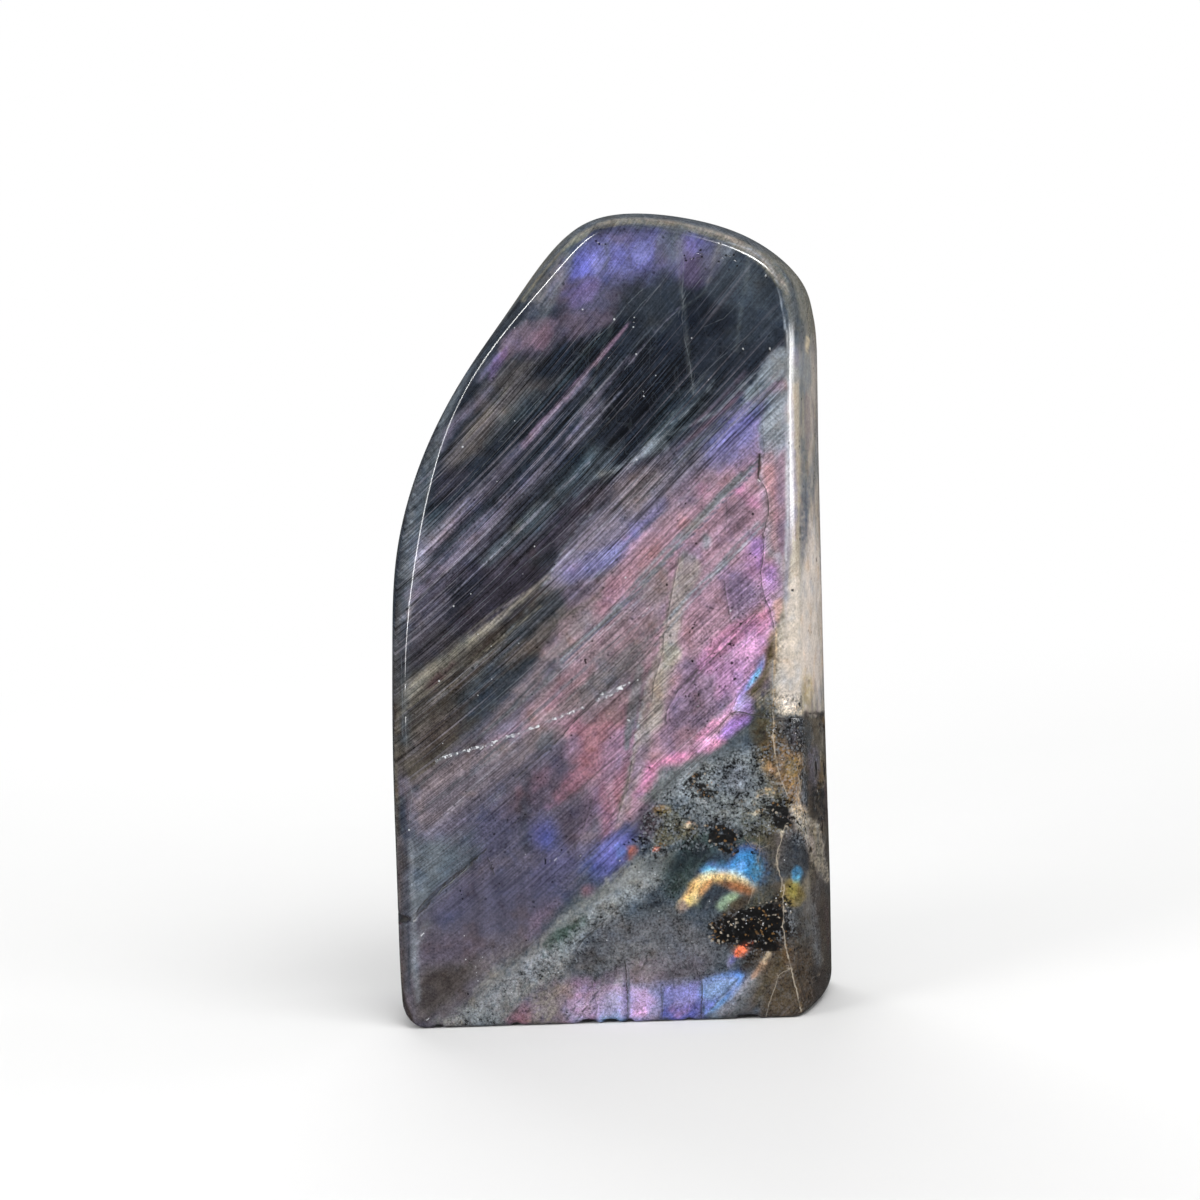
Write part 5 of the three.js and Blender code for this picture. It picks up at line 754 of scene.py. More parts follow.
    ("patch", "black", 0.80, 0.46, 0.37, 0.1, 0.3, "26.6,19.2 29.6,21 31.9,21.5 32,15.6 30.4,13 28.2,13.8 26,15.4 25.4,17.3"),
    ("patch", "black", 0.85, 0.37, 0.37, 0.1, 0.3, "19.4,16 20.9,17.9 23.9,18.2 26.1,16.9 25.3,15.1 22.3,14.8 20.4,14.5"),
    ("patch", "rust", 0.45, 0.37, 0.37, 0.1, 0.8, "24.7,18.5 27,19.6 29.5,18.3 28.7,16.9 25.7,17"),
    ("patch", "loam", 0.70, 0.37, 0.28, 0.1, 0, "30.6,25.5 32.1,26.2 32.7,23.3 32.2,20.5 30.8,22.5"),
    ("patch", "ochre", 0.80, 0.46, 0.37, 0.1, 0.4, "32.1,25.1 34.3,26.5 35.5,24.2 36.4,22.3 34.7,20.8 32.8,21.5 31.6,23"),
    ("patch", "lime", 0.75, 0.30, 0.22, 0.1, 0.3, "33.2,25 34.3,25.7 35.2,23.8 34.2,22.4 33.1,23.3"),
    ("patch", "cream", 0.90, 0.15, 0.11, 0, 0, "31.9,22.2 32.8,22 33,21.3 32.1,21.5"),
    ("patch", "cream", 0.80, 0.13, 0.11, 0, 0, "30.7,22.7 31.2,22.6 31.2,22.1 30.8,22.1"),
    ("patch", "cream", 0.70, 0.13, 0.11, 0, 0, "33.3,20.3 33.7,20.3 33.7,19.7 33.3,19.7"),
    ("patch", "cream", 0.70, 0.13, 0.11, 0, 0, "28.9,21 29.5,20.8 29.2,20.2 28.9,20.4"),
    ("patch", "cream", 0.90, 0.15, 0.11, 0, 0, "27.8,18 28.8,18.4 28.6,17.6 28,17.6"),
    ("patch", "slate", 0.85, 0.46, 0.28, 0.1, 0, "33.1,30.7 33.9,32.9 35.2,34 36.5,33 37.1,30.2 36.8,27.2 35.4,24.6 33.7,29.2"),
    ("patch", "ink", 0.60, 0.37, 0.28, 0.1, 0, "36.3,32.5 37.5,30.5 37.7,27.5 36.6,27.6 36.4,30.6"),
    ("patch", "azure", 0.90, 0.28, 0.22, 0.1, 0, "34.2,28 34.6,28.8 35.6,28.7 35.9,27.4 35.4,26.1 34.1,25.9 33.8,26.9"),
    ("patch", "cyan", 0.60, 0.22, 0.18, 0.1, 0, "34.4,26.9 35.5,27.2 35.4,25.7 34.3,25.6"),
    ("patch", "lime", 0.50, 0.30, 0.18, 0.1, 0, "34.1,25.8 35.4,25.9 35.2,25 34.3,24.6"),
    ("patch", "coral", 0.95, 0.26, 0.18, 0.1, 0, "22.4,12.7 23.8,14.4 25.7,15.1 26.4,14.7 25.2,13.4 23.8,11.9 22.7,11.9"),
    ("patch", "orange", 0.70, 0.22, 0.18, 0.2, 0, "22.4,12.7 23.6,14 24.3,13.6 23.3,12.1"),
    ("patch", "indigo", 0.75, 0.33, 0.18, 0.1, 0, "21.4,11.4 22.5,12.3 23.1,11.5 21.9,10.2"),
    ("patch", "loam", 0.60, 0.55, 0.37, 0.2, 0, "24.6,11.7 27.8,14.2 28.9,13.8 25.8,10.1 23.5,8.5"),
    ("patch", "umber", 0.50, 0.55, 0.37, 0.3, 0.3, "23.2,11 26.7,13.5 27.8,12.7 24.3,9"),
    ("patch", "loam", 0.75, 0.74, 0.55, 0.1, 0.8, "27.6,56.1 32.4,56.6 33.3,51.6 34.4,43.1 36.1,41.1 35.3,40 32.1,42.2 29.7,46.1 27.7,51.2"),
    ("patch", "moss", 0.60, 0.55, 0.46, 0.1, 0.7, "28.2,62 32.6,61.9 32.4,57 29.7,55.6 27.6,56.8"),
    ("patch", "bone", 0.50, 0.37, 0.37, 0.1, 0.9, "29.3,62 31.9,61.9 31.8,60 30.2,57.8 28.8,59"),
    ("patch", "honey", 0.85, 0.55, 0.37, 0.1, 0.5, "32.8,50.3 36.5,50.5 37.1,46.7 35.8,41.5 34.3,41.2 32.6,45.8"),
    ("patch", "ochre", 0.50, 0.37, 0.37, 0.1, 0.9, "33.1,48.7 36.1,49 36,46.4 34.1,45.7"),
    ("patch", "amber", 0.55, 0.18, 0.18, 0, 0, "30.8,47.3 32,47.7 31.9,46.7 31.2,46.4"),
    ("patch", "amber", 0.45, 0.22, 0.28, 0, 0.8, "33.5,48 34.6,47.6 35.7,47.9 34.9,46.4 33.7,46.1"),
    ("patch", "honey", 0.60, 0.37, 0.37, 0.1, 0.8, "28.4,49.7 30.6,49.2 32.3,46 31.1,44.7 29,47"),
    ("patch", "ink", 0.70, 0.55, 0.37, 0.1, 0.5, "34,56.6 37.9,56.8 37.7,52.7 36.9,50.1 34.7,50.2 33.5,53.2"),
    ("patch", "grape", 0.70, 0.46, 0.28, 0.1, 0, "34.9,54.7 36.4,54.8 36.6,52 35.1,51.3"),
    ("patch", "black", 0.80, 0.22, 0.22, 0, 0, "35.6,51.3 36.8,52 37.3,50.5 36.1,49.9"),
    ("patch", "ash", 0.40, 0.55, 0.37, 0.1, 0.5, "37.9,56.8 40.8,56.3 40.9,50.3 38.7,48.9 37.7,52.3"),
    ("patch", "slate", 0.80, 0.55, 0.37, 0.1, 0.3, "36.7,46.7 39,47 39.9,43.8 39,40.1 37.2,40.2 36.4,43"),
    ("patch", "violetgrey", 0.50, 0.55, 0.37, 0.1, 0.3, "38.3,48.9 40.5,48.5 40.7,43.8 39.2,44.8"),
    ("patch", "sand", 0.90, 0.28, 0.28, 0.1, 0.5, "34.2,39.7 35.7,40.6 37.1,39.2 37.2,37.3 35.7,36.6 34.9,38.4"),
    ("patch", "khaki", 0.90, 0.46, 0.37, 0.1, 0.5, "35.7,36.8 37.4,37.3 39.6,35.7 40.7,32.5 40.6,29.3 38.7,31.6 37.1,34.3"),
    ("patch", "taupe", 0.70, 0.55, 0.37, 0.2, 0.5, "36.9,34.3 38.8,31.6 40.7,27.4 40.4,21.8 38.4,25.6 37.3,29.4"),
    ("patch", "brown", 0.50, 0.55, 0.37, 0.2, 0.5, "35.3,22.3 38.3,24.1 40.4,21 40.1,14.6 37.2,16.6"),
    ("patch", "wine", 0.60, 0.37, 0.28, 0.1, 0, "40.3,42.9 41.5,40.9 41.3,36.8 40.4,38.2"),
    ("patch", "umber", 0.60, 0.55, 0.37, 0.1, 0.4, "34.9,12.9 37.6,10.9 39,6.1 37.4,2.1 35.5,1.4 34.6,6.2 34,10"),
    ("patch", "slate", 0.35, 0.74, 0.37, 0.1, 0.5, "36.3,20.4 39.6,19.3 40,12.7 38.1,9.9 36,12.8"),
    ("stroke", "sand", 0.75, 0.13, 0.37, 0, 0.5, "32.2,61.9 31.9,58.9 32,55.9 31.7,52.9 31.9,49.5 32.3,46.9 32.9,44.6 33.8,42.7 34.1,41.2", "0.31 0.19 0.27 0.17 0.31 0.22 0.35 0.22 0.19"),
    ("stroke", "sand", 0.62, 0.13, 0.37, 0, 0.5, "36.3,44.9 35.8,43 35.9,41.1", "0.25 0.16 0.25"),
    ("stroke", "cream", 0.75, 0.12, 0.37, 0, 0.4, "33.1,36.7 32.5,34.7 31.8,32.6 31.6,30.8 31.1,28.9 31.6,27.5 32.3,26.2", "0.22 0.22 0.31 0.22 0.31 0.24 0.22"),
    ("stroke", "sand", 0.70, 0.12, 0.37, 0, 0.4, "32.3,26.2 32,24.3 32.3,22.4 32,19.6 32.1,17.1 32.4,15.2", "0.22 0.14 0.19 0.17 0.27 0.14"),
    ("stroke", "sand", 0.75, 0.12, 0.37, 0, 0.3, "32.3,13.9 32.9,11.4 33.2,8.7 33.8,5.7 34.4,3 34.7,1.1", "0.31 0.19 0.27 0.19 0.36 0.24"),
    ("stroke", "khaki", 0.70, 0.12, 0.18, 0, 0.3, "28.3,0.1 29.1,3.9 30.2,7.7 32.1,9.1", "0.38 0.25 0.22 0.22"),
    ("stroke", "khaki", 0.60, 0.10, 0.18, 0, 0.3, "30.2,8.1 31.7,8.8 33,8.4", "0.19 0.16 0.19"),
    ("stroke", "sand", 0.50, 0.12, 0.18, 0, 0.3, "26.9,34.7 28,32.8 27.8,29.8", "0.22 0.22 0.16"),
    ("stroke", "sand", 0.45, 0.12, 0.18, 0, 0.3, "28,32.8 26.5,33.6 25.5,34.7", "0.19 0.16 0.13"),
    ("patch", "rust", 0.40, 0.37, 0.28, 0.1, 0.6, "31.5,13 33.4,12.5 33.9,8.1 32.5,9.1"),
    ("patch", "cream", 0.90, 0.18, 0.15, 0.1, 0, "26.7,9.7 27.9,11.8 29.1,13.2 29.9,14 29.6,12.8 28.6,11 27.3,9.3"),
    ("patch", "peach", 0.75, 0.28, 0.18, 0.1, 0, "25.3,7.8 26.7,9.7 27.9,11.2 27.6,9.7 26,7.4"),
    ("patch", "tealgrey", 0.50, 0.92, 0.74, 0.1, 0.6, "9.3,42.1 17.9,47.1 21.7,49.7 27,51.8 29.1,48.9 31.6,44.1 31.3,37.5 24.8,35.9 17.4,38.1 9.9,36.1"),
    ("patch", "storm", 0.60, 0.92, 0.55, 0.1, 0.7, "20.9,47.7 26.3,48.4 27.4,45.2 25.4,41.9 21.8,43.2 19.7,45.9"),
    ("patch", "mist", 0.50, 0.74, 0.55, 0.1, 0.8, "9.3,43.6 14.1,46.5 17.9,46.7 17.7,44.4 12.4,41.6"),
    ("patch", "fog", 0.50, 0.74, 0.55, 0.1, 0.8, "12.7,47.6 18,48.9 20.9,48.8 17.9,47.1 14.1,46.5"),
    ("patch", "moss", 0.55, 0.74, 0.55, 0.1, 0.8, "25.3,39.3 28.7,40.3 31.6,39 30.7,35.7 25.5,35.9"),
    ("patch", "ink", 0.50, 0.55, 0.55, 0.1, 0.9, "17.4,37.7 21.2,38.7 25.7,36.2 30.3,36.1 30.6,34.6 24.7,34.4 19.5,35"),
    ("patch", "mist", 0.45, 0.37, 0.46, 0.1, 0.9, "16.7,42.8 19.1,42.1 19.8,40.6 17.6,40.7"),
    ("stroke", "sand", 0.85, 0.12, 0.11, 0, 0, "28.2,43.1 29.7,43.4 31.6,43.4", "0.22 0.31 0.25"),
    ("stroke", "sand", 0.80, 0.12, 0.11, 0, 0, "28,42 29.5,42.7 31.4,42.6", "0.22 0.28 0.22"),
    ("stroke", "cream", 0.60, 0.12, 0.11, 0, 0, "27.4,41.5 29.1,42.1 31,41.9", "0.25 0.31 0.22"),
    ("stroke", "khaki", 0.70, 0.12, 0.11, 0, 0, "27.2,40.9 28.7,41.2 30.2,41.2", "0.22 0.28 0.22"),
    ("stroke", "ochre", 0.50, 0.15, 0.15, 0, 0, "27.9,42.6 29.7,43.1 31,43", "0.19 0.19 0.16"),
    ("patch", "cream", 0.80, 0.22, 0.15, 0.1, 0, "26.9,39 28.1,39.5 29.4,39.7 29,39.1 27.7,38.4"),
    ("patch", "moss", 0.60, 0.28, 0.18, 0.2, 0.5, "12.5,39.7 14.2,40.8 15.7,40.8 14.5,39.7 13,39"),
    ("patch", "cream", 0.85, 0.18, 0.15, 0, 0, "14.4,37 15,37.6 15.9,37.5 15.7,36.8 14.8,36.6"),
    ("patch", "peach", 0.80, 0.22, 0.18, 0, 0, "14.8,37.8 15.8,37.9 15.5,37.2"),
    ("patch", "orange", 0.80, 0.22, 0.18, 0, 0, "8.3,33.1 9.4,33.4 9.7,32.7 8.6,32.3"),
    ("patch", "honey", 0.60, 0.37, 0.37, 0.4, 0, "8.3,40.6 11.3,40.9 12.3,40.1 10.1,39.4"),
    ("patch", "heather", 0.60, 0.74, 0.37, 0.3, 0, "21.1,53.1 23.1,55.5 25,57.3 26.7,56.9 26,55 23.3,52.9"),
    ("patch", "heather", 0.45, 0.74, 0.37, 0.3, 0, "25.8,59.1 27.8,60.5 28.4,59 27.6,56.1 25.7,56.9"),
    ("patch", "hotpink", 0.65, 0.74, 0.37, 0.3, 0, "18.4,50.8 20.7,52.6 23.3,52.7 21.4,51.1 19.2,50.6"),
    ("patch", "hotpink", 0.50, 0.92, 0.37, 0.3, 0, "17.5,54.2 20.9,56.9 22.4,56.6 19.3,53.4 17.4,52.7"),
    ("patch", "hotpink", 0.65, 0.74, 0.37, 0.3, 0, "10.5,48.8 12.1,50.3 14.4,51.1 16.5,50.3 15.4,49"),
    ("patch", "hotpink", 0.55, 0.74, 0.37, 0.3, 0, "6.7,43 7.8,45.6 9,48.2 9.8,48.9 9.7,46.2 8.4,44"),
    ("patch", "rose", 0.60, 0.55, 0.37, 0.3, 0, "12.9,51.8 16.3,53.1 18.1,52.1 16.6,50.5 14,51"),
    ("patch", "khaki", 0.70, 0.55, 0.55, 0.2, 0.6, "-16.1,5 -13.1,7.7 -7.4,8.1 -7.3,-0.3 -17.3,0"),
    ("patch", "rosedark", 0.60, 0.55, 0.37, 0.2, 0.5, "-21,1.7 -18,4.1 -15.7,5 -16,-0 -21.1,0.1"),
    ("patch", "mauve", 0.55, 0.55, 0.37, 0.3, 0.6, "-11.1,6.7 -2.7,9.1 -1.7,6.4 -4.7,-0.4 -11.5,-0.2"),
    ("patch", "lilac", 0.70, 0.92, 0.55, 0.5, 0.3, "-3.5,7.4 -0.4,9.8 4.9,11.6 9.4,10.6 10,7.2 6.5,5.8 0.9,6 -2.9,4.5"),
    ("patch", "blush", 0.50, 0.74, 0.55, 0.5, 0.3, "2.2,9.7 6.8,10.9 9.3,9.5 8.4,6.1 3.2,5.9"),
    ("patch", "mist", 0.60, 0.37, 0.37, 0.8, 0.4, "-7.1,3.9 -2.7,8.4 -1.7,7.2 -4.1,2.7 -6.6,-0.3 -8,0.5"),
    ("patch", "lilacblue", 0.85, 0.55, 0.37, 0.6, 0.2, "-3.7,4 -0.9,6.4 1.4,8.2 1.5,0 -3.2,-0.6 -4.6,1.9"),
    ("patch", "ice", 0.70, 0.37, 0.37, 0.8, 0.3, "-3,3 -0.6,5.2 1.2,4.8 1,1 -2.4,-0.1"),
    ("patch", "azure", 0.30, 0.46, 0.37, 0.6, 0, "-3.1,1.5 -0.7,3.3 1.1,2.5 0.6,-0.2 -2.8,-0.4"),
    ("patch", "lilacpale", 0.70, 0.37, 0.28, 0.3, 0, "-0.9,6.4 0.7,9.4 1.7,9.8 1.9,6.3 0.5,4.4"),
    ("patch", "lavender", 0.85, 0.55, 0.46, 0.4, 0.2, "2.3,6.7 5.6,7 8.4,5.7 8.5,0.4 4.3,-0.5 1.9,-0.4"),
    ("patch", "pinkpale", 0.60, 0.46, 0.37, 0.3, 0.2, "3,3.8 4.9,3.9 5.9,1.6 3.6,0.7"),
    ("patch", "lilac", 0.50, 0.55, 0.37, 0.4, 0.3, "6.4,4.2 8.7,4.9 9,-0 6.2,0"),
    ("patch", "royal", 0.70, 0.46, 0.37, 0.5, 0.2, "8.6,6.5 12.2,6.7 16,7.2 16.2,3.9 14.9,0.2 8.9,-0"),
    ("patch", "perilight", 0.80, 0.37, 0.37, 0.6, 0, "8.8,6.7 12.6,6.7 16,7.6 15.9,5.5 12.8,4.4 9.8,4.1"),
    ("patch", "orchid", 0.60, 0.46, 0.37, 0.6, 0.3, "9.8,3 12.8,4.4 15.1,5.1 14.2,1.7 11.1,0.1"),
    ("patch", "sky", 0.85, 0.46, 0.33, 0.5, 0.2, "16,7.6 19.8,8.6 24.1,9.2 24.1,6.7 21.4,3.8 17.9,1.6 16.2,0.5"),
    ("patch", "perilight", 0.60, 0.37, 0.37, 0.7, 0, "16.2,3.9 18.1,4.6 20,5.3 18.3,2.3 16.4,0.5"),
    ("patch", "azure", 0.40, 0.37, 0.28, 0.7, 0.4, "16.7,6.2 20.1,7.4 22.7,7.2 18.8,3.9 16.9,3.2"),
    ("patch", "lilacpale", 0.60, 0.46, 0.37, 0.8, 0.3, "18.7,1.6 22.2,5.3 24.9,7.9 26.4,7.8 23.2,3.3 20.5,0.4"),
    ("patch", "ash", 0.70, 0.46, 0.28, 0.6, 0.3, "21.7,1.9 24.9,6 26.8,8.2 27.9,7 24.7,2.9 22,-0.1 19.7,0"),
    ("patch", "steel", 0.70, 0.46, 0.37, 0.5, 0.3, "23.5,-0.1 26.2,2.9 28.6,6.6 29.7,6.6 27.7,3.2 26.5,0.6"),
    ("patch", "mocha", 0.75, 0.55, 0.46, 0.3, 0.5, "26.1,-0.2 28.1,4.3 30.6,8.8 32.9,11 34.6,8.1 34.3,1.5 32.4,0.4"),
    ("patch", "moss", 0.40, 0.55, 0.37, 0.3, 0.5, "28.9,3.5 30.8,6.3 32.3,5.3 31.8,2.7"),
    ("patch", "plum", 0.35, 0.55, 0.37, 0.4, 0.3, "10,8.3 13,8.6 16.1,9.3 14.2,10.5 9.4,11"),
    ("stroke", "ice", 0.50, 0.10, 0.11, 0.2, 0, "-3.1,0.3 -0.7,3.3 1.3,5.6", "0.25 0.31 0.22"),
    ("stroke", "lilacpale", 0.50, 0.10, 0.11, 0.2, 0, "-6.5,0.4 -4.1,3.8 -1.7,6.8", "0.25 0.31 0.22"),
    ("stroke", "lilacpale", 0.45, 0.10, 0.11, 0.2, 0, "-5,0 -3,2.6 -1,5.3", "0.22 0.25 0.19"),
    ("stroke", "mist", 0.45, 0.10, 0.11, 0.2, 0, "16.8,0.9 19.5,3.8 22.7,6.8", "0.22 0.28 0.22"),
    ("stroke", "mist", 0.40, 0.10, 0.11, 0.2, 0, "20.5,1.1 23.7,4.8 26.4,7.8", "0.22 0.28 0.22"),
    ("stroke", "tealgrey", 0.40, 0.22, 0.18, 0, 0, "18.4,145.9 18.5,139 19.2,131.3 19.4,123.5 20.1,117.2", "0.47 0.55 0.63 0.63 0.47"),
    ("stroke", "tealgrey", 0.30, 0.27, 0.18, 0, 0, "31.6,144 30.6,137 29.2,130.9 28.2,124.5", "0.63 0.78 0.78 0.47"),
    ("stroke", "tealgrey", 0.35, 0.18, 0.18, 0, 0, "26,144.2 24.7,139.4 22.8,135.3 18.5,132.6 14.7,128.6", "0.47 0.39 0.39 0.39 0.31"),
    ("stroke", "fog", 0.45, 0.13, 0.15, 0.3, 0, "36.7,124.1 33.3,121.6 29.7,118.8 23.8,113.4 19.1,111.4 14.5,109.6 9.7,105.8 7.2,103.7", "0.78 0.63 0.63 0.47 0.39 0.39 0.31 0.24"),
    ("stroke", "tealgrey", 0.35, 0.15, 0.18, 0, 0, "6.4,131.9 1.5,119.4 4.7,112.3", "0.31 0.39 0.31"),
    ("stroke", "tealgrey", 0.40, 0.15, 0.18, 0.2, 0, "34,116.8 28.3,111.9 20.8,108.6 15.4,103.3 9.3,98.1", "0.47 0.47 0.47 0.39 0.31"),
    ("patch", "lilac", 0.30, 1.11, 0.92, 0.9, 0, "-36.2,81.4 -30.1,88.6 -22.3,95.7 -12.6,102.7 -4.9,109.8 2.9,116.8 4.6,114.8 -5.2,104.2 -12.9,97.2 -20.9,88.2 -28.7,81.1 -35.7,73.9"),
    ("patch", "lilac", 0.35, 0.92, 0.74, 1, 0, "-37.1,72.1 -32.6,79.4 -28.6,83 -26.9,81 -31,73.7 -37,68"),
    ("stroke", "khaki", 0.75, 0.22, 0.28, 0.1, 0.4, "-10.1,135.7 -6.9,141 -2.6,144.8 3.2,148.5 10.4,149.4 19.1,148.4 27.7,145.2 34.2,140.6 38.1,135.1 39.5,128.7", "0.94 1.3 1.4 1.7 1.7 1.7 1.9 2.2 2.2 1.9"),
    ("stroke", "vein", 0.55, 0.22, 0.28, 0.1, 0.5, "-5.3,142.3 -2.6,145.1 3.3,148.8 8.2,149.8 13.7,149.7", "0.63 0.78 0.94 0.94 0.47"),
    ("stroke", "taupe", 0.40, 0.22, 0.28, 0.1, 0.8, "11.9,149.5 19.1,148.4 27.7,145.2 34.2,140.9 37.1,136.6", "0.78 0.78 0.94 0.94 0.94"),
    ("stroke", "ash", 0.55, 0.30, 0.28, 0.1, 0.4, "-13.8,132.5 -18.7,126.9 -23.8,118.9 -27.5,112.6 -31.1,103.5 -33.9,94.4 -35.6,85.1 -37,74 -38,62.7", "0.78 1.1 1.4 1.7 1.7 1.7 1.7 1.4 1.1"),
    ("stroke", "fog", 0.40, 0.30, 0.28, 0.1, 0.5, "-29,109 -32.2,101.7 -34.4,92.5 -35.6,85.1", "1.1 1.3 1.3 0.78"),
    ("stroke", "khaki", 0.50, 0.22, 0.28, 0.1, 0.4, "-38.2,59 -39.1,47.7 -39.8,32.5 -40.5,17.3 -40.5,7.7", "0.78 0.94 0.94 0.94 0.94"),
    ("stroke", "tealgrey", 0.60, 0.15, 0.15, 0.3, 0, "-7,70 -2.2,73.1 2.6,76.5 8.4,81.4 13.1,86.4 18.2,92.1 21.3,95.3 25.9,99.5 30.1,103.4", "0.47 0.47 0.55 0.63 0.63 0.78 0.94 0.78 0.47"),
    ("stroke", "fog", 0.60, 0.12, 0.15, 0.2, 0, "9.7,69.8 12.5,72.9 16.6,77.6 20.6,81.9 25.9,87.2 31.8,92.7", "0.31 0.39 0.47 0.47 0.47 0.31"),
    ("stroke", "steel", 0.50, 0.10, 0.11, 0.2, 0, "-6.5,79.3 0.8,84.7 8.4,92.2 15.7,96.9 20.5,101.3", "0.31 0.31 0.39 0.39 0.31"),
    ("stroke", "steel", 0.45, 0.10, 0.11, 0.2, 0, "-7.3,63.6 2.3,70.3 10.5,78 15.9,82.1", "0.31 0.31 0.31 0.24"),
    ("stroke", "mist", 0.35, 0.10, 0.09, 0.2, 0, "-7.8,68.7 -2.4,71.8 2.9,75 8.7,79.9 13.8,84.9", "0.19 0.22 0.25 0.25 0.16"),
    ("stroke", "mist", 0.55, 0.10, 0.06, 0, 0, "-9.8,82.8 -8.4,84.2 -6.6,87.6 -4.6,90.7 -1.4,94.3 1.1,96.9", "0.16 0.19 0.19 0.19 0.19 0.16"),
    ("patch", "lilac", 0.40, 0.28, 0.18, 0.3, 0, "-8.4,84.2 -6.6,87.6 -4.6,90.7 -1.4,94.3 1.8,96.9 5.5,96 8.2,98.1 9.1,94.4 5.6,90.8 1.8,88 -2,86.3 -5.8,85"),
    ("stroke", "lilacpale", 0.50, 0.10, 0.07, 0.1, 0, "1.3,86.9 4,89.4 7.5,91.1 10.5,92.8", "0.19 0.22 0.22 0.19"),
    ("stroke", "mist", 0.40, 0.10, 0.07, 0, 0, "-3.2,89 -1.6,87.4 -0.2,85.1", "0.16 0.19 0.16"),
    ("stroke", "vein", 0.50, 0.10, 0.11, 0.3, 0, "-37.5,64.6 -31.2,69.6 -25,74.2 -18.8,78.5 -11.9,82.3 -6.1,86.5", "0.47 0.55 0.47 0.47 0.39 0.31"),
    ("stroke", "khaki", 0.55, 0.12, 0.11, 0.3, 0, "-37.8,59.7 -31.6,64.4 -25.7,68.3 -18,73.2 -10.2,79.2", "0.47 0.47 0.47 0.39 0.31"),
    ("stroke", "bone", 0.45, 0.10, 0.07, 0.2, 0, "-23.6,73.4 -17.7,77.9 -13.8,80.5 -10.8,82.6", "0.25 0.35 0.28 0.19"),
    ("stroke", "lilacpale", 0.45, 0.10, 0.09, 0.3, 0, "-37.4,72.5 -30.8,78.2 -22.9,85 -15.1,91.7 -7.3,98.8 0.4,105.5", "0.31 0.39 0.39 0.47 0.39 0.31"),
    ("stroke", "lilacpale", 0.50, 0.10, 0.09, 0.3, 0, "-36.4,77.7 -28.5,85.2 -20.7,92 -12.8,99 -5,106.4 0.8,112.3 6.6,118", "0.39 0.47 0.47 0.47 0.39 0.39 0.31"),
    ("stroke", "lilac", 0.50, 0.12, 0.11, 0.3, 0, "-35.4,82.1 -28.3,88.6 -20.4,95.7 -12.6,103.1 -4.8,110.5 2.9,118.2 8.8,124.7", "0.47 0.63 0.63 0.63 0.47 0.47 0.31"),
    ("stroke", "mist", 0.35, 0.10, 0.07, 0.2, 0, "-13.4,87.9 -5.6,95 2.1,101.3 9.7,107.3 17.4,113.3", "0.24 0.31 0.31 0.25 0.19"),
    ("stroke", "mist", 0.30, 0.10, 0.07, 0.2, 0, "-9.9,84.1 -2.2,90.2 5.5,96.4 13.2,103.4", "0.24 0.31 0.31 0.19"),
    ("stroke", "ink", 0.60, 0.10, 0.09, 0.3, 0, "-36.9,68.7 -29.1,75.1 -21.2,81.9 -13.4,88.7 -5.6,95 2.1,102.1", "0.47 0.47 0.47 0.39 0.39 0.31"),
    ("stroke", "ink", 0.60, 0.10, 0.09, 0.3, 0, "-36.6,74 -28.7,81.9 -20.8,89 -13,95.7 -5.2,102.8 2.5,110.2", "0.31 0.47 0.47 0.47 0.39 0.31"),
    ("stroke", "ink", 0.50, 0.10, 0.09, 0.3, 0, "-32,88.7 -24.2,95.8 -16.3,103.3 -8.5,110.7 -0.7,118.4 5.1,124.7", "0.31 0.47 0.47 0.47 0.39 0.31"),
    ("stroke", "umber", 0.60, 0.12, 0.11, 0.3, 0, "-38.3,51.4 -32,56.5 -24.2,62.2 -16.4,67.9 -8.6,73.6", "0.47 0.47 0.47 0.47 0.31"),
    ("stroke", "umber", 0.55, 0.12, 0.11, 0.3, 0, "-37.7,56.1 -29.8,62.4 -22,68.1 -14.2,73.8", "0.47 0.47 0.39 0.31"),
    ("stroke", "ash", 0.50, 0.12, 0.11, 0.4, 0, "-39.2,42.8 -32.5,48.2 -24.7,53.9 -16.9,59.7 -9.1,65.4 -1.3,71.4", "0.47 0.47 0.47 0.47 0.47 0.31"),
    ("stroke", "ash", 0.45, 0.12, 0.11, 0.4, 0, "-38.7,38.2 -30.8,44.5 -23,50.5 -15.2,56.2", "0.39 0.39 0.31 0.31"),
    ("stroke", "fog", 0.40, 0.10, 0.09, 0.3, 0, "-30.9,43.6 -25,47.9 -21.1,50.8 -15.2,55.1", "0.24 0.31 0.31 0.24"),
    ("stroke", "steel", 0.50, 0.15, 0.11, 0.4, 0, "-24.9,48.7 -17.1,55.2 -9.3,61.6 -1.5,68.1 4.3,73", "0.47 0.63 0.63 0.47 0.31"),
    ("patch", "fog", 0.45, 0.55, 0.46, 0.2, 0.6, "-27.4,5.3 -21.5,9.9 -15.6,14.5 -11.2,18.2 -6.7,21.5 -1.9,23.6 5.7,27.1 8.5,26.1 3.6,22.4 -2.2,18.8 -8.1,14.3 -13.9,9.7 -19.8,5.1 -25.7,1.4"),
    ("patch", "mist", 0.35, 0.33, 0.37, 0.2, 0.9, "-21.6,8.2 -17.6,11.5 -12.7,14.8 -9.9,15.5 -12.3,12.1 -17,8.4 -20.2,5.9"),
    ("stroke", "mist", 0.50, 0.12, 0.22, 0.2, 0.6, "-14.6,11.4 -12.1,15.6 -9.7,18.5 -6.2,21.1 -2,23.2", "0.31 0.39 0.39 0.31 0.24"),
    ("stroke", "mist", 0.40, 0.12, 0.18, 0.1, 0.6, "-10.3,7.7 -6.3,11.2 -4.3,14.5 -2.3,17.1", "0.31 0.31 0.31 0.16"),
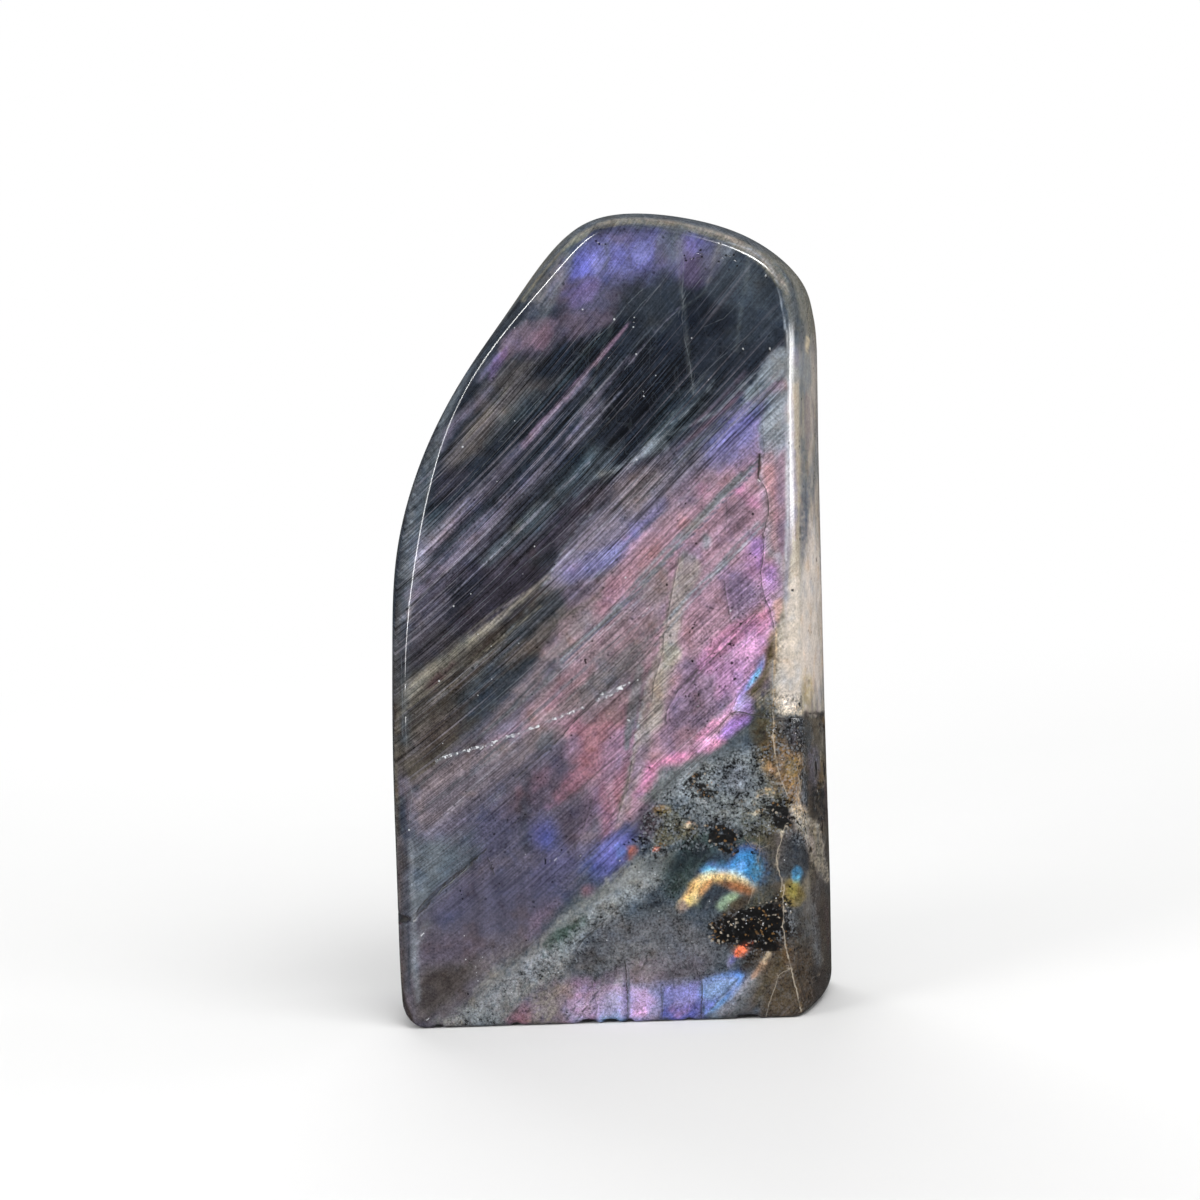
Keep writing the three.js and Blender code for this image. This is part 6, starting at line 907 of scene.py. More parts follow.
    ("patch", "green", 0.60, 0.41, 0.28, 0.2, 0, "-13.6,15.2 -11.6,17.4 -8.6,18.9 -5.9,19.5 -7.1,17.7 -9.9,15.5 -12.6,14"),
    ("patch", "ash", 0.55, 0.92, 0.55, 0.5, 0.4, "-2.2,17.9 5.5,22.4 12.9,22.1 14.6,17.3 14.3,11.6 8.6,9 1.1,9.8 -2.5,12.2"),
    ("patch", "fog", 0.35, 0.55, 0.46, 0.8, 0.5, "-0.2,14 7.2,18.5 10.5,17.5 6.9,13.4 2.1,10.1"),
    ("patch", "slate", 0.60, 0.28, 0.22, 0.2, 0, "-7.4,12 -5.8,15 -3.1,16.4 -0.1,15.9 0.9,14 -1.8,11.8 -4.9,10.7"),
    ("patch", "dusk", 0.45, 0.92, 0.74, 0.4, 0, "-33.7,26.6 -24.1,30.1 -14.8,27.8 -9.4,23.8 -17.2,18.4 -26.7,17.8 -34.1,19.9"),
    ("patch", "haze", 0.60, 1.11, 0.74, 0.5, 0, "20.8,107.5 23.8,110.3 28.6,111.2 31.3,110.3 30.2,106.3 27.2,104.3 23.1,103 20.6,103.8"),
    ("patch", "peri", 0.55, 0.92, 0.74, 0.5, 0, "23.8,108.5 27.5,110.5 30.8,110 29.5,107.1 25.8,105.4"),
    ("patch", "mauve", 0.50, 1.11, 0.74, 0.5, 0, "13.7,99 18.7,102.4 23.5,103.3 22.6,100.1 18.4,96.9 14.3,95.6"),
    ("patch", "peri", 0.55, 0.74, 0.55, 0.6, 0, "6.8,93.4 10.4,97.3 13.7,98.6 14.4,96.7 10.9,93.2 7.8,90.7"),
    ("patch", "haze", 0.60, 0.74, 0.55, 0.5, 0, "-2,87.4 2.2,89.9 6.7,91.5 7.3,88.9 3.5,86.1 -1,84.8"),
    ("patch", "lilacblue", 0.40, 0.46, 0.37, 0.4, 0, "1,88.1 4.1,89.8 5.9,89.7 4.7,87.5 2.1,86.5"),
    ("patch", "lilac", 0.50, 0.92, 0.74, 0.8, 0, "1.5,91 9.3,98.1 16.9,104.2 20.7,106.8 21.4,104.5 15.2,99.3 9.1,93.6 3.7,89.4"),
    ("patch", "mocha", 0.45, 0.74, 0.55, 0.1, 0.6, "27.4,32 31.3,32.8 31,26.2 28.2,22.6 26.2,26.4"),
    ("patch", "loam", 0.50, 0.92, 0.55, 0.1, 0.5, "35.2,21.4 39.9,18.4 39.6,3.2 36.6,1.4 34.6,7.2 33,12.9"),
    ("patch", "umber", 0.45, 0.74, 0.55, 0.1, 0.5, "35.9,11.9 39.7,12.7 39.6,3.2 37.2,1.7 35.7,6.2"),
    ("patch", "vein", 0.50, 0.55, 0.46, 0.2, 0.4, "-9.4,135.6 -5.4,141.3 -1.9,144 -0.3,143.2 -4,139 -7.2,134.8"),
    ("patch", "lilacpale", 0.35, 0.55, 0.46, 0.5, 0.4, "-11.9,130.3 -9.1,134.5 -5.6,138 -3.2,140.4 -2.2,138.9 -5.7,134.7 -8.9,130.1 -11.3,127.5"),
    ("patch", "rose", 0.50, 0.74, 0.55, 0.5, 0, "-15,127.7 -11.1,131.7 -5.9,132.5 -4.5,130.6 -7.6,128.2 -12.1,126.2 -15.1,124.6"),
    ("patch", "heather", 0.45, 0.46, 0.37, 0.4, 0, "-17.4,122.8 -15.8,125.7 -13.8,127.8 -13.6,125.9 -15.2,123.1 -17.2,120.6"),
    ("stroke", "fog", 0.75, 0.12, 0.11, 0.15, 0, "-7,68.8 -2.6,72.8 3.4,77.6 8.3,82.2 11.6,85.4 15.3,89.1 18.7,92.1 21.6,94.9 24.5,98 28,100.7 31.3,104.5", "0.38 0.41 0.44 0.47 0.5 0.53 0.56 0.63 0.69 0.63 0.38"),
    ("stroke", "storm", 0.70, 0.10, 0.09, 0.15, 0, "-6.7,68.3 -2.2,72.2 3.8,77 8.6,81.6 11.9,84.8 15.6,88.6 19.1,91.5 22,94.4 24.9,97.4 28.3,100.2 31.4,103.7", "0.16 0.17 0.19 0.19 0.2 0.2 0.22 0.24 0.24 0.22 0.16"),
    ("stroke", "mist", 0.75, 0.10, 0.09, 0.1, 0, "12.6,74.9 16.3,79.1 19.9,82.3 23.6,84.9 27.4,88.2 31.4,92.3", "0.25 0.31 0.35 0.38 0.35 0.22"),
    ("stroke", "fog", 0.55, 0.10, 0.09, 0.1, 0, "-7.5,60.6 -0.1,66.1 7.4,70.9 12.6,74.9", "0.25 0.28 0.28 0.25"),
    ("stroke", "vein", 0.65, 0.12, 0.15, 0.1, 0, "16.7,88 16.2,85.6 15.1,82.3 14.1,79.3 13.4,76.4 12.7,73.5 12,70.5 10.5,67.6 9.4,64.3 8.3,60.9 7.4,57.2 6.3,52.8 5.1,48.3 4,44.2 2.7,40.5", "0.47 0.55 0.55 0.47 0.47 0.63 0.94 1.3 1.3 1.1 1.1 0.94 0.78 0.63 0.47"),
    ("stroke", "bone", 0.50, 0.10, 0.09, 0.1, 0, "16.1,86.7 14.8,82.7 13.5,78.3 12.5,74.6 11.4,70.5", "0.19 0.24 0.24 0.24 0.16"),
    ("stroke", "mist", 0.50, 0.10, 0.09, 0.1, 0, "10,67.6 8.6,62.8 7.3,58 5.9,52.4 4.5,47.2", "0.2 0.24 0.24 0.22 0.16"),
    ("stroke", "ash", 0.80, 0.22, 0.18, 0.1, 0, "7.7,66.9 6.3,61 5.3,56.6 4.4,52.1", "1.3 1.9 1.7 0.78"),
    ("patch", "bone", 0.55, 0.22, 0.18, 0.1, 0, "12.6,72 13.8,70.8 15.8,69.6 15.6,68.1 13.6,66.7 12.2,67.5 11.2,69.8"),
    ("patch", "plum", 0.15, 1.11, 0.74, 0.5, 0, "25,96.6 28.4,97.6 29,94.6 27,91.8 24.5,93"),
    ("patch", "violet", 0.12, 0.92, 0.74, 0.5, 0, "24.1,84.5 27.8,85.1 30.2,81.6 29.3,78 26.3,77 24.2,79.7"),
    ("patch", "heather", 0.40, 0.55, 0.37, 0.5, 0, "29.1,89.8 31.7,90.6 31.8,84.9 30,84.2"),
    ("patch", "peach", 0.45, 0.46, 0.37, 0.2, 0, "32.6,78.2 34.5,79.2 34.7,76.3 33.2,74.1"),
    ("patch", "salmon", 0.50, 0.55, 0.37, 0.2, 0, "32.4,105.3 34.3,106.2 34.7,100.6 33.9,97.4 32.5,98.9 31.9,102.6"),
    # painted shade: a darker rose band along the right rim, beside the painted highlight
    ("patch", "rosedark", 0.50, 0.46, 0.37, 0.2, 0, "34.4,104.3 36.1,106.1 35.7,93.2 35.2,85.9 34.2,88.7 33.8,97"),
    # painted highlight: a thin bright line along the top-right rim of the face
    ("stroke", "mist", 0.90, 0.10, 0.03, 0, 0, "27.6,144.3 31.6,142.9 34.7,140.2 35.9,138 36.6,134.3 37.4,128.1", "0.17 0.19 0.22 0.24 0.25 0.31"),
    # painted highlight of the right bevel: a white core with lilac and pale-blue sides down the rim
    ("stroke", "lilacpale", 0.80, 0.24, 0.15, 0, 0, "37.6,118.8 37.7,114.2 37.4,107.8 37.1,100.5 36.6,93.2 36,87.7 35.4,82.2 35,74.8", "0.63 1 1.4 1.6 1.6 1.3 0.63 0.31"),
    ("stroke", "white", 0.55, 0.13, 0.09, 0, 0, "37.6,127.9 37.5,122.5 37.5,117 37.2,111.5 36.6,102.4 36.2,93.2 35.5,85.9", "0.28 0.38 0.53 0.63 0.63 0.47 0.25"),
    ("stroke", "perilight", 0.20, 0.22, 0.15, 0, 0, "38.1,106 37.9,96.8 37.3,89.5", "0.31 0.47 0.47"),
    ("stroke", "ash", 0.50, 0.44, 0.37, 0, 0, "38.7,140.2 39.6,135.1 39.7,129.6", "1.3 1.4 1.3"),
    ("patch", "slate", 0.60, 0.55, 0.37, 0.1, 0.3, "38.2,136.9 39.6,136.5 40.2,133.2 40,127.8 38.8,125.1 38,127.9"),
    ("patch", "fog", 0.60, 0.55, 0.37, 0.2, 0, "34.3,124.1 37.3,125.2 39.8,124.2 40.4,120.1 38.4,118 35.9,119.2 32.7,120.5"),
    ("patch", "lilac", 0.45, 0.55, 0.37, 0.2, 0, "38,125 40.2,124.1 40.4,121.2 38.2,120.6"),
    ("stroke", "bone", 0.80, 0.12, 0.11, 0.1, 0, "35,78.5 34.7,71.1 34.2,63.7 33.8,59", "0.25 0.28 0.31 0.25"),
    ("stroke", "sand", 0.70, 0.12, 0.11, 0.1, 0, "33.3,73.4 33,69.3 32.3,63.7", "0.25 0.31 0.28"),
    ("stroke", "cream", 0.45, 0.12, 0.11, 0.1, 0, "35.7,76.2 35.2,69.2 35.2,61.8", "0.22 0.25 0.22"),
    ("stroke", "umber", 0.75, 0.10, 0.07, 0, 0, "28.7,57.9 30.5,56.9 32.4,56.4 34.9,56.2 36.8,56.5", "0.19 0.22 0.19 0.25 0.19"),
    ("patch", "mauve", 0.50, 0.74, 0.55, 0.5, 0, "-6.4,81.7 -1.6,83.7 1.9,83.6 -0.5,80.3 -5.4,77.9"),
    ("patch", "taupe", 0.40, 0.92, 0.74, 0.4, 0, "3,68.6 8,72.2 11.7,72 9.5,64.6 6.1,57.3 2,56.3 0,61.3"),
    ("patch", "ash", 0.35, 0.74, 0.55, 0.4, 0, "-4.5,63.3 2.3,69.6 8,72.2 8.7,68.4 1.9,61.2 -3.1,55.8"),
    ("stroke", "beige", 0.50, 0.18, 0.18, 0, 0.5, "4.6,149.7 10.4,149.9 19.1,148.7 27.7,145.6 33.7,141.2 37.8,135.2", "0.47 0.78 0.94 1.1 1.1 0.78"),
    ("stroke", "bone", 0.35, 0.15, 0.18, 0, 0.6, "-5.9,141.3 -2.6,144.6 3.2,148.5 9.1,149.6", "0.47 0.63 0.63 0.47"),
    ("patch", "bone", 0.60, 0.55, 0.37, 0.1, 0.3, "34.3,74.8 37.4,78.4 36.9,59.8 35,57.7 32.8,58.5 33.2,67.4"),
    ("patch", "cream", 0.35, 0.46, 0.37, 0.1, 0.3, "35.4,74.8 37.2,74.7 36.9,67.3 35.4,65.5"),
    ("patch", "ochre", 0.45, 0.46, 0.41, 0.1, 0.9, "33.5,48 35,48.3 35.6,46.8 35.1,44.2 34,43.1 33.3,45.4"),
    ("patch", "honey", 0.70, 0.28, 0.22, 0.1, 0.8, "29.6,52.6 31.1,52.2 31.3,48.8 30.4,46.2 29.4,48.1"),
    ("patch", "amber", 0.45, 0.18, 0.18, 0.1, 0.8, "30.5,48.5 31.4,48.1 31.5,46.2 30.6,46.6"),
    ("patch", "black", 0.70, 0.22, 0.22, 0.1, 0.8, "27.7,52.3 28.7,51.9 28.6,49.7 27.8,48.9 27.3,50.8"),
    ("patch", "black", 0.70, 0.18, 0.18, 0.1, 0.8, "31.7,41.3 32.8,42 33.5,41.2 32.7,40.1"),
    ("patch", "black", 0.60, 0.18, 0.18, 0.1, 0.8, "34.9,56.2 36.2,56.1 36.3,54.2 35,54.1"),
    ("stroke", "cream", 0.53, 0.10, 0.37, 0, 0, "31.9,46.9 32.6,44.6 33.4,43.1", "0.12 0.12 0.12"),
    ("stroke", "white", 0.40, 0.10, 0.09, 0.2, 0, "-2,0.3 -0.8,2.6 0.4,4.1", "0.19 0.24 0.19"),
    ("patch", "ice", 0.50, 0.37, 0.30, 0.2, 0, "-2.1,5.3 0.2,6.4 1.3,5.6 1.1,3.3 -1.1,3"),
    ("patch", "pinkpale", 0.50, 0.37, 0.30, 0.2, 0, "3.2,5.9 5.8,6.2 7.2,4.2 6,2.4 3.4,2.8"),
    ("patch", "perilight", 0.60, 0.37, 0.30, 0.4, 0, "10.6,5.6 14.4,6.3 15.5,4.7 13.8,2.1 11.2,1.8"),
    ("patch", "ice", 0.40, 0.37, 0.30, 0.2, 0, "17,6.6 20.5,7.8 23.1,8.3 22.3,6 18.8,4.2 16.9,4.3"),
    ("patch", "lilacblue", 0.45, 0.55, 0.37, 0.5, 0, "-10.5,4 -6.6,5.4 -3.6,5.3 -4.2,0.8 -9.6,0.2"),
    ("patch", "mist", 0.30, 0.55, 0.46, 0.2, 0.8, "-21.6,7.1 -15.7,11.7 -9.8,16.2 -4,20.8 -0.1,23.1 1.3,21.2 -4.1,17.2 -9.6,12.8 -15.5,8 -20.3,4.3"),
    ("patch", "fog", 0.35, 0.74, 0.55, 0.2, 0.8, "-2,22.6 5.7,26.7 9.4,26.2 5.5,22.4 -0.3,19 -2.9,19.4"),
    ("patch", "black", 0.50, 0.55, 0.55, 0.1, 0.5, "24.9,19.8 29.7,21.6 32.2,19.6 32,15.2 28.9,13.4 25.3,15.1"),
    ("patch", "chalk", 0.75, 0.65, 0.46, 0.05, 0.3, "35.3,80.3 38.1,85.7 37.7,59.8 35.4,57.3 33.2,59.2 34.1,71.1"),
    ("patch", "chalk", 0.40, 0.55, 0.37, 0.05, 0.5, "32.9,71.1 34.7,76.3 34.4,59.9 32.5,59.2"),
    ("patch", "heather", 0.16, 1.11, 0.74, 0.4, 0, "19,145.9 24.7,144.5 26.4,140.8 24.4,136.9 20.3,136 17.2,139.8"),
    ("patch", "steel", 0.40, 1.11, 0.74, 0.4, 0, "22.6,145 28.8,142.8 32.1,139.4 32.6,133.6 28.3,131.6 23.5,134 22.3,139.5"),
    ("patch", "brown", 0.30, 1.29, 0.92, 0.6, 0, "-7.3,63.4 0.5,70.6 10.1,77.7 11.7,72 7.5,62.8 1.6,56.5 -6.2,56.8"),
    ("patch", "fog", 0.30, 1.29, 0.92, 0.2, 0.6, "11.2,43.9 17.9,48.4 26.4,50.9 29.9,46.1 29.6,39.5 21.1,37.5 13.8,39.1"),
    ("patch", "taupe", 0.22, 1.48, 0.92, 0.5, 0, "-14.2,4.9 -8.1,14.3 -0.3,19.7 12.8,20.2 19.2,16.2 22.7,11.4 14.1,6.9 1,8.2 -6.6,6.6"),
    ("patch", "brown", 0.35, 0.74, 0.55, 0.1, 0.4, "27.3,10.3 34.9,13.8 35.5,1.4 26.8,0.2"),
    ("patch", "brown", 0.28, 1.48, 0.92, 0.6, 0, "5.5,96.4 13.3,104.9 20.8,107.1 24.6,102.9 18.4,96.7 10.8,91.5"),
    ("stroke", "wine", 0.90, 0.10, 0.06, 0, 0, "31.5,105.4 31.6,103.3 31.1,101", "0.38 0.47 0.28"),
    ("stroke", "fog", 0.35, 0.30, 0.28, 0, 0, "-19,127.3 -23.7,119.4 -26.9,113.5", "0.94 1.3 0.94"),
    ("patch", "lilacblue", 0.50, 0.55, 0.37, 0.4, 0, "-3.7,4.6 -0.5,7.2 8.5,8 16,7.8 23.5,8.7 23,5.2 15.8,3.2 4.5,2.4 -3.1,1.5"),
    ("patch", "pinkpale", 0.35, 0.55, 0.37, 0.4, 0, "-10.5,4.4 -2.8,7.4 4.7,7 8.3,4.2 4.4,0.9 -6.9,0.8"),
    ("stroke", "gunmetal", 0.70, 0.10, 0.07, 0, 0, "2.6,10.5 2.6,6.3 2.3,0.2", "0.16 0.19 0.16"),
    ("stroke", "gunmetal", 0.60, 0.10, 0.07, 0, 0, "8.8,6.8 8.9,3.8 8.9,0.3", "0.16 0.19 0.16"),
    ("stroke", "gunmetal", 0.55, 0.10, 0.07, 0, 0, "16.1,7.4 16.4,3.9 16.4,0.5", "0.16 0.19 0.16"),
    ("stroke", "petrol", 0.60, 0.10, 0.09, 0.2, 0, "16.8,0.9 19.9,4.6 23.1,7.9", "0.22 0.25 0.19"),
    ("stroke", "petrol", 0.55, 0.10, 0.09, 0.2, 0, "19.7,0 22.9,3.7 25.7,7.4", "0.22 0.25 0.19"),
    ("stroke", "night", 0.60, 0.10, 0.09, 0.2, 0, "-7.7,0.5 -4.8,4.2 -2.4,7.2", "0.16 0.22 0.16"),
    ("stroke", "night", 0.50, 0.10, 0.09, 0.2, 0, "-9.5,0.9 -6.7,4.7 -4.3,7.3", "0.16 0.22 0.16"),
    ("patch", "olive", 0.30, 1.11, 0.74, 0.5, 0, "-37.4,74 -28.9,77.4 -22.8,73.4 -24.2,62.2 -31.9,57.8 -38.3,58"),
    ("patch", "deep", 0.28, 1.29, 0.74, 0.5, 0, "-18.5,130.6 -3.6,133.5 -2.8,120.7 -11.9,115.6 -19.9,117.8"),
    ("patch", "ink", 0.25, 1.48, 0.92, 0.6, 0, "-19.4,114.1 -3.5,115.2 -4,98.6 -13,96.3 -21.1,97.5"),
    ("patch", "mist", 0.25, 1.11, 0.74, 0.2, 0.5, "12.7,46.7 20.9,52 26.5,53.7 29.1,48.9 25.1,43.4 17.7,42.8"),
    ("patch", "taupe", 0.28, 1.48, 0.92, 0.4, 0.6, "-25,14.8 -9.8,17.2 -9.3,4.8 -21.9,1.3 -26.6,5.3"),
    ("patch", "umber", 0.24, 1.48, 0.92, 0.1, 0.3, "28.4,34.8 36.9,34.5 35.4,0.5 26.1,-0.2"),
    ("patch", "brown", 0.20, 1.48, 0.92, 0.3, 0, "-2.2,17.9 16.5,19.2 19.9,11.4 14.1,6.9 -2.7,8.4"),
    ("patch", "amber", 0.50, 0.22, 0.18, 0.1, 0.9, "30.3,52.2 31.2,51.8 31.4,50.3 30.4,50.5"),
    ("patch", "amber", 0.50, 0.22, 0.18, 0.1, 0.9, "33.7,45.7 34.8,45.5 34.7,43.1 34,42.7"),
    ("patch", "ink", 0.60, 0.28, 0.22, 0.1, 0.9, "29,54.9 30.4,54.5 30.3,52.6 29.2,52.3"),
    ("patch", "butter", 0.50, 0.55, 0.18, 0.1, 0, "16.6,27.5 19.2,28.4 22.2,28.1 24.7,27 24.3,26.3 21.4,27 18.4,26.9 16.9,26"),
    ("patch", "ice", 0.50, 0.46, 0.18, 0.1, 0, "17.3,28.2 20,28.9 22.9,28.6 25.5,27.4 25.1,26.8 22.5,27.7 19.6,28.2 17.7,27.5"),
    ("stroke", "umber", 0.35, 0.12, 0.15, 0, 0, "18.1,29.3 17.3,26.7 16.6,24.1", "0.16 0.2 0.14"),
    ("stroke", "umber", 0.35, 0.12, 0.15, 0, 0, "20.3,28.9 19.5,26.6 18.8,24.8", "0.16 0.2 0.14"),
    ("stroke", "umber", 0.35, 0.12, 0.15, 0, 0, "22,28.8 21.7,26.9 21.5,25.4", "0.16 0.2 0.14"),
    ("stroke", "night", 0.40, 0.12, 0.15, 0, 0, "24.2,31 24,28 24.1,25.2", "0.16 0.2 0.14"),
    ("stroke", "night", 0.40, 0.12, 0.15, 0, 0, "25.9,31.7 26.1,28.3 26.1,24.9", "0.16 0.2 0.14"),
    ("stroke", "night", 0.40, 0.12, 0.15, 0, 0, "27.5,31.3 28,28.6 27.6,25.6", "0.16 0.19 0.14"),
    ("patch", "umber", 0.40, 0.74, 0.74, 0.1, 0.9, "29.9,50.4 32.9,51 34.6,47.9 33.7,44.2 31.1,45.4 29.8,47.7"),
    ("patch", "ink", 0.35, 0.37, 0.55, 0.1, 0.9, "32.2,52.2 33.7,52.8 33.9,49.8 32.4,49.1"),
    ("patch", "ink", 0.35, 0.37, 0.55, 0.1, 0.9, "34.1,45.7 35.6,45.3 35.1,42.7 33.6,43.1"),
    ("stroke", "taupe", 0.42, 0.30, 0.18, 0.1, 0.3, "-38.8,36.7 -39.1,28.7 -39.5,19.1 -39.5,8.6 -38.8,4.2", "1.3 1.4 1.4 1.4 0.78"),
    ("stroke", "fog", 0.40, 0.30, 0.18, 0.1, 0.3, "-32.9,96.2 -34.3,91.6 -35.2,86.1", "0.78 0.94 0.63"),
    ("patch", "deep", 0.12, 0.55, 0.37, 0.3, 0, "-18,126.9 -19.9,125.1 -22.8,120.1 -21.7,119.4 -18.2,122.9"),
    ("patch", "deep", 0.35, 0.55, 0.37, 0.3, 0, "-36.8,76.8 -34.5,77.2 -35,69.2 -37.3,68.7"),
    ("stroke", "mist", 0.60, 0.12, 0.15, 0, 0.3, "-40.2,19.9 -38.7,20.1 -37.3,20.6 -36.7,21.9", "0.28 0.28 0.35 0.25"),
    ("stroke", "mist", 0.50, 0.12, 0.15, 0, 0.3, "-40,22 -38.9,22.4 -37.8,22.3", "0.25 0.25 0.19"),
    ("stroke", "black", 0.95, 0.10, 0.11, 0, 0.2, "-40.7,20.9 -39.6,20.9 -38.4,21 -37.6,21.6", "0.44 0.47 0.41 0.22"),
    ("stroke", "wine", 0.70, 0.10, 0.11, 0, 0.2, "-40.5,20.7 -39.8,20.5 -39.2,20.7", "0.25 0.28 0.19"),
    ("patch", "haze", 0.30, 0.92, 0.55, 0.2, 0, "1.5,143.8 4.4,146.2 11.7,146.9 17.2,146 17.3,141.2 11.3,139 4,138.6"),
    ("patch", "lilacblue", 0.28, 0.55, 0.37, 0.2, 0, "2.3,140.9 4.3,145.1 6.6,145.8 5.3,141.8 3.3,139.4"),
    ("patch", "lilacblue", 0.28, 0.55, 0.37, 0.2, 0, "10.2,145.2 13.9,145.4 13.3,141.4 10.3,140.8"),
    ("patch", "violet", 0.30, 0.74, 0.55, 0.2, 0, "-2.4,135.3 1.1,138.8 4,139.3 3.1,135.7 -0.7,133"),
    ("patch", "seafoam", 0.18, 0.74, 0.55, 0.1, 0, "-3,144.4 -0.1,146.8 2.6,147.4 0.6,144.2 -2,142.2"),
    ("patch", "brown", 0.50, 0.55, 0.55, 0.1, 0.9, "32.3,50.3 37.1,51.2 37.2,41.5 35,40.8 32.9,44.3"),
    ("patch", "umber", 0.30, 0.37, 0.37, 0.1, 0.9, "33.9,50.6 35.8,50.9 36,46.8 34.5,45.7"),
    ("patch", "bone", 0.95, 0.20, 0.30, 0, 0.6, "34,40.1 35.4,40.8 36.6,39.6 37.3,37.9 37.5,35.8 36.4,35.7 35.6,37.4 34.5,38.7"),
    ("patch", "sand", 0.50, 0.22, 0.22, 0, 0.6, "34.6,40.1 35.7,40.2 36.4,39.1 35.5,38.7"),
    ("stroke", "sand", 0.50, 0.10, 0.28, 0, 0.5, "36.1,40 35.6,42.7 36.1,44.9 35.6,47.2 36.3,49.4 36,52", "0.28 0.19 0.22 0.16 0.19 0.13"),
    ("stroke", "khaki", 0.50, 0.10, 0.28, 0, 0.5, "33,41.2 33.8,42.7 33.3,44.2", "0.16 0.19 0.13"),
    ("patch", "ash", 0.30, 0.74, 0.37, 0.1, 0.5, "36.5,24.2 38.7,25 38.5,10.8 36.7,3.3 34.9,5.2 35.8,16.6"),
    ("patch", "khaki", 0.35, 0.37, 0.37, 0.1, 0.5, "36.6,27.2 38.5,28.2 39.9,26.3 39,22.9 36.8,22.3"),
    ("patch", "umber", 0.30, 0.55, 0.37, 0.1, 0, "34.9,14.7 39.1,16.5 39.6,3.2 35.4,1"),
    ("patch", "honey", 0.12, 1.48, 0.74, 0.1, 0, "26.8,16 40.9,15.5 40.3,0.3 26.1,0.8"),
    ("patch", "sand", 0.05, 1.48, 0.74, 0.1, 0.8, "28.6,54.5 42.2,54 41.6,40.9 28,41.4"),
    ("patch", "grainy", 0.16, 1.48, 0.74, 0.2, 0.9, "-24.9,16.7 8.9,16.6 6.3,1.4 -25.7,2.4"),
    ("patch", "deep", 0.12, 1.48, 0.74, 0.5, 0, "-37.2,76.8 -23.4,76.2 -24.4,58.5 -38.2,59"),
    ("patch", "khaki", 0.12, 1.48, 0.74, 0.1, 0.5, "27.7,34.9 41.4,34.4 40.6,16.5 26.9,16.9"),
    ("patch", "olive", 0.14, 1.11, 0.74, 0.1, 0.9, "6.6,44.1 18,48.9 31.4,51.6 33.9,41.2 30.2,33.8 17.2,32.4 7.9,32.7"),
    ("patch", "brown", 0.20, 0.74, 0.74, 0.1, 0.9, "29.8,56 37.9,55.7 37.6,41.1 32.4,41.3 29.7,47"),
    ("patch", "loam", 0.20, 1.48, 0.74, 0.1, 0, "26.8,16 40.9,15.5 40.3,0.3 26.1,0.8"),
    ("patch", "brown", 0.12, 1.48, 0.74, 0.1, 0.5, "27.7,34.9 41.4,34.4 40.6,16.5 26.9,16.9"),
)
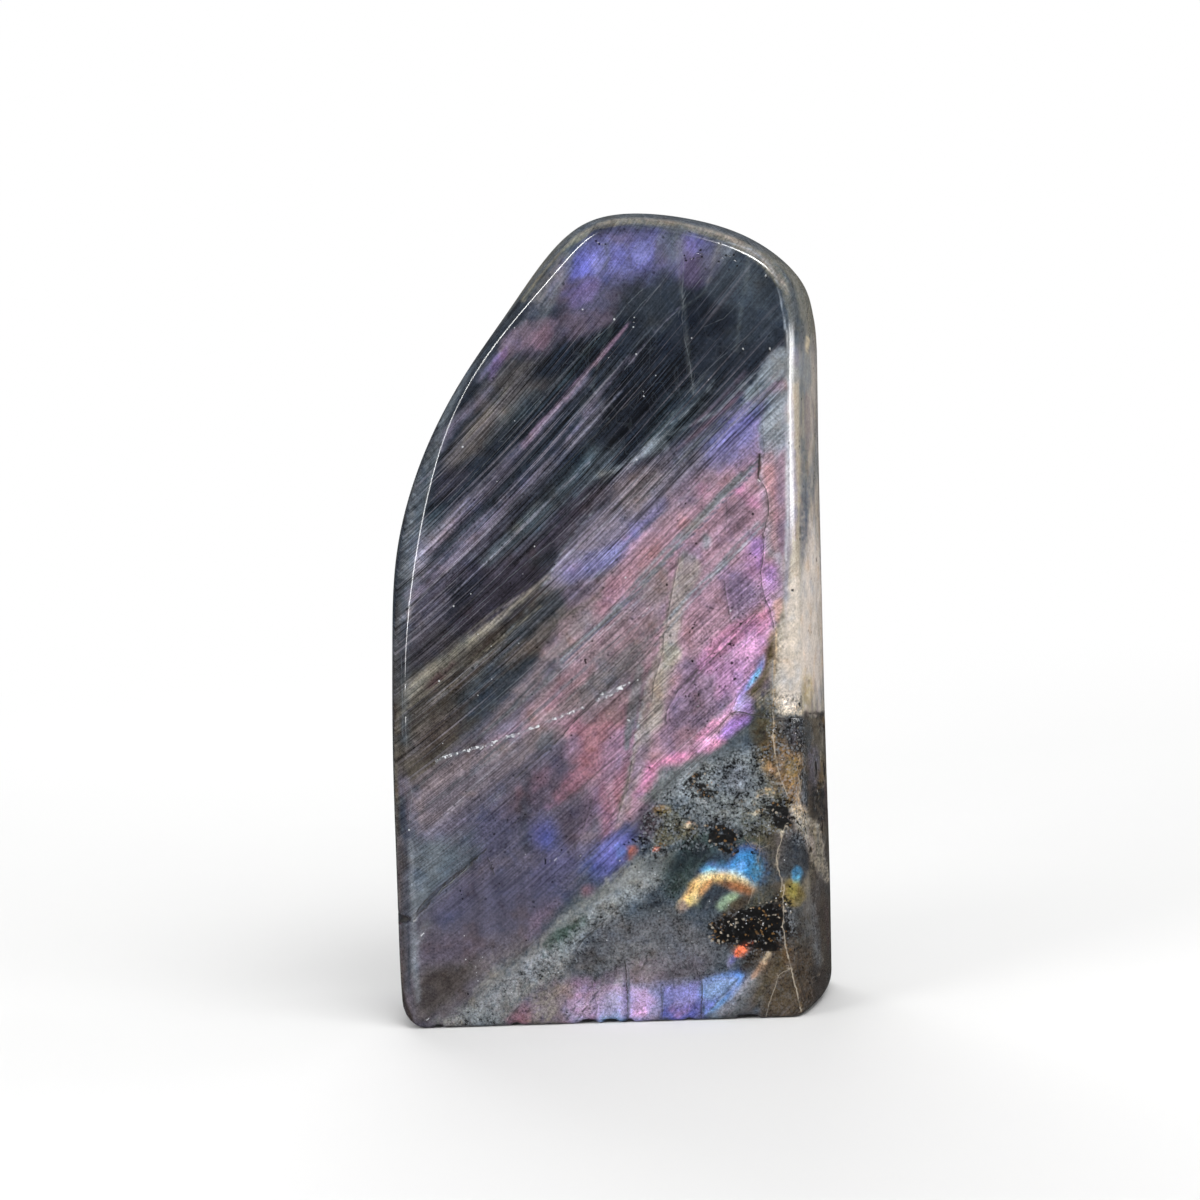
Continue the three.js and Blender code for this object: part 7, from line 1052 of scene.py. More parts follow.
# Cracks and painted glints: kind, half width, strength, points
LINES = (
    ("dark", 0.324, 1, "31.53,104.97 31.51,103.77 31.34,102.47 31.09,101.09"),
    ("dark", 0.125, 1, "31.09,101.09 31.66,100.39 32.42,99.04 32.71,97.34 32.84,95.08 32.25,92.85 31.6,91 31.63,89.11 31.32,86.49 30.84,84.25 30.8,81.6 31.35,78.94 32.09,77.01 32.7,73.96"),
    ("dark", 0.112, 0.84, "16.08,87.89 15.61,86.02 15.05,83.78 14.65,81.9 13.96,79.28 13.32,76.27 12.96,74.38 12.29,72.13 12.1,69.86 11.08,66.85 10.08,64.22 9.65,60.88"),
    ("dark", 0.137, 0.84, "12.78,74.39 10.4,72.21 8.03,70.02 5.25,67.47 3.26,65.64 0.08,62.71"),
    ("dark", 0.112, 0.77, "30.23,77.47 26.7,74.2 23.18,71.31 19.22,67.29 15.25,63.26"),
    ("dark", 0.100, 0.7, "24.05,81.89 24.25,79.61 24.52,77.33 24.86,75.04"),
    ("dark", 0.100, 0.7, "5.71,87.57 3.52,85.4 1.16,83.6"),
    ("dark", 0.100, 0.49, "27.76,72.64 27.46,70.38 26.98,68.12"),
    ("dark", 0.100, 0.49, "18.13,91.58 17.95,89.32 17.58,87.83"),
    ("dark", 0.100, 0.56, "25.14,96.92 25.18,93.91 24.7,91.67"),
    ("dark", 0.112, 0.56, "31.71,118.35 32.32,111.74 32.57,105.31"),
    ("dark", 0.112, 0.91, "14.86,63.01 13.63,61.05 12.56,59.37 12.12,57.96 12.01,56.82"),
    ("dark", 0.149, 0.98, "23.96,57.79 25.38,57.96 27.06,57.67 29.3,57.07 32.09,56.47 35.2,56.49 37.74,56.63 40.58,57.09"),
    ("dark", 0.137, 0.84, "23.94,57.5 21.86,55.29 19.48,53.09 17.69,51.15 16.5,50.04"),
    ("dark", 0.137, 0.77, "4,50.23 5.19,51.33 6.27,53.02 8.21,54.67"),
    ("dark", 0.125, 0.7, "5.22,49.03 4.68,46.75 3.65,43.32 2.65,40.47 1.77,37.32"),
    ("dark", 0.137, 0.84, "19.59,67.1 17.81,65.46 16.02,63.53 14.85,62.72"),
    ("dark", 0.125, 0.7, "0.05,62.16 1.84,63.8 4.23,66 6.46,67.91"),
    ("dark", 0.125, 0.63, "27.03,63.1 25.51,60.87 24.59,59.19 23.96,57.93"),
    ("dark", 0.149, 1, "3.94,65.44 1.31,62.97 -1.08,60.77 -3.47,58.71 -5.55,56.92 -7.08,54.96 -10.67,51.93 -16.06,47.52"),
    ("dark", 0.137, 0.98, "-23.15,33.58 -26.76,30.79 -30.69,27.73 -33.16,24.89"),
    ("dark", 0.100, 0.56, "-8.05,69.06 -10.46,66.58 -13.48,63.55 -15.9,61.06 -18.31,58.85 -20.72,56.64 -22.51,55.26"),
    ("dark", 0.100, 0.63, "3.19,50.83 -0.59,48.09 -3.88,45.33 -6.85,43.13 -9.55,40.92"),
    ("dark", 0.100, 0.56, "-2.29,42.96 -3.31,39.82 -4.62,36.69 -5.75,34.12"),
    ("dark", 0.112, 0.7, "2.52,37.59 1.38,36.47 -1.91,33.69 -4.6,31.47"),
    ("dark", 0.100, 0.49, "-16.52,39.14 -20.73,35.81 -24.35,32.75"),
    ("dark", 0.125, 0.98, "-22.39,31.8 -21.93,30.62 -21.65,29.6"),
    ("dark", 0.149, 1, "-22.85,33.82 -26.8,30.18 -31.03,26.82 -33.46,24.72 -34.71,23.16 -35.85,22.32 -36.69,21.32"),
    ("dark", 0.349, 1, "-40.1,20.94 -39.17,21.08 -37.72,21.15"),
    ("dark", 0.149, 0.98, "-40.06,21.58 -39.41,21.85 -38.87,21.25 -38,21.28 -37.41,21.49"),
    ("pale", 0.083, 0.88, "-26.79,30.32 -29.22,28.22 -31.01,27.12 -33.14,25.15"),
    ("dark", 0.125, 0.56, "-14.9,16.06 -16.12,14.93 -17.92,13.53"),
    ("dark", 0.112, 0.7, "-8.3,10.28 -8.07,9.11 -8.73,7.66"),
    ("dark", 0.125, 0.7, "-2.02,20.58 -3.87,18.02 -5.09,16.61 -6.63,14.61 -8.25,11.16"),
    ("dark", 0.149, 0.7, "1.74,22.2 -0.3,20.53 -2.11,18.84 -5.11,16.32"),
    ("dark", 0.100, 0.56, "-15.63,2.6 -15.98,1.44 -15.47,0.25"),
    ("dark", 0.100, 0.63, "-4.13,7.51 -3.96,5.17 -3.48,3.39 -4.24,-0.1"),
    ("dark", 0.125, 0.84, "-20.97,0.13 -19.68,2.44 -18.46,3.57"),
    ("dark", 0.149, 1, "2.17,11.4 2.24,8.77 2.25,6.72 2.16,3.8 2.04,0.43"),
    ("dark", 0.149, 0.98, "16.31,7.73 16.3,5.69 16.08,3.36 15.8,0"),
    ("dark", 0.100, 0.56, "5.43,10.71 6.06,11.86 6.41,13.02"),
    ("dark", 0.112, 0.63, "8.67,6.52 8.64,4.76 8.75,2.42 8.51,0.38"),
    ("dark", 0.100, 0.56, "13.82,6.35 14.02,4.59 13.47,2.27"),
    ("dark", 0.112, 0.63, "34.66,12.66 34.24,9.77 34.68,6.84 35.41,3.91"),
    ("dark", 0.174, 0.98, "40.86,24.63 40.95,20 40.7,13.05 40.34,6.08"),
    ("dark", 0.149, 0.84, "32.23,15.65 32.14,17.4 32.12,19.43"),
    ("pale", 0.101, 0.99, "32.28,66.88 32.04,64.61 32.11,61.76 31.86,58.91 31.93,56.05 31.66,53.2 31.81,50.33 32.13,48.02 32.59,45.71 33.22,43.96 33.6,42.8"),
    ("pale", 0.083, 0.66, "36.1,45 36.29,42.98 35.66,41.57 34.48,40.46"),
    ("pale", 0.092, 0.77, "33,35.91 32.33,33.63 31.55,31.92 31.18,30.2 31.5,27.88 32.12,25.84 31.75,23.82 32.25,22.42"),
    ("pale", 0.101, 0.88, "31.54,31.89 31.18,30.17 31.53,28.42 31.89,26.96 32.52,25.21 32.11,22.33 32.12,19.43 31.8,17.41 32.12,15.65 32.21,13.91"),
    ("pale", 0.129, 0.99, "32.15,13.91 32.5,12.15 32.85,10.4 33.26,8.06 33.65,6 34.13,3.95 34.46,1.75"),
    ("pale", 0.083, 0.77, "30.61,8.14 29.95,6.12 29.14,4.11 28.5,2.38 28.08,0.87"),
    ("pale", 0.074, 0.66, "30.61,8.14 31.64,8.84 32.8,9.24"),
    ("pale", 0.092, 0.66, "39.28,27.28 40.09,26.39 40.91,25.64"),
    ("pale", 0.092, 0.61, "-1.46,16.19 -0.2,15.57 0.61,14.52 0.98,13.43"),
    ("pale", 0.065, 0.44, "26.47,26.57 26.84,25.4 26.34,23.68 25.86,22.54"),
    ("pale", 0.065, 0.39, "25.96,33.86 26.75,32.67 28.15,32.05 29.89,32.85"),
    ("pale", 0.065, 0.39, "28.26,34.64 28.27,31.75 27.9,29.74"),
    ("pale", 0.074, 0.5, "18.87,144.63 19.33,141.28 19.19,138.38 18.86,135.89 18.95,133.38 18.62,130.89 18.87,127.54 19.68,122.47 20.06,117.42"),
    ("pale", 0.065, 0.39, "-7.92,130.49 -6.26,133.76 -4.19,137.01 -2.8,139.45"),
    ("pale", 0.083, 0.5, "11.33,136.26 8.69,133.88 5.12,129.86 2.49,127.89"),
    ("pale", 0.065, 0.44, "14.72,136.93 11.2,133.76 8.54,130.96"),
    ("pale", 0.074, 0.55, "18.29,132.79 15.23,130.22 10.79,125.4 8.12,122.59"),
    ("pale", 0.065, 0.39, "30.16,127 25.83,123.86 21.46,120.29 18.78,117.06"),
    ("pale", 0.065, 0.39, "23.16,129.42 26.14,130.53 28.76,132.91"),
    ("pale", 0.074, 0.5, "22.3,137.81 19.66,135.02 17.84,132.18"),
    ("pale", 0.083, 0.66, "35.75,121.3 32.24,117.7 28.3,114.1 25.23,111.3 20.86,107.71"),
    ("pale", 0.065, 0.39, "26.19,113.78 22.68,110.57 18.29,106.98"),
    ("pale", 0.065, 0.33, "9.24,144.7 7.61,145.61 5.94,145.9"),
    ("pale", 0.074, 0.55, "-36.57,70.2 -36.71,66.76 -36.82,63.02 -36.89,59.85 -37.15,56.4"),
    ("pale", 0.074, 0.66, "-36.14,45.66 -36,44.49 -36.31,42.76 -36.7,41.03 -36.96,39.01"),
    ("glit", 0.148, 1, "-30.63,51.24 -29.31,51.71 -27.56,52.22"),
    ("glit", 0.157, 1, "-25.97,52.51 -24.36,53.03 -22.91,53.32"),
    ("glit", 0.166, 1, "-21.02,53.82 -18.83,54.55 -17.37,55.07 -16.21,55.31 -14.17,55.95 -12.13,56.74"),
    ("glit", 0.129, 0.99, "-9.8,57.66 -7.47,58.43 -6.02,58.95 -3.7,59.66"),
    ("glit", 0.148, 1, "-0.19,61.45 1.84,62.23 3.82,63.15"),
    ("glit", 0.111, 0.77, "0.05,62.14 2.37,63 5.08,64.04"),
    ("pale", 0.083, 0.88, "-29.65,51.86 -30.82,50.96"),
    ("dark", 0.125, 0.84, "-0.41,60.34 7.19,67.34 13.26,74.18"),
    ("dark", 0.299, 1, "-40.49,20.9 -39.36,20.86 -38.21,21.11 -37.63,21.38"),
    ("dark", 0.149, 1, "-37.63,21.38 -36.64,22.11 -35.8,23.61 -34.2,25.08 -32.61,26.55 -30.64,28.01 -28.67,29.46"),
    ("dark", 0.125, 0.84, "13.85,59.78 19.93,66.83 26.68,73.07 31.13,77.72"),
    ("dark", 0.112, 0.7, "-7.42,61.55 0.32,67.24 6.14,72.23 10.46,77.27"),
    ("dark", 0.112, 0.7, "8.73,86.99 13.37,91.24 20.3,97.58 27.95,104.24"),
    ("dark", 0.125, 0.77, "-37.54,64.61 -29.31,70.85 -21.5,76.71 -13.74,82.36 -6,88.36 1.73,94.7 9.43,101.01"),
    ("dark", 0.112, 0.7, "-38.29,58.23 -29.68,64.3 -21.88,69.99 -14.1,75.85 -6.35,81.68"),
    ("dark", 0.112, 0.7, "-24.08,64.08 -16.26,70.33 -8.48,76.55 -0.73,82.94 5.08,87.89"),
    ("dark", 0.100, 0.63, "-1.35,34.95 2.76,42.36 6.76,47.86"),
    ("dark", 0.112, 0.7, "-33.98,80.59 -26.49,87.37 -18.65,94.47 -10.85,101.53"),
    ("dark", 0.112, 0.7, "-5.15,104.24 2.59,111.26 10.28,117.88"),
    ("dark", 0.100, 0.63, "-17.15,88.09 -9.34,95.18 -1.59,101.86"),
    ("pale", 0.074, 0.55, "-6.19,84.84 -0.38,89.6 5.42,94.54 11.2,99.46"),
    ("pale", 0.074, 0.55, "-29.15,73.66 -21.32,80.07 -13.52,86.45 -8.11,90.49"),
    ("pale", 0.074, 0.5, "-24.4,58.45 -16.58,64.53 -8.8,70.59 -2.98,75.21"),
    ("pale", 0.074, 0.55, "-31.66,62.5 -23.85,68.2 -16.07,73.87 -10.24,78.49"),
    ("pale", 0.074, 0.44, "-15.92,110.25 -8.13,117.62 -0.37,125.14 3.51,129.16"),
    ("pale", 0.074, 0.44, "-25.8,99.6 -16,108.78 -8.19,116.52"),
    ("pale", 0.074, 0.44, "-1.85,61.33 3.98,66.34 9.81,71.71"),
    ("pale", 0.065, 0.44, "15.73,79.28 21.55,85.34 28.28,91.71"),
)
# Pits and specks: x, z, radius, 0 dark or 1 bright
PITS = (
    "19.88,141.34,0.23,0 22.56,143.12,0.23,0 22.79,141.86,0.23,0 25.79,140.88,0.23,0 27.18,141.94,0.27,0 28.56,141.95,0.23,0 29.09,139.97,0.23,0 34.20,137.73,0.30,0 21.24,141.73,0.19,0 "
    "19.59,142.31,0.19,0 26.16,144.19,0.23,0 23.31,139.63,0.19,0 3.63,145.72,0.30,0 4.23,145.15,0.23,0 34.31,124.38,0.30,0 5.40,145.05,0.19,0 29.63,124.68,0.19,0 41.06,137.31,0.19,0 "
    "0.55,133.43,0.16,1 6.25,131.36,0.19,1 9.92,131.52,0.14,1 9.66,129.77,0.14,1 9.91,124.82,0.14,1 20.20,127.26,0.14,1 29.44,124.94,0.12,1 34.32,124.71,0.16,1 13.29,120.76,0.12,1 "
    "10.92,117.93,0.12,1 34.22,138.06,0.12,1 -12.13,130.69,0.12,1 22.90,119.55,0.12,1 4.84,124.43,0.09,1 -22.89,109.32,0.21,1 -10.62,90.35,0.14,1 -22.92,82.02,0.12,1 -16.91,102.65,0.10,1 "
    "-13.02,113.65,0.09,1 -26.27,79.87,0.17,1 -14.51,72.45,0.12,1 -22.01,74.47,0.12,1 -19.67,72.09,0.12,1 -29.74,65.99,0.19,1 -22.65,63.03,0.12,1 -13.05,85.33,0.10,1 -12.56,62.82,0.20,0 "
    "-7.10,86.79,0.17,0 -15.42,83.72,0.20,0 -4.21,76.99,0.20,0 -2.36,68.91,0.24,0 -0.86,72.28,0.20,0 -11.14,71.55,0.17,0 13.43,82.22,0.30,0 29.89,94.53,0.27,0 17.57,97.06,0.20,0 "
    "17.85,74.00,0.24,0 18.27,74.93,0.20,0 17.25,73.26,0.20,0 26.71,74.39,0.27,0 24.47,70.69,0.24,0 25.21,70.47,0.27,0 24.79,67.14,0.30,0 22.67,68.48,0.20,0 25.18,64.20,0.30,0 "
    "17.47,67.74,0.24,0 18.26,61.42,0.24,0 41.24,85.01,0.30,0 36.47,80.23,0.30,0 39.10,106.61,0.24,0 39.12,62.39,0.30,0 38.45,89.58,0.27,0 38.55,91.83,0.20,0 27.17,76.27,0.20,0 "
    "15.99,93.93,0.17,0 19.17,89.65,0.17,0 21.57,69.10,0.17,0 21.80,66.05,0.20,0 23.35,62.94,0.20,0 29.11,87.34,0.20,0 29.90,86.55,0.17,0 30.22,81.25,0.20,0 5.89,83.86,0.17,1 "
    "9.56,77.94,0.14,1 8.74,76.65,0.12,1 7.19,64.72,0.14,1 35.52,61.70,0.17,1 24.95,76.93,0.17,1 9.06,105.52,0.17,1 10.95,117.05,0.12,1 40.97,104.28,0.19,1 -12.36,47.09,0.20,0 "
    "-10.94,47.04,0.18,0 -5.66,54.85,0.18,0 1.56,54.06,0.20,0 -21.10,36.78,0.23,0 -11.21,36.63,0.18,0 -8.60,33.35,0.20,0 -11.76,31.72,0.20,0 -11.80,30.85,0.18,0 -23.27,43.30,0.18,0 "
    "-20.73,39.35,0.18,0 -10.73,26.80,0.18,0 -28.06,26.18,0.20,0 -4.21,60.89,0.15,0 -0.78,66.49,0.18,0 -2.25,68.26,0.18,0 -18.38,39.35,0.15,0 -16.98,38.72,0.15,0 -8.53,49.26,0.15,0 "
    "-25.96,44.99,0.13,0 -24.08,47.82,0.15,0 -15.17,40.25,0.15,0 -6.59,39.94,0.15,0 -22.65,63.04,0.12,1 -19.91,65.95,0.12,1 -29.74,54.24,0.09,1 -37.01,38.14,0.19,1 -10.06,31.37,0.11,1 "
    "-9.60,31.79,0.09,1 -15.44,32.72,0.09,1 -5.14,32.07,0.09,1 24.82,67.18,0.25,0 25.10,64.17,0.31,0 18.33,61.58,0.20,0 18.26,63.02,0.15,0 15.92,61.39,0.20,0 16.48,61.23,0.15,0 "
    "17.50,67.82,0.23,0 20.09,65.80,0.15,0 39.14,62.62,0.23,0 29.06,64.30,0.23,0 39.71,53.18,0.25,0 39.03,50.63,0.20,0 1.51,54.00,0.23,0 8.59,48.18,0.20,0 4.78,34.76,0.31,0 "
    "3.17,33.95,0.23,0 5.62,34.29,0.18,0 16.03,54.94,0.15,0 19.65,56.52,0.15,0 17.72,63.47,0.15,0 20.59,52.47,0.13,0 12.43,48.18,0.15,0 14.49,43.79,0.25,0 15.02,42.90,0.23,0 "
    "15.95,44.60,0.23,0 16.45,43.14,0.31,0 16.99,42.54,0.31,0 16.13,42.43,0.25,0 17.85,45.68,0.20,0 17.64,44.25,0.23,0 19.10,45.06,0.18,0 19.57,45.90,0.18,0 15.13,39.44,0.31,0 "
    "14.40,38.89,0.25,0 15.74,40.14,0.20,0 13.63,37.76,0.23,0 13.09,38.36,0.18,0 18.52,38.88,0.20,0 19.37,38.71,0.23,0 20.47,38.09,0.31,0 17.45,46.27,0.15,0 11.57,42.17,0.15,0 "
    "21.65,38.92,0.18,0 33.20,56.00,0.23,0 34.90,56.22,0.25,0 35.74,55.90,0.31,0 35.14,55.07,0.23,0 35.93,53.89,0.31,0 36.44,52.73,0.36,0 36.10,51.31,0.25,0 36.63,50.72,0.25,0 "
    "37.24,51.70,0.25,0 37.79,51.25,0.20,0 33.69,54.26,0.18,0 31.97,53.76,0.18,0 34.49,40.75,0.36,0 34.17,39.90,0.25,0 32.98,38.50,0.31,0 33.50,37.62,0.36,0 34.65,37.87,0.41,0 "
    "35.46,36.97,0.31,0 32.08,37.38,0.23,0 32.75,39.66,0.20,0 36.00,36.38,0.20,0 39.03,40.87,0.36,0 39.91,41.70,0.31,0 40.14,40.54,0.31,0 39.21,38.57,0.36,0 38.59,37.44,0.31,0 "
    "40.67,39.66,0.25,0 40.27,37.09,0.25,0 38.40,39.46,0.20,0 40.05,38.53,0.25,0 5.21,57.22,0.16,1 4.93,57.38,0.11,1 9.30,48.16,0.09,1 16.11,47.84,0.12,1 15.70,45.18,0.09,1 "
    "18.37,41.63,0.12,1 18.92,41.18,0.09,1 35.16,61.92,0.14,1 25.48,60.16,0.09,1 11.90,37.25,0.11,1 9.11,32.72,0.12,1 8.41,33.18,0.09,1 18.09,59.45,0.09,1 39.98,49.87,0.14,1 "
    "29.49,48.98,0.11,1 30.81,46.92,0.11,1 33.16,48.84,0.12,1 31.71,54.34,0.11,1 32.30,54.89,0.09,1 30.00,60.13,0.09,1 30.06,36.59,0.14,1 27.98,34.65,0.09,1 -27.76,13.12,0.12,1 "
    "-25.88,10.56,0.09,1 -25.68,8.94,0.14,1 -25.96,11.74,0.09,1 -24.56,13.45,0.09,1 -35.80,1.77,0.16,1 -35.35,2.05,0.12,1 -35.88,17.93,0.16,1 -35.42,18.35,0.14,1 -27.79,17.66,0.11,1 "
    "-19.46,6.54,0.12,1 -10.47,10.06,0.14,1 -12.34,10.12,0.11,1 -3.42,21.21,0.14,1 -26.09,1.61,0.11,1 -6.46,7.00,0.09,1 -2.03,20.29,0.31,0 -28.03,26.20,0.20,0 -27.69,24.67,0.18,0 "
    "-21.83,31.46,0.20,0 -21.61,30.28,0.18,0 -11.78,31.39,0.20,0 -10.70,27.29,0.20,0 -11.96,30.67,0.18,0 -20.62,27.34,0.18,0 -27.70,6.51,0.18,0 -16.18,16.39,0.20,0 -9.29,2.40,0.18,0 "
    "-4.71,15.72,0.20,0 -1.97,20.29,0.36,0 19.10,18.27,0.31,0 33.83,16.47,0.25,0 33.50,24.88,0.20,0 21.21,17.47,0.23,0 19.45,16.51,0.23,0 20.27,15.76,0.20,0 23.50,14.78,0.20,0 "
    "32.77,18.24,0.20,0 36.38,6.50,0.23,0 8.54,12.65,0.13,0 4.95,29.64,0.18,0 6.72,30.74,0.15,0 8.08,29.24,0.18,0 10.36,29.16,0.15,0 28.22,18.11,0.17,1 25.09,18.21,0.12,1 "
    "25.30,19.66,0.11,1 32.64,21.58,0.19,1 30.85,22.80,0.14,1 33.43,20.25,0.14,1 32.73,29.97,0.12,1 29.19,20.69,0.09,1 26.50,21.07,0.09,1 23.77,20.44,0.12,1 21.98,21.80,0.12,1 "
    "18.46,22.65,0.11,1 8.96,21.08,0.12,1 31.76,24.07,0.11,1 14.81,15.07,0.09,1 10.47,14.05,0.09,1 27.89,17.25,0.11,1 23.61,17.10,0.09,1 22.67,18.29,0.11,1 -1.05,15.89,0.12,1 "
    "5.62,28.61,0.14,1 2.16,30.90,0.12,1 8.59,28.07,0.12,1 "
)


def points_of(text):
    return np.array([[float(v) for v in p.split(",")] for p in text.split()])


def grain_fields(x, z, s, t):
    return dict(
        a=fbm(x / 4.2, z / 4.2, 11), b=fbm(x / 1.5, z / 1.5, 12, 2), l=fbm(s / 1.0, t / 9, 13, 3, 0.6),
        m=fbm(s / 3.0, t / 26, 14, 2), k=fbm(s / 0.55, t / 6, 15, 2, 0.6), g=fbm(x / 0.8, z / 0.8, 16, 2, 0.7),
    )


def lay(col, x, z, F, i, form, colour, opacity, soft, rag, comb, grain, P, W=None):
    """Lays one patch or stroke over col."""
    reach = soft + rag * 1.6 + comb * 2.4 + 0.4 + (W.max() / 2 if W is not None else 0)
    lo, hi = P.min(0) - reach, P.max(0) + reach
    m = np.flatnonzero((x > lo[0]) & (x < hi[0]) & (z > lo[1]) & (z < hi[1]))
    if not len(m):
        return
    sign = 1 if i % 2 else -1
    if form == "patch":
        d = inside_distance(x[m], z[m], rounded(P))
    else:
        d = stroke_distance(x[m], z[m], P, W / 2)
    d = d + sign * rag * (0.9 * F["a"][m] + 0.7 * F["b"][m])
    d = d + comb * (0.85 * F["l"][m] + 0.6 * sign * F["m"][m] + 0.4 * F["k"][m]) * (1.0 if form == "patch" else 0.45)
    cover = smooth(soft, -soft, d) * opacity
    if grain:
        cover = cover * np.clip(1 - grain * (0.5 - 1.6 * F["g"][m]), 0, 1.15)
    cover = np.clip(cover, 0, 1)[:, None]
    col[m] = col[m] * (1 - cover) + np.array(PALETTE[colour], float) * cover


# ------------------------------------------------------------------ camera, placed first because the markings are set out from its eye
AZ, EL, ROLL, DISTANCE = math.radians(5), math.radians(7), math.radians(2.970), 650.0
AIM = np.array([0.969, FACE_Y, 79.890])
BACK = np.array([math.sin(AZ) * math.cos(EL), -math.cos(AZ) * math.cos(EL), math.sin(EL)])
EYE = AIM + DISTANCE * BACK
RIGHT = np.cross(-BACK, [0, 0, 1])
RIGHT /= np.linalg.norm(RIGHT)
UP = np.cross(RIGHT, -BACK)
CAM_X = math.cos(ROLL) * RIGHT - math.sin(ROLL) * UP
CAM_Y = math.sin(ROLL) * RIGHT + math.cos(ROLL) * UP

cam_data = bpy.data.cameras.new("camera")
cam_data.sensor_fit, cam_data.sensor_width, cam_data.lens = "HORIZONTAL", 36.0, 105.75
cam_data.clip_start, cam_data.clip_end = 0.05, 30.0
cam = bpy.data.objects.new("camera", cam_data)
m = Matrix.Identity(4)
for i, axis in enumerate((CAM_X, CAM_Y, BACK)):
    for j in range(3):
        m[j][i] = float(axis[j])
for j in range(3):
    m[j][3] = float(EYE[j]) * MM
cam.matrix_world = m
bpy.context.scene.collection.objects.link(cam)
bpy.context.scene.camera = cam

# ------------------------------------------------------------------ fine mesh of the stone
N_SIDE, N_TOP = 316, 160  # steps up each side, and along the foot and the top
T_LEFT, T_RIGHT = 17.5 / LAST, 28.0 / LAST  # where the top begins and ends


def spaced(t0, t1, count):
    tt = np.linspace(t0, t1, 4000)
    P = outline(0, tt)
    d = np.concatenate([[0], np.cumsum(np.hypot(np.diff(P[:, 0]), np.diff(P[:, 2])))])
    return np.interp(np.linspace(0, d[-1], count + 1), d, tt)[:-1]


T = np.concatenate([spaced(3.5, 4 + T_LEFT, N_SIDE), spaced(4 + T_LEFT, 4 + T_RIGHT, N_TOP),
                    spaced(4 + T_RIGHT, 5.5, N_SIDE), spaced(5.5, 7.5, N_TOP)])
N = len(T)
O0, O1 = outline(0, T), outline(1, T)
tangent = np.roll(O0, -1, 0) - np.roll(O0, 1, 0)
tangent /= np.linalg.norm(tangent, axis=1)[:, None]
A = O0.copy()
A[:, 0] += 0.6 * tangent[:, 2]
A[:, 2] -= 0.6 * tangent[:, 0]


def coons(ring, n_side, n_top):
    """x and z of a grid spanned by a closed ring that starts at its lower left corner and runs up the left."""
    n = len(ring)
    P = ring[:, [0, 2]]
    l, tp = P[: n_side + 1], P[n_side : n_side + n_top + 1]
    r = P[n_side + n_top : 2 * n_side + n_top + 1][::-1]
    b = P[(-np.arange(n_top + 1)) % n]
    u = np.linspace(0, 1, n_top + 1)[:, None, None]
    v = np.linspace(0, 1, n_side + 1)[None, :, None]
    G = (1 - u) * l[None] + u * r[None] + (1 - v) * b[:, None] + v * tp[:, None]
    G = G - ((1 - u) * (1 - v) * b[0] + u * (1 - v) * b[-1] + (1 - u) * v * tp[0] + u * v * tp[-1])
    for _ in range(120):
        G[1:-1, 1:-1] = 0.25 * (G[2:, 1:-1] + G[:-2, 1:-1] + G[1:-1, 2:] + G[1:-1, :-2])
    return G


def border(idx):
    """Indices round a grid, in the order of its ring."""
    return np.concatenate([idx[0, :-1], idx[:-1, -1], idx[-1, :0:-1], idx[:0:-1, 0]])


verts, quads, tris = [], [], []
charts, columns = [], []  # for each quad: 0 face, 1 back, 10 and up the rows of the side; and its place round the ring
count = 0


def add(P):
    global count
    verts.append(P)
    count += len(P)
    return np.arange(count - len(P), count)


def bridge(a, b, chart):
    quads.append(np.stack([a, np.roll(a, -1), np.roll(b, -1), b], -1))
    charts.append(np.full(len(a), chart))
    columns.append(np.arange(len(a)))


def sheet(corners, chart):
    quads.append(corners.reshape(-1, 4))
    charts.append(np.full(len(quads[-1]), chart))
    columns.append(np.zeros(len(quads[-1]), int))


G = coons(A, N_SIDE, N_TOP)
gx, gz = G[..., 0].ravel(), G[..., 1].ravel()
front = add(np.stack([gx, face_depth(gx, gz), gz], -1)).reshape(N_TOP + 1, N_SIDE + 1)
sheet(np.stack([front[:-1, :-1], front[1:, :-1], front[1:, 1:], front[:-1, 1:]], -1), 0)
A[:, 1] = face_depth(A[:, 0], A[:, 2])
ring = border(front)

edge = O1 - O0
w = np.linalg.norm(edge, axis=1)[:, None]
B0 = O0 + edge / w * np.minimum(0.55, 0.35 * w)
B1 = O1 - edge / w * np.minimum(0.95, 0.35 * w)
D = side(T, np.full(N, 0.06))
rows = [(1 - s) ** 2 * A + 2 * s * (1 - s) * O0 + s * s * B0 for s in (1 / 3, 2 / 3, 1)]
rows += [B0 + (B1 - B0) * s for s in (1 / 3, 2 / 3, 1)]
rows += [(1 - s) ** 2 * B1 + 2 * s * (1 - s) * O1 + s * s * D for s in (1 / 3, 2 / 3, 1)]
rows += [side(T, np.full(N, v)) for v in np.linspace(0.06, 1, 14)[1:]]
R3 = outline(3, T)
for k in (0.004, 0.013, 0.03, 0.054, 0.085):
    x, z = inward(R3, k)
    rows.append(np.stack([x, back_depth(x, z), z], -1))
for i, P in enumerate(rows):
    new = add(P)
    bridge(ring, new, 0 if i < 6 else i + 4 if i < len(rows) - 3 else 1)
    ring = new
C3 = R3[::2]
x, z = inward(C3, 0.122)
new = add(np.stack([x, back_depth(x, z), z], -1))
a, b, c = ring[::2], ring[1::2], np.roll(ring[::2], -1)
p, q = new, np.roll(new, -1)
tris += [np.stack([a, b, p], -1), np.stack([b, q, p], -1), np.stack([b, c, q], -1)]
ring = new
x, z = inward(C3, 0.165)
new = add(np.stack([x, back_depth(x, z), z], -1))
bridge(ring, new, 1)
ring = new
x, z = inward(C3, 0.21)
G = coons(np.stack([x, x * 0, z], -1), N_SIDE // 2, N_TOP // 2)
gx, gz = G[..., 0].ravel(), G[..., 1].ravel()
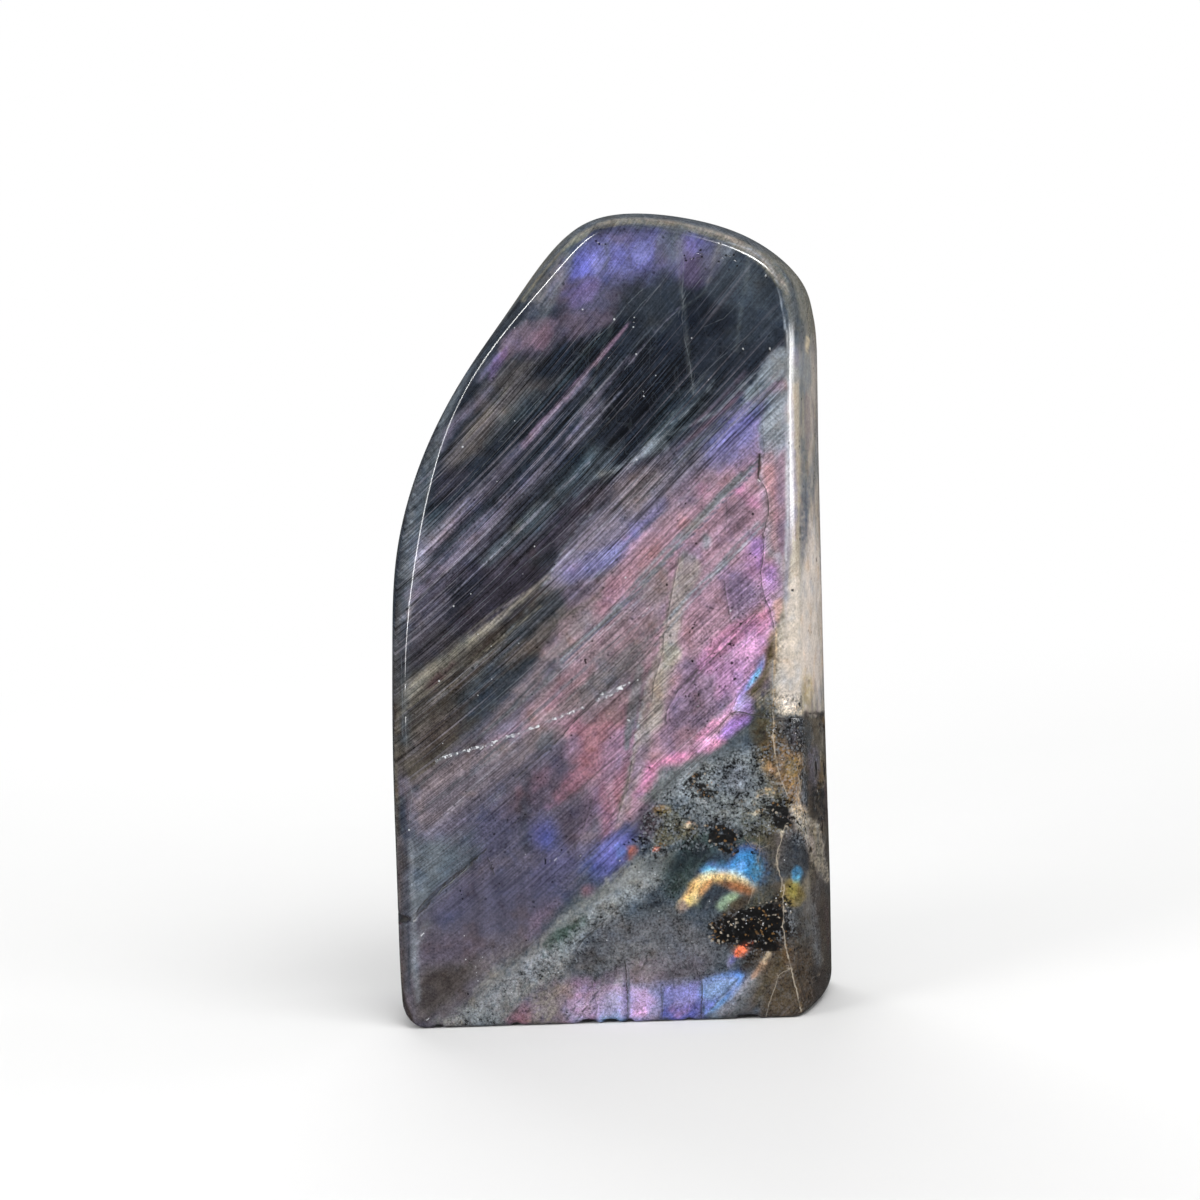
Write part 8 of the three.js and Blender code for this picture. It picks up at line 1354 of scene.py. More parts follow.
back = add(np.stack([gx, back_depth(gx, gz), gz], -1)).reshape(N_TOP // 2 + 1, N_SIDE // 2 + 1)
bridge(ring, border(back), 1)
sheet(np.stack([back[:-1, :-1], back[:-1, 1:], back[1:, 1:], back[1:, :-1]], -1), 1)

V = np.concatenate(verts)
Q, R = np.concatenate(quads), np.concatenate(tris)
depth = V[:, 1].copy()  # behind the face's rim
V[:, 1] += FACE_Y

# ------------------------------------------------------------------ where each point lies
X, Y, Z = V.T
eye_t = (FACE_Y - EYE[1]) / (Y - EYE[1])
FX, FZ = EYE[0] + (X - EYE[0]) * eye_t, EYE[2] + (Z - EYE[2]) * eye_t  # the point of the face it lies over, from the eye
depth = np.clip(depth, 0, None)
on_face = 1 - smooth(2.9, 4.6, depth)
SX, SZ, SQ = X + (FX - X) * on_face, Z + (FZ - Z) * on_face, depth * (1 - on_face)
S_, T_ = lamella(SX, SZ, SQ)
near = depth < 4.7

# ------------------------------------------------------------------ markings of the face
fx, fz = FX[near], FZ[near]
F = grain_fields(fx, fz, S_[near], T_[near])
face_col = np.empty((near.sum(), 3))
face_col[:] = PALETTE["slate"]
for i, (form, colour, opacity, soft, rag, comb, grain, pts, *widths) in enumerate(MARKINGS):
    W = np.array([float(v) for v in widths[0].split()]) if widths else None
    lay(face_col, fx, fz, F, i, form, colour, opacity, soft, rag, comb, grain, points_of(pts), W)


# ------------------------------------------------------------------ markings of the sides and the back, in depth
def noise3(x, y, z, seed):
    i, j, k = (np.floor(v).astype(np.int64) for v in (x, y, z))
    f = [x - i, y - j, z - k]
    u, v, w = (g**3 * (g * (g * 6 - 15) + 10) for g in f)

    def corner(a, b, c):
        h = _hash(i + a, (j + b) * 57 + (k + c) * 7919, seed)
        h2 = _hash(h, k + c, seed + 7)
        a1, a2 = h * (2 * math.pi / 4294967296.0), h2 * (2 / 4294967296.0) - 1
        r = np.sqrt(np.maximum(1 - a2 * a2, 0))
        return r * np.cos(a1) * (f[0] - a) + r * np.sin(a1) * (f[1] - b) + a2 * (f[2] - c)

    def mix(a, b, s):
        return a + (b - a) * s

    return 1.5 * mix(
        mix(mix(corner(0, 0, 0), corner(1, 0, 0), u), mix(corner(0, 1, 0), corner(1, 1, 0), u), v),
        mix(mix(corner(0, 0, 1), corner(1, 0, 1), u), mix(corner(0, 1, 1), corner(1, 1, 1), u), v), w)


def fbm3(x, y, z, seed, octaves=3, gain=0.5):
    r, a, total = 0, 1.0, 0.0
    for o in range(octaves):
        r = r + a * noise3(x * 2**o + 3.1 * o, y * 2**o, z * 2**o - 5.7 * o, seed + 31 * o)
        total += a
        a *= gain
    return r / total * 1.3


def blend(col, colour, cover):
    c = np.array(PALETTE[colour], float)
    return col + (c - col) * np.clip(cover, 0, 1)[:, None]


far = depth > 2.7
x, y, z, q = X[far], Y[far], Z[far], depth[far]
s, t = lamella(x, z, q)
u3 = (x - 0.8 * (y - FACE_Y)) / 1.28  # along the third direction of the crystal
big = fbm3(x / 24, y / 24, z / 24, 41)
mid = fbm3(x / 8, y / 8, z / 8, 42)
fine = fbm3(x / 2.2, y / 2.2, z / 2.2, 43, 2)
speck = fbm3(x / 0.9, y / 0.9, z / 0.9, 44, 2, 0.7)
band = fbm3(s / 7.5, t / 34, u3 / 30, 45)
comb1 = fbm3(s / 1.5, t / 16, u3 / 14, 46, 3, 0.6)
comb2 = fbm3(s / 3.6, t / 30, u3 / 26, 47, 2)
body = np.empty((far.sum(), 3))
body[:] = PALETTE["gunmetal"]
body = blend(body, "deep", smooth(-0.05, 0.45, big + 0.35 * band + 0.2 * mid))
body = blend(body, "tealgrey", 0.75 * smooth(0.0, 0.5, -big + 0.5 * band + 0.3 * mid))
body = blend(body, "olive", 0.6 * smooth(0.1, 0.5, mid - 0.5 * big))
body = blend(body, "steel", 0.65 * smooth(0.08, 0.5, comb1 + 0.4 * band))
body = blend(body, "night", 0.75 * smooth(0.12, 0.55, -comb1 + 0.4 * comb2))
body = blend(body, "lilac", 0.5 * smooth(0.15, 0.5, comb2 + 0.3 * comb1) * smooth(-0.1, 0.4, -mid))
body = blend(body, "khaki", 0.45 * smooth(0.2, 0.6, comb2 - 0.4 * mid) * smooth(0.0, 0.4, mid))
# flashes of labradorescence that follow the lamellae
hue = fbm3(x / 15, y / 15, z / 15, 51, 2)
glow = smooth(0.06, 0.42, band + 0.35 * comb1) * smooth(-0.02, 0.4, fbm3(x / 17 + 3, y / 17, z / 17, 52, 2)) * smooth(8, 16, q)
for colour, lo, hi, power in (("indigo", -1.0, 0.05, 0.85), ("royal", -0.45, -0.05, 0.6), ("azure", -0.1, 0.22, 0.8),
                              ("sage", 0.15, 0.4, 0.75), ("gold", 0.32, 0.8, 0.6)):
    body = blend(body, colour, power * glow * smooth(lo - 0.08, lo + 0.08, hue) * (1 - smooth(hi - 0.08, hi + 0.08, hue)))
# pale feldspar on the right, with brown stain below it
right = smooth(27, 37, x + 3.5 * mid + 1.5 * fine)
level = z + 0.18 * q + smooth(5, 16, q) * (1.5 * fbm(q * 0.16, z * 0.05, 88, 2) + 0.5 * fbm(q * 0.9, z * 0.5, 89, 2))
upper = smooth(56.7, 57.5, level + 0.35 * mid) * (1 - smooth(122, 131, z - 0.3 * q + 3 * mid))
pale = right * upper * (1 - 0.55 * smooth(17, 27, q + 4 * mid))
flow = fbm3(x / 2.6, y / 2.6, z / 15, 53)
body = blend(body, "beige", pale * 0.97)
body = blend(body, "bone", pale * 0.95 * smooth(-0.35, 0.2, mid + 0.3 * big) * (1 - smooth(84, 104, z + 4 * mid)))
body = blend(body, "chalk", pale * 0.8 * smooth(-0.6, 0.25, mid) * (1 - smooth(82, 100, z + 4 * mid)))
body = blend(body, "khaki", pale * 0.6 * smooth(0.05, 0.5, flow))
body = blend(body, "taupe", pale * 0.6 * smooth(0.05, 0.45, fbm3(x / 1.4, y / 1.4, z / 8, 54)))
body = blend(body, "ash", pale * 0.6 * smooth(0.1, 0.5, fbm3(x / 4.5, y / 4.5, z / 12, 56)) * smooth(70, 88, z))
stain = right * (1 - smooth(56.3, 57.3, level + 0.35 * mid))
body = blend(body, "mocha", stain * 0.9)
body = blend(body, "loam", stain * 0.75 * smooth(-0.05, 0.35, -mid))
body = blend(body, "moss", stain * 0.7 * smooth(0.05, 0.4, mid + 0.3 * fine))
body = blend(body, "honey", stain * 0.6 * smooth(0.12, 0.45, mid) * smooth(28, 44, z))
body = blend(body, "umber", 0.85 * right * (1 - smooth(20, 36, z + 6 * mid)))
# dark clusters and crumbly veins that run back from the face's lower right
cluster = smooth(0.1, 0.4, fbm3(x / 5, y / 5, z / 5, 55)) * np.exp(-(((z - 36 - 0.25 * (x - 20)) / 13) ** 2)) * smooth(-6, 14, x)
for seed, scale, half, colour, power in ((61, 34, 0.016, "grainy", 0.6), (62, 26, 0.007, "bone", 0.4)):
    vein = 1 - smooth(half * 0.6, half * 1.9, np.abs(fbm3(x / scale, y / scale, z / scale, seed, 3, 0.4)))
    body = blend(body, colour, power * vein * (0.75 + 0.6 * speck))
# grey shoulder round the top
crown = smooth(118, 134, z + 2 * mid) * (1 - smooth(13, 22, q + 3 * mid))
body = blend(body, "ash", 0.8 * crown)
body = blend(body, "khaki", 0.6 * crown * smooth(9, 15, q + 2 * mid))
body = blend(body, "gunmetal", 0.6 * crown * smooth(0.1, 0.45, fine + 0.4 * mid))
slope = smooth(112, 122, z) * (1 - smooth(-8, 2, x))
body = blend(body, "khaki", 0.7 * slope * smooth(4, 9, q))
# the left side is darker, with a thin brown rim
left = smooth(-30, -38, x) * (1 - smooth(16, 24, q))
body = blend(body, "slate", 0.55 * left)
body = blend(body, "umber", 0.6 * left * smooth(5.5, 9, q + 1.5 * mid) * (1 - smooth(84, 96, z)))
# markings drawn on the right side: depth behind the face and height
SIDE_MARKINGS = (
    ("patch", "khaki", 0.7, 2.0, 1.5, 0, 0.2, "1,142 12,141 22,137 22,126 12,125 1,130"),
    ("patch", "slate", 0.75, 1.6, 1.4, 0, 0.4, "0,142 3,139 4,132 5,127 1,126"),
    ("patch", "gunmetal", 0.7, 1.2, 1.2, 0, 0.4, "3,129 7,129 9,126 6,124 3,125"),
    ("patch", "fog", 0.6, 1.6, 1.4, 0, 0.2, "3,124 9,123 15,121 14,116 6,115 3,117"),
    # painted highlight: a cream glint where the right side turns into the top
    ("patch", "cream", 0.8, 0.5, 0.5, 0, 0.5, "8,126.2 11,126.4 12.5,124.6 10,123 8.4,124"),
    ("patch", "khaki", 0.5, 2.0, 1.6, 0, 0.2, "4,117 7,118 8,108 6,100 4,102"),
    ("patch", "taupe", 0.6, 1.2, 1.2, 0, 0.2, "9,116 13,114 13,108 10,104 8,108"),
    ("patch", "ash", 0.7, 1.6, 1.4, 0, 0.4, "3,108 6,108 12,103 14,97 10,95 4,96"),
    ("patch", "storm", 0.6, 2.2, 2.0, 0, 0.4, "3,97 8,98 11,95 10,89 7,85 3,84"),
    ("patch", "slate", 0.45, 1.2, 1.2, 0, 0.6, "3.5,94 5.5,95 6,91 5,88 3.5,89"),
    ("patch", "steel", 0.45, 1.4, 1.2, 0, 0.3, "3,88 6,86 7,80 4,76 3,78"),
    ("patch", "chalk", 0.75, 2.0, 1.6, 0, 0.2, "10,92 18,92 20,80 14,74 9,78 9,86"),
    ("patch", "chalk", 0.75, 3.0, 2.0, 0, 0.2, "2,84 16,86 24,82 25,61 12,60 2,62"),
    ("patch", "chalk", 0.6, 1.5, 1.2, 0, 0.4, "5,74 9,75 10,67 7,64 4,66"),
    ("patch", "ochre", 0.35, 1.6, 1.5, 0, 0.5, "3,64 10,63 12,59 6,56.5 3,57"),
    ("patch", "cream", 0.5, 0.6, 0.6, 0, 0.4, "10,104.5 12,105 12,101 10.6,101.4"),
    ("patch", "black", 0.8, 0.2, 0.2, 0, 0.2, "2.6,106.3 3.6,106.5 3.8,105.3 2.8,105.2"),
    ("patch", "black", 0.8, 0.2, 0.2, 0, 0.2, "15.6,84.2 17,84.4 17.2,83.2 16,83"),
    ("patch", "black", 0.8, 0.2, 0.2, 0, 0.2, "8.4,62.4 9.4,62.5 9.6,61.6 8.6,61.5"),
    ("patch", "black", 0.75, 0.25, 0.3, 0, 0.3, "3.2,91.4 4.6,91.9 4.9,90.2 3.6,90"),
    ("patch", "khaki", 0.55, 1.4, 1.3, 0, 0.6, "2,56.5 20,53 22,46 14,44 6,46 3,50"),
    ("patch", "slate", 0.7, 1.0, 1.2, 0, 0.6, "3,55 9,55 10,50 6,47 3,49"),
    ("patch", "violetgrey", 0.8, 1.2, 1.2, 0, 0.3, "5,49 13,50 17,44 10,41 6,42"),
    ("patch", "slate", 0.85, 0.8, 0.8, 0, 0.4, "2,45 5,45 6,41 4.5,38.6 2,39.5"),
    ("patch", "khaki", 0.4, 0.8, 0.8, 0, 0.4, "16,50 20,50 21,44 18,42 15,45"),
    ("patch", "black", 0.9, 0.7, 1.2, 0, 0.9, "5,41.6 11,42.4 19,41 23,36 20,33 13,34 8,36.5"),
    ("patch", "wine", 0.6, 0.9, 0.9, 0, 0.4, "19,42 23,40 23,31 20,33"),
    ("stroke", "bone", 0.8, 0.2, 0.5, 0, 0.3, "0.6,46 0.5,43.5 1,41.4 2,39.6 4,38", "0.35 0.3 0.35 0.3 0.2"),
    ("patch", "bone", 0.92, 0.3, 0.8, 0, 0.6, "0.2,41 1.5,40.4 4.5,37 9,35.4 12.5,33.6 14.5,30.4 17.5,26 23,21.6 20,20.2 9.5,24.3 5,28 3,32 0.8,36.4"),
    ("patch", "taupe", 0.5, 0.5, 0.8, 0, 0.6, "3,35.6 6,34 9,29 7,28.4 4,31.6"),
    ("patch", "khaki", 0.6, 0.6, 1.0, 0, 0.6, "9,33 12,31 14.5,26.6 12,26 8,29.6"),
    ("stroke", "umber", 0.7, 0.2, 0.5, 0, 0.2, "4.5,37.2 9,35.8 12.6,34 14.8,30.4 18,26 23,22", "0.2 0.3 0.25 0.3 0.25 0.2"),
    ("stroke", "umber", 0.8, 0.25, 0.4, 0, 0.2, "3,31 6,27.6 10,24.4 15,22.2 22,20.4", "0.4 0.5 0.5 0.4 0.3"),
    ("patch", "brown", 0.6, 1.4, 1.4, 0, 0.5, "3,28 8,26 20,20 18,14 8,17 3,20"),
    ("patch", "ash", 0.5, 1.2, 1.3, 0.3, 0.5, "1,23 4,23 8,18 12,10 9,7 4,9 1,15"),
    ("patch", "fog", 0.2, 1.0, 1.2, 0.3, 0.5, "2,20 4,20 7,13 6,9 3,12"),
    ("patch", "loam", 0.85, 1.2, 1.3, 0, 0.5, "9,22 16,20 24,16 24,4 12,5 9,12"),
    ("patch", "wine", 0.35, 1.0, 1.0, 0, 0.5, "13,20 18,18 20,9 15,8"),
    ("patch", "umber", 0.8, 1.0, 1.2, 0, 0.5, "0,12 2,12 4,6 5,1 1,2 0,6"),
    ("stroke", "umber", 0.8, 0.35, 0.4, 0, 0.2, "0,57.6 6,56.3 12,55.4 19,54.1 26,53.2", "0.5 0.6 0.5 0.6 0.3"),
    ("stroke", "vein", 0.6, 0.4, 0.5, 0, 0.2, "26,52 24,44 25,36 28,28 27,18 29,8", "0.6 0.8 0.6 0.9 0.6 0.4"),
)
on_right = x > 30
Fr = grain_fields(q[on_right], z[on_right], s[on_right], t[on_right])
part = body[on_right]
for i, (form, colour, opacity, soft, rag, comb, grain, pts, *widths) in enumerate(SIDE_MARKINGS):
    W = np.array([float(v) for v in widths[0].split()]) if widths else None
    lay(part, q[on_right], z[on_right], Fr, i, form, colour, opacity, soft, rag, comb, grain, points_of(pts), W)
edge_of_side = smooth(30, 36, x[on_right])[:, None]
body[on_right] = body[on_right] * (1 - edge_of_side) + part * edge_of_side

COL = np.zeros((len(V), 3))
COL[far] = body
full = np.zeros((len(V), 3))
full[near] = face_col
COL = COL * (1 - on_face)[:, None] + full * on_face[:, None]

# ------------------------------------------------------------------ cracks, glints and pits as distances
def nearest_line(kinds, x, z):
    """Signed distance to the nearest line over its half width, plain distance, strength."""
    best = np.full(x.shape, 1e9)
    signed, strength = np.full(x.shape, 9.0), np.zeros(x.shape)
    for kind, half, power, pts in LINES:
        if kind not in kinds:
            continue
        P = points_of(pts)
        lo, hi = P.min(0) - 2.0, P.max(0) + 2.0
        m = np.flatnonzero((x > lo[0]) & (x < hi[0]) & (z > lo[1]) & (z < hi[1]))
        if not len(m):
            continue
        xx, zz = x[m], z[m]
        for (ax, az), (bx, bz) in zip(P[:-1], P[1:]):
            ex, ez = bx - ax, bz - az
            L = math.hypot(ex, ez) + 1e-9
            f = np.clip(((xx - ax) * ex + (zz - az) * ez) / L**2, 0, 1)
            d = np.hypot(xx - ax - f * ex, zz - az - f * ez)
            perp = ((xx - ax) * ez - (zz - az) * ex) / L
            k = m[d < best[m]]
            sel = d < best[m]
            best[k], signed[k], strength[k] = d[sel], (perp / half)[sel], power
    return signed, best, strength


dark = nearest_line(("dark",), FX, FZ)
bright = nearest_line(("pale",), FX, FZ)
glint = nearest_line(("glit",), FX, FZ)
for k in (dark, bright, glint):
    k[2][:] *= on_face

pits = np.array([[float(v) for v in p.split(",")] for p in PITS.split()])
pit = np.full((len(V), 3), 9.0)
pit_kind = np.zeros(len(V))
idx = np.flatnonzero(near)
best = np.full(len(idx), 1e9)
for px_, pz_, pr_, pk_ in pits:
    m = np.flatnonzero((np.abs(FX[idx] - px_) < 2.5) & (np.abs(FZ[idx] - pz_) < 2.5))
    dx, dz = FX[idx[m]] - px_, FZ[idx[m]] - pz_
    d = np.hypot(dx, dz)
    ok = d < best[m]
    best[m[ok]] = d[ok]
    pit[idx[m[ok]]] = np.stack([dx[ok] / pr_, dz[ok] / pr_, d[ok]], -1)
    pit_kind[idx[m[ok]]] = pk_

# ------------------------------------------------------------------ how strongly each place is grained, combed, laced and sooted
def zones(start, table, edge):
    """Amounts painted over the face by outlines, each replacing what is under it."""
    amount = np.full(len(V), float(start))
    for power, pts in table:
        P = rounded(points_of(pts))
        lo, hi = P.min(0) - edge - 2, P.max(0) + edge + 2
        m = np.flatnonzero((FX > lo[0]) & (FX < hi[0]) & (FZ > lo[1]) & (FZ < hi[1]) & near)
        d = inside_distance(FX[m], FZ[m], P) + 0.45 * edge * noise(FX[m] / 2.2, FZ[m] / 2.2, 81)
        k = smooth(edge, -edge, d)
        amount[m] = amount[m] * (1 - k) + power * k
    return amount


GRAIN_ZONES = (
    (0.55, "-2.5,153.5 22.9,151.3 44,136.7 42.9,111.3 20.8,108.6 2.5,109.4 -20.2,99.4 -35.7,88.9 -34.9,103.7 -20.6,125.2"),
    (0.42, "15.3,145.3 36.8,138.8 37.2,127.9 28.9,124.7 14.4,127.2"),
    (0.6, "-37.6,89 -20.2,99.4 2.6,111.3 13.5,108.9 1.4,87.3 -10.1,80.3 -23.8,69.7 -38.2,62.8"),
    (0.66, "-2.3,87.5 9.5,101.7 34.1,119 38.3,111.5 36.7,74.7 23.7,52.9 6.2,36.6 -1.4,34.9 -11.3,57.9"),
    (0.85, "19.4,79.1 37.2,85.8 36.5,71 25.6,52.8 14.3,49.5"),
    (0.75, "-38.2,62.8 -17.8,76.9 -6.6,76.5 -18.5,63.9 -30.2,54.9 -39.1,47.7"),
    (0.62, "-39.2,45.8 -22.7,54.6 -7.4,61.5 -0.7,48.1 -1.5,31.2 -13.5,18.3 -25.3,9.1 -41,-0"),
    (0.45, "-37.4,28.6 -20.4,29.9 -9.2,27.6 -17.3,16.5 -32.5,15.1 -38.9,19.1"),
    (0.6, "-40,17.2 -26.6,18.7 -25.3,9.1 -33.4,-0.2 -41,-0"),
    (1.25, "-35.4,-2.1 -31.4,2 -21.6,8 -13.7,14.5 -2,22.6 5.7,27.1 9.5,28.9 11.7,26.9 7.3,22.3 1.5,17.8 -5.3,13.2 -10.3,7.7 -18.1,3.1 -24,-1.5"),
    (1.05, "-6.3,12.3 9.4,27 20.8,30.4 35.6,29.9 34.8,11 15.9,5.9 5,11.9 -6.6,6.6"),
    (1.9, "9.3,42.1 16,46.6 21.7,50.1 29.2,51.7 33.1,48.7 33.3,39.4 31.2,33.8 20.9,32.3 13.4,32.5 5.9,30.9 5.4,35.7"),
    (1.5, "29.6,60.1 37,61.7 41.9,55.9 41.8,35.3 35.7,31.7 31.2,35.7 31.8,46.9"),
    (0.9, "13.2,26.9 17.2,32.4 30.3,35.7 35.7,31.7 35.2,20.4 29.5,17.8 16.5,19.2"),
    (1.3, "19.6,20 31.5,21.5 35,16.6 32.9,11 21.8,13.3"),
    (1, "27.3,11.2 35,16.6 41.2,22.1 40.1,-2.5 24.9,-2.1"),
    (0.8, "-2.7,8.4 8.6,9 15.9,6.8 25.4,9.4 28.1,8.3 23.1,-0.1 -3.1,0.3"),
    (0.9, "-21.6,8 -2.7,9.3 -3.1,0.7 -22,0.9"),
    (0.35, "37.4,127.9 45.4,127.5 42.5,61.5 33.6,59.9 34.1,78.5"),
)
COMB_ZONES = (
    (0.35, "-2.5,153.5 22.9,151.3 40.5,138.6 39.2,111.4 28.2,110.1 19.4,116 10.8,129.2 -3.9,128.1 -11.6,121.1 -14.8,130.4"),
    (0.4, "15.3,145.3 36.8,138.8 38.2,127.9 32.3,119 21.2,115.9 12.7,129.1"),
    (1, "-19.2,117.8 -3.8,129.9 10.9,131 21.4,119.6 37.8,120.6 35.6,111.6 20.5,101.3 5.3,92.7 -9.7,87.8 -21.7,73.4 -37.3,62.7 -36.7,88.9 -29.2,105.3"),
    (0.8, "-37.3,77.7 -23.1,80.9 -5.8,91.3 9.5,101.7 8.9,90.7 1.1,81.7 -6.6,76.5 -18.4,65.7 -30.2,54.9 -39.3,43.9"),
    (0.55, "9.1,94.4 37.6,115.2 37.4,71 29.6,60.1 17.9,47.4 6.2,36.6 -1.4,34.9 -7.6,57.8 -14.9,61.8 -2.9,76.3"),
    (0.6, "-39.3,43.9 -30.3,53 -11.1,61.7 -5.9,55.9 -19.5,45.1 -35.2,34.3 -39.3,34.4"),
    (0.42, "-39.9,34.4 -35.2,34.3 -19.5,45.1 -6,54 -0.6,50 -3.4,31.2 -16.9,24.1 -39.7,21.1"),
    (0.2, "-39.6,23 -16.9,24.1 -1.6,29.3 -2.4,14.1 -33.5,-2.2 -41,-0"),
    (0.1, "6.1,34.7 17.9,47.4 31.4,60 42.5,61.5 40.6,-4.5 -33.5,-2.2 -21.5,9 2,27.3"),
    (0.15, "-3.1,9.3 29.1,8.9 26.7,-2.1 -10.7,-1"),
    (0.1, "37.3,133.4 46,132.9 42.6,55.5 32,55.9 34.1,78.5 35.7,96.9"),
)
SOOT_ZONES = (
    (1.08, "17.6,37.3 21.5,37.5 24.4,35.5 25,32.5 22.7,30.7 20.1,32.3 18.4,33.9"),
    (0.72, "15.3,47.5 19,47.8 21.5,45.8 21.7,42.4 19,40.6 16.5,41.9 14.8,44.6"),
    (1.08, "29.6,40.2 32,41.1 33.7,40.7 34.3,38.6 35.3,36.5 33.6,35.4 31.5,36.2 29.9,38.2"),
    (1.2, "37.2,41.1 39.4,41.4 40.9,39.8 40.4,36.8 38.1,36.5"),
    (1.05, "18,18.7 23.3,20.8 27.1,21.8 32.3,23.2 33.9,16.7 31.5,12.2 25.2,13.2 21.5,14.1 17.8,15.3"),
    (1.2, "20.2,17.1 23.9,17.8 27.7,19.2 31.5,20.2 31.6,16 29.3,14.2 25.3,15.4 22.7,15 20.5,15.6"),
    (0.6, "11.5,38.6 15.7,39.6 18.2,38 17.3,35.8 13.6,35.5"),
    (0.6, "6.8,34.3 10.3,35.7 12.8,34.1 11.9,31.1 7.8,30.5"),
    (0.72, "29.4,23.7 32,24.7 34.2,22.7 33.7,20.1 30.7,19.8"),
    (0.65, "33.8,55.8 37.9,56.8 40,54.5 39.1,51.1 35.8,50.5 34,52.5"),
    (0.7, "36.4,48.2 40.5,49.2 41.7,42.8 39.8,41 37.3,43.7"),
    (0.6, "24.7,42.3 29.5,41.4 30.8,39.1 27.1,38.1 24.6,39.7"),
    (0.6, "30.6,16.8 34.9,14.7 35.9,10.9 32.9,11.8 30.8,14.1"),
    (0.5, "24.7,34.8 30.3,35.3 31.3,31.9 28.2,30.5 24.9,31.7"),
)
LACE_ZONES = (
    (0.35, "4.6,149.5 22.8,150.4 38.6,138.7 38.1,126.1 20.8,108.6 2.1,102.1 -12.6,102.7 -19.4,114.1 -3.8,129.9"),
    (0.3, "-35.5,92.6 -19.6,110.4 -4.9,109.8 -5.8,91.3 -21.5,77.1 -36.6,74"),
    (0.45, "-5.1,106.1 39.4,115.1 37.4,71 18,49.3 -1.3,36.8 -7.4,61.5"),
    (0.6, "6.1,34.7 36.4,48.6 41.2,29.7 39.8,-2.5 15.5,-1.8 -2.4,14.1"),
)
UPRIGHT_ZONES = (
    (0.9, "11.9,31.5 30.2,32.7 31.2,21.5 11.3,19.7"),
    (0.5, "-0.9,150.7 22.8,149.5 26,141.2 14.8,134.5 -3.4,137.2"),
    (0.35, "1.2,83.6 20.7,104.9 38.5,115.1 36.5,71 17.9,47.4 2.5,36.7 -3.9,57.7"),
    (0.5, "-35,38 -23,50.9 -7.8,54.1 -0.8,46.3 -1.7,27.4 -13.5,18.3 -36.4,13.3"),
    (0.6, "-17.8,7.9 -2.6,10.3 29.1,8.3 28.6,-1.2 -18.2,0.2"),
)
grain_amt = zones(0.6, GRAIN_ZONES, 1.2)
comb_amt = zones(0.5, COMB_ZONES, 2.6)
soot_amt = zones(0.0, SOOT_ZONES, 1.0) * on_face
lace_amt = zones(0.1, LACE_ZONES, 2.5) * on_face
upright_amt = zones(0.1, UPRIGHT_ZONES, 3.0) * on_face
side_comb, side_grain, side_soot = np.zeros(len(V)), np.zeros(len(V)), np.zeros(len(V))
side_comb[far] = 0.42 * (1 - 0.85 * pale) * (1 - 0.8 * stain) * (1 - 0.5 * crown)
side_grain[far] = np.clip(0.55 + 0.45 * stain + 0.5 * cluster - 0.2 * pale, 0, 1.3)
side_soot[far] = np.clip(1.1 * cluster + 0.45 * stain * smooth(0.0, 0.3, mid), 0, 1)
comb_amt = comb_amt * on_face + side_comb * (1 - on_face)
grain_amt = grain_amt * on_face + side_grain * (1 - on_face)
soot_amt = soot_amt + side_soot * (1 - on_face)
lace_amt = lace_amt + 0.35 * (1 - on_face)
foot = smooth(0.35, 0.05, Z)
NOTCH_Z = 20.9
notch = np.exp(-(((Z - NOTCH_Z - 0.05 * (X + 40)) / 0.42) ** 2)) * smooth(-37.6, -39.8, X) * (1 - smooth(5.0, 8.0, depth))
foot = np.maximum(foot, notch)

# combed streaks wide enough for the mesh to carry; the finer ones are in the material
streak = np.zeros(len(V))
streak[near] = 0.5 * F["l"] + 0.45 * F["m"] + 0.55 * F["k"]
streak[far] = streak[far] * on_face[far] + (1 - on_face[far]) * 0.8 * comb1
COL = COL * (1 + 0.22 * comb_amt * streak)[:, None]

# ------------------------------------------------------------------ small real relief: open cracks, the notch at the left edge, chips on the foot's rim
relief = np.zeros(len(V))
for kinds, wide, deep in ((("dark",), 0.42, 0.16), (("glit",), 0.5, 0.07)):
    signed, plain, strength = nearest_line(kinds, FX, FZ)
    relief += deep * np.exp(-((plain / wide) ** 2)) * strength * on_face
open_crack = points_of("31.5,105 31.5,103.8 31.3,102.5 31.1,101.1")
d = stroke_distance(FX, FZ, open_crack, np.full(len(open_crack), 0.1))
relief += 0.22 * np.exp(-((np.clip(d, 0, None) / 0.45) ** 2)) * on_face
V[:, 1] += relief
V[:, 0] += 1.15 * notch
V[:, 1] += 0.35 * notch
chip = np.zeros(len(V))
for cx, half, tall in ((-5.5, 2.0, 0.9), (-1.2, 1.6, 0.75), (2.6, 0.9, 0.5), (24.6, 2.3, 0.85), (-19.0, 1.1, 0.45), (13.5, 0.9, 0.4), (-33.5, 1.2, 0.5)):
    rough = 1 + 0.35 * noise(X * 1.7, Z * 0 + 3.3, 71)
    chip = np.maximum(chip, tall * np.clip(1 - ((X - cx) / half / rough) ** 2, 0, 1))
low = smooth(1.7, 0.2, Z) * (1 - smooth(1.4, 3.2, depth))
V[:, 1] += 0.95 * chip * low
V[:, 2] += 0.55 * chip * smooth(1.0, 0.0, Z) * (1 - smooth(1.0, 2.2, depth)) * smooth(0.0, 0.5, depth + 0.2)
# the chips are also darkened in colour: painted shade in the chip hollows
chip_shade = chip * smooth(1.1, 0.4, Z) * (1 - smooth(2.0, 3.2, depth))
COL = COL * (1 - 0.85 * np.clip(chip_shade, 0, 1))[:, None]
COL = COL * (1 - 0.8 * np.clip(notch, 0, 1))[:, None] + np.array(PALETTE["wine"]) * (0.35 * np.clip(notch, 0, 1))[:, None]

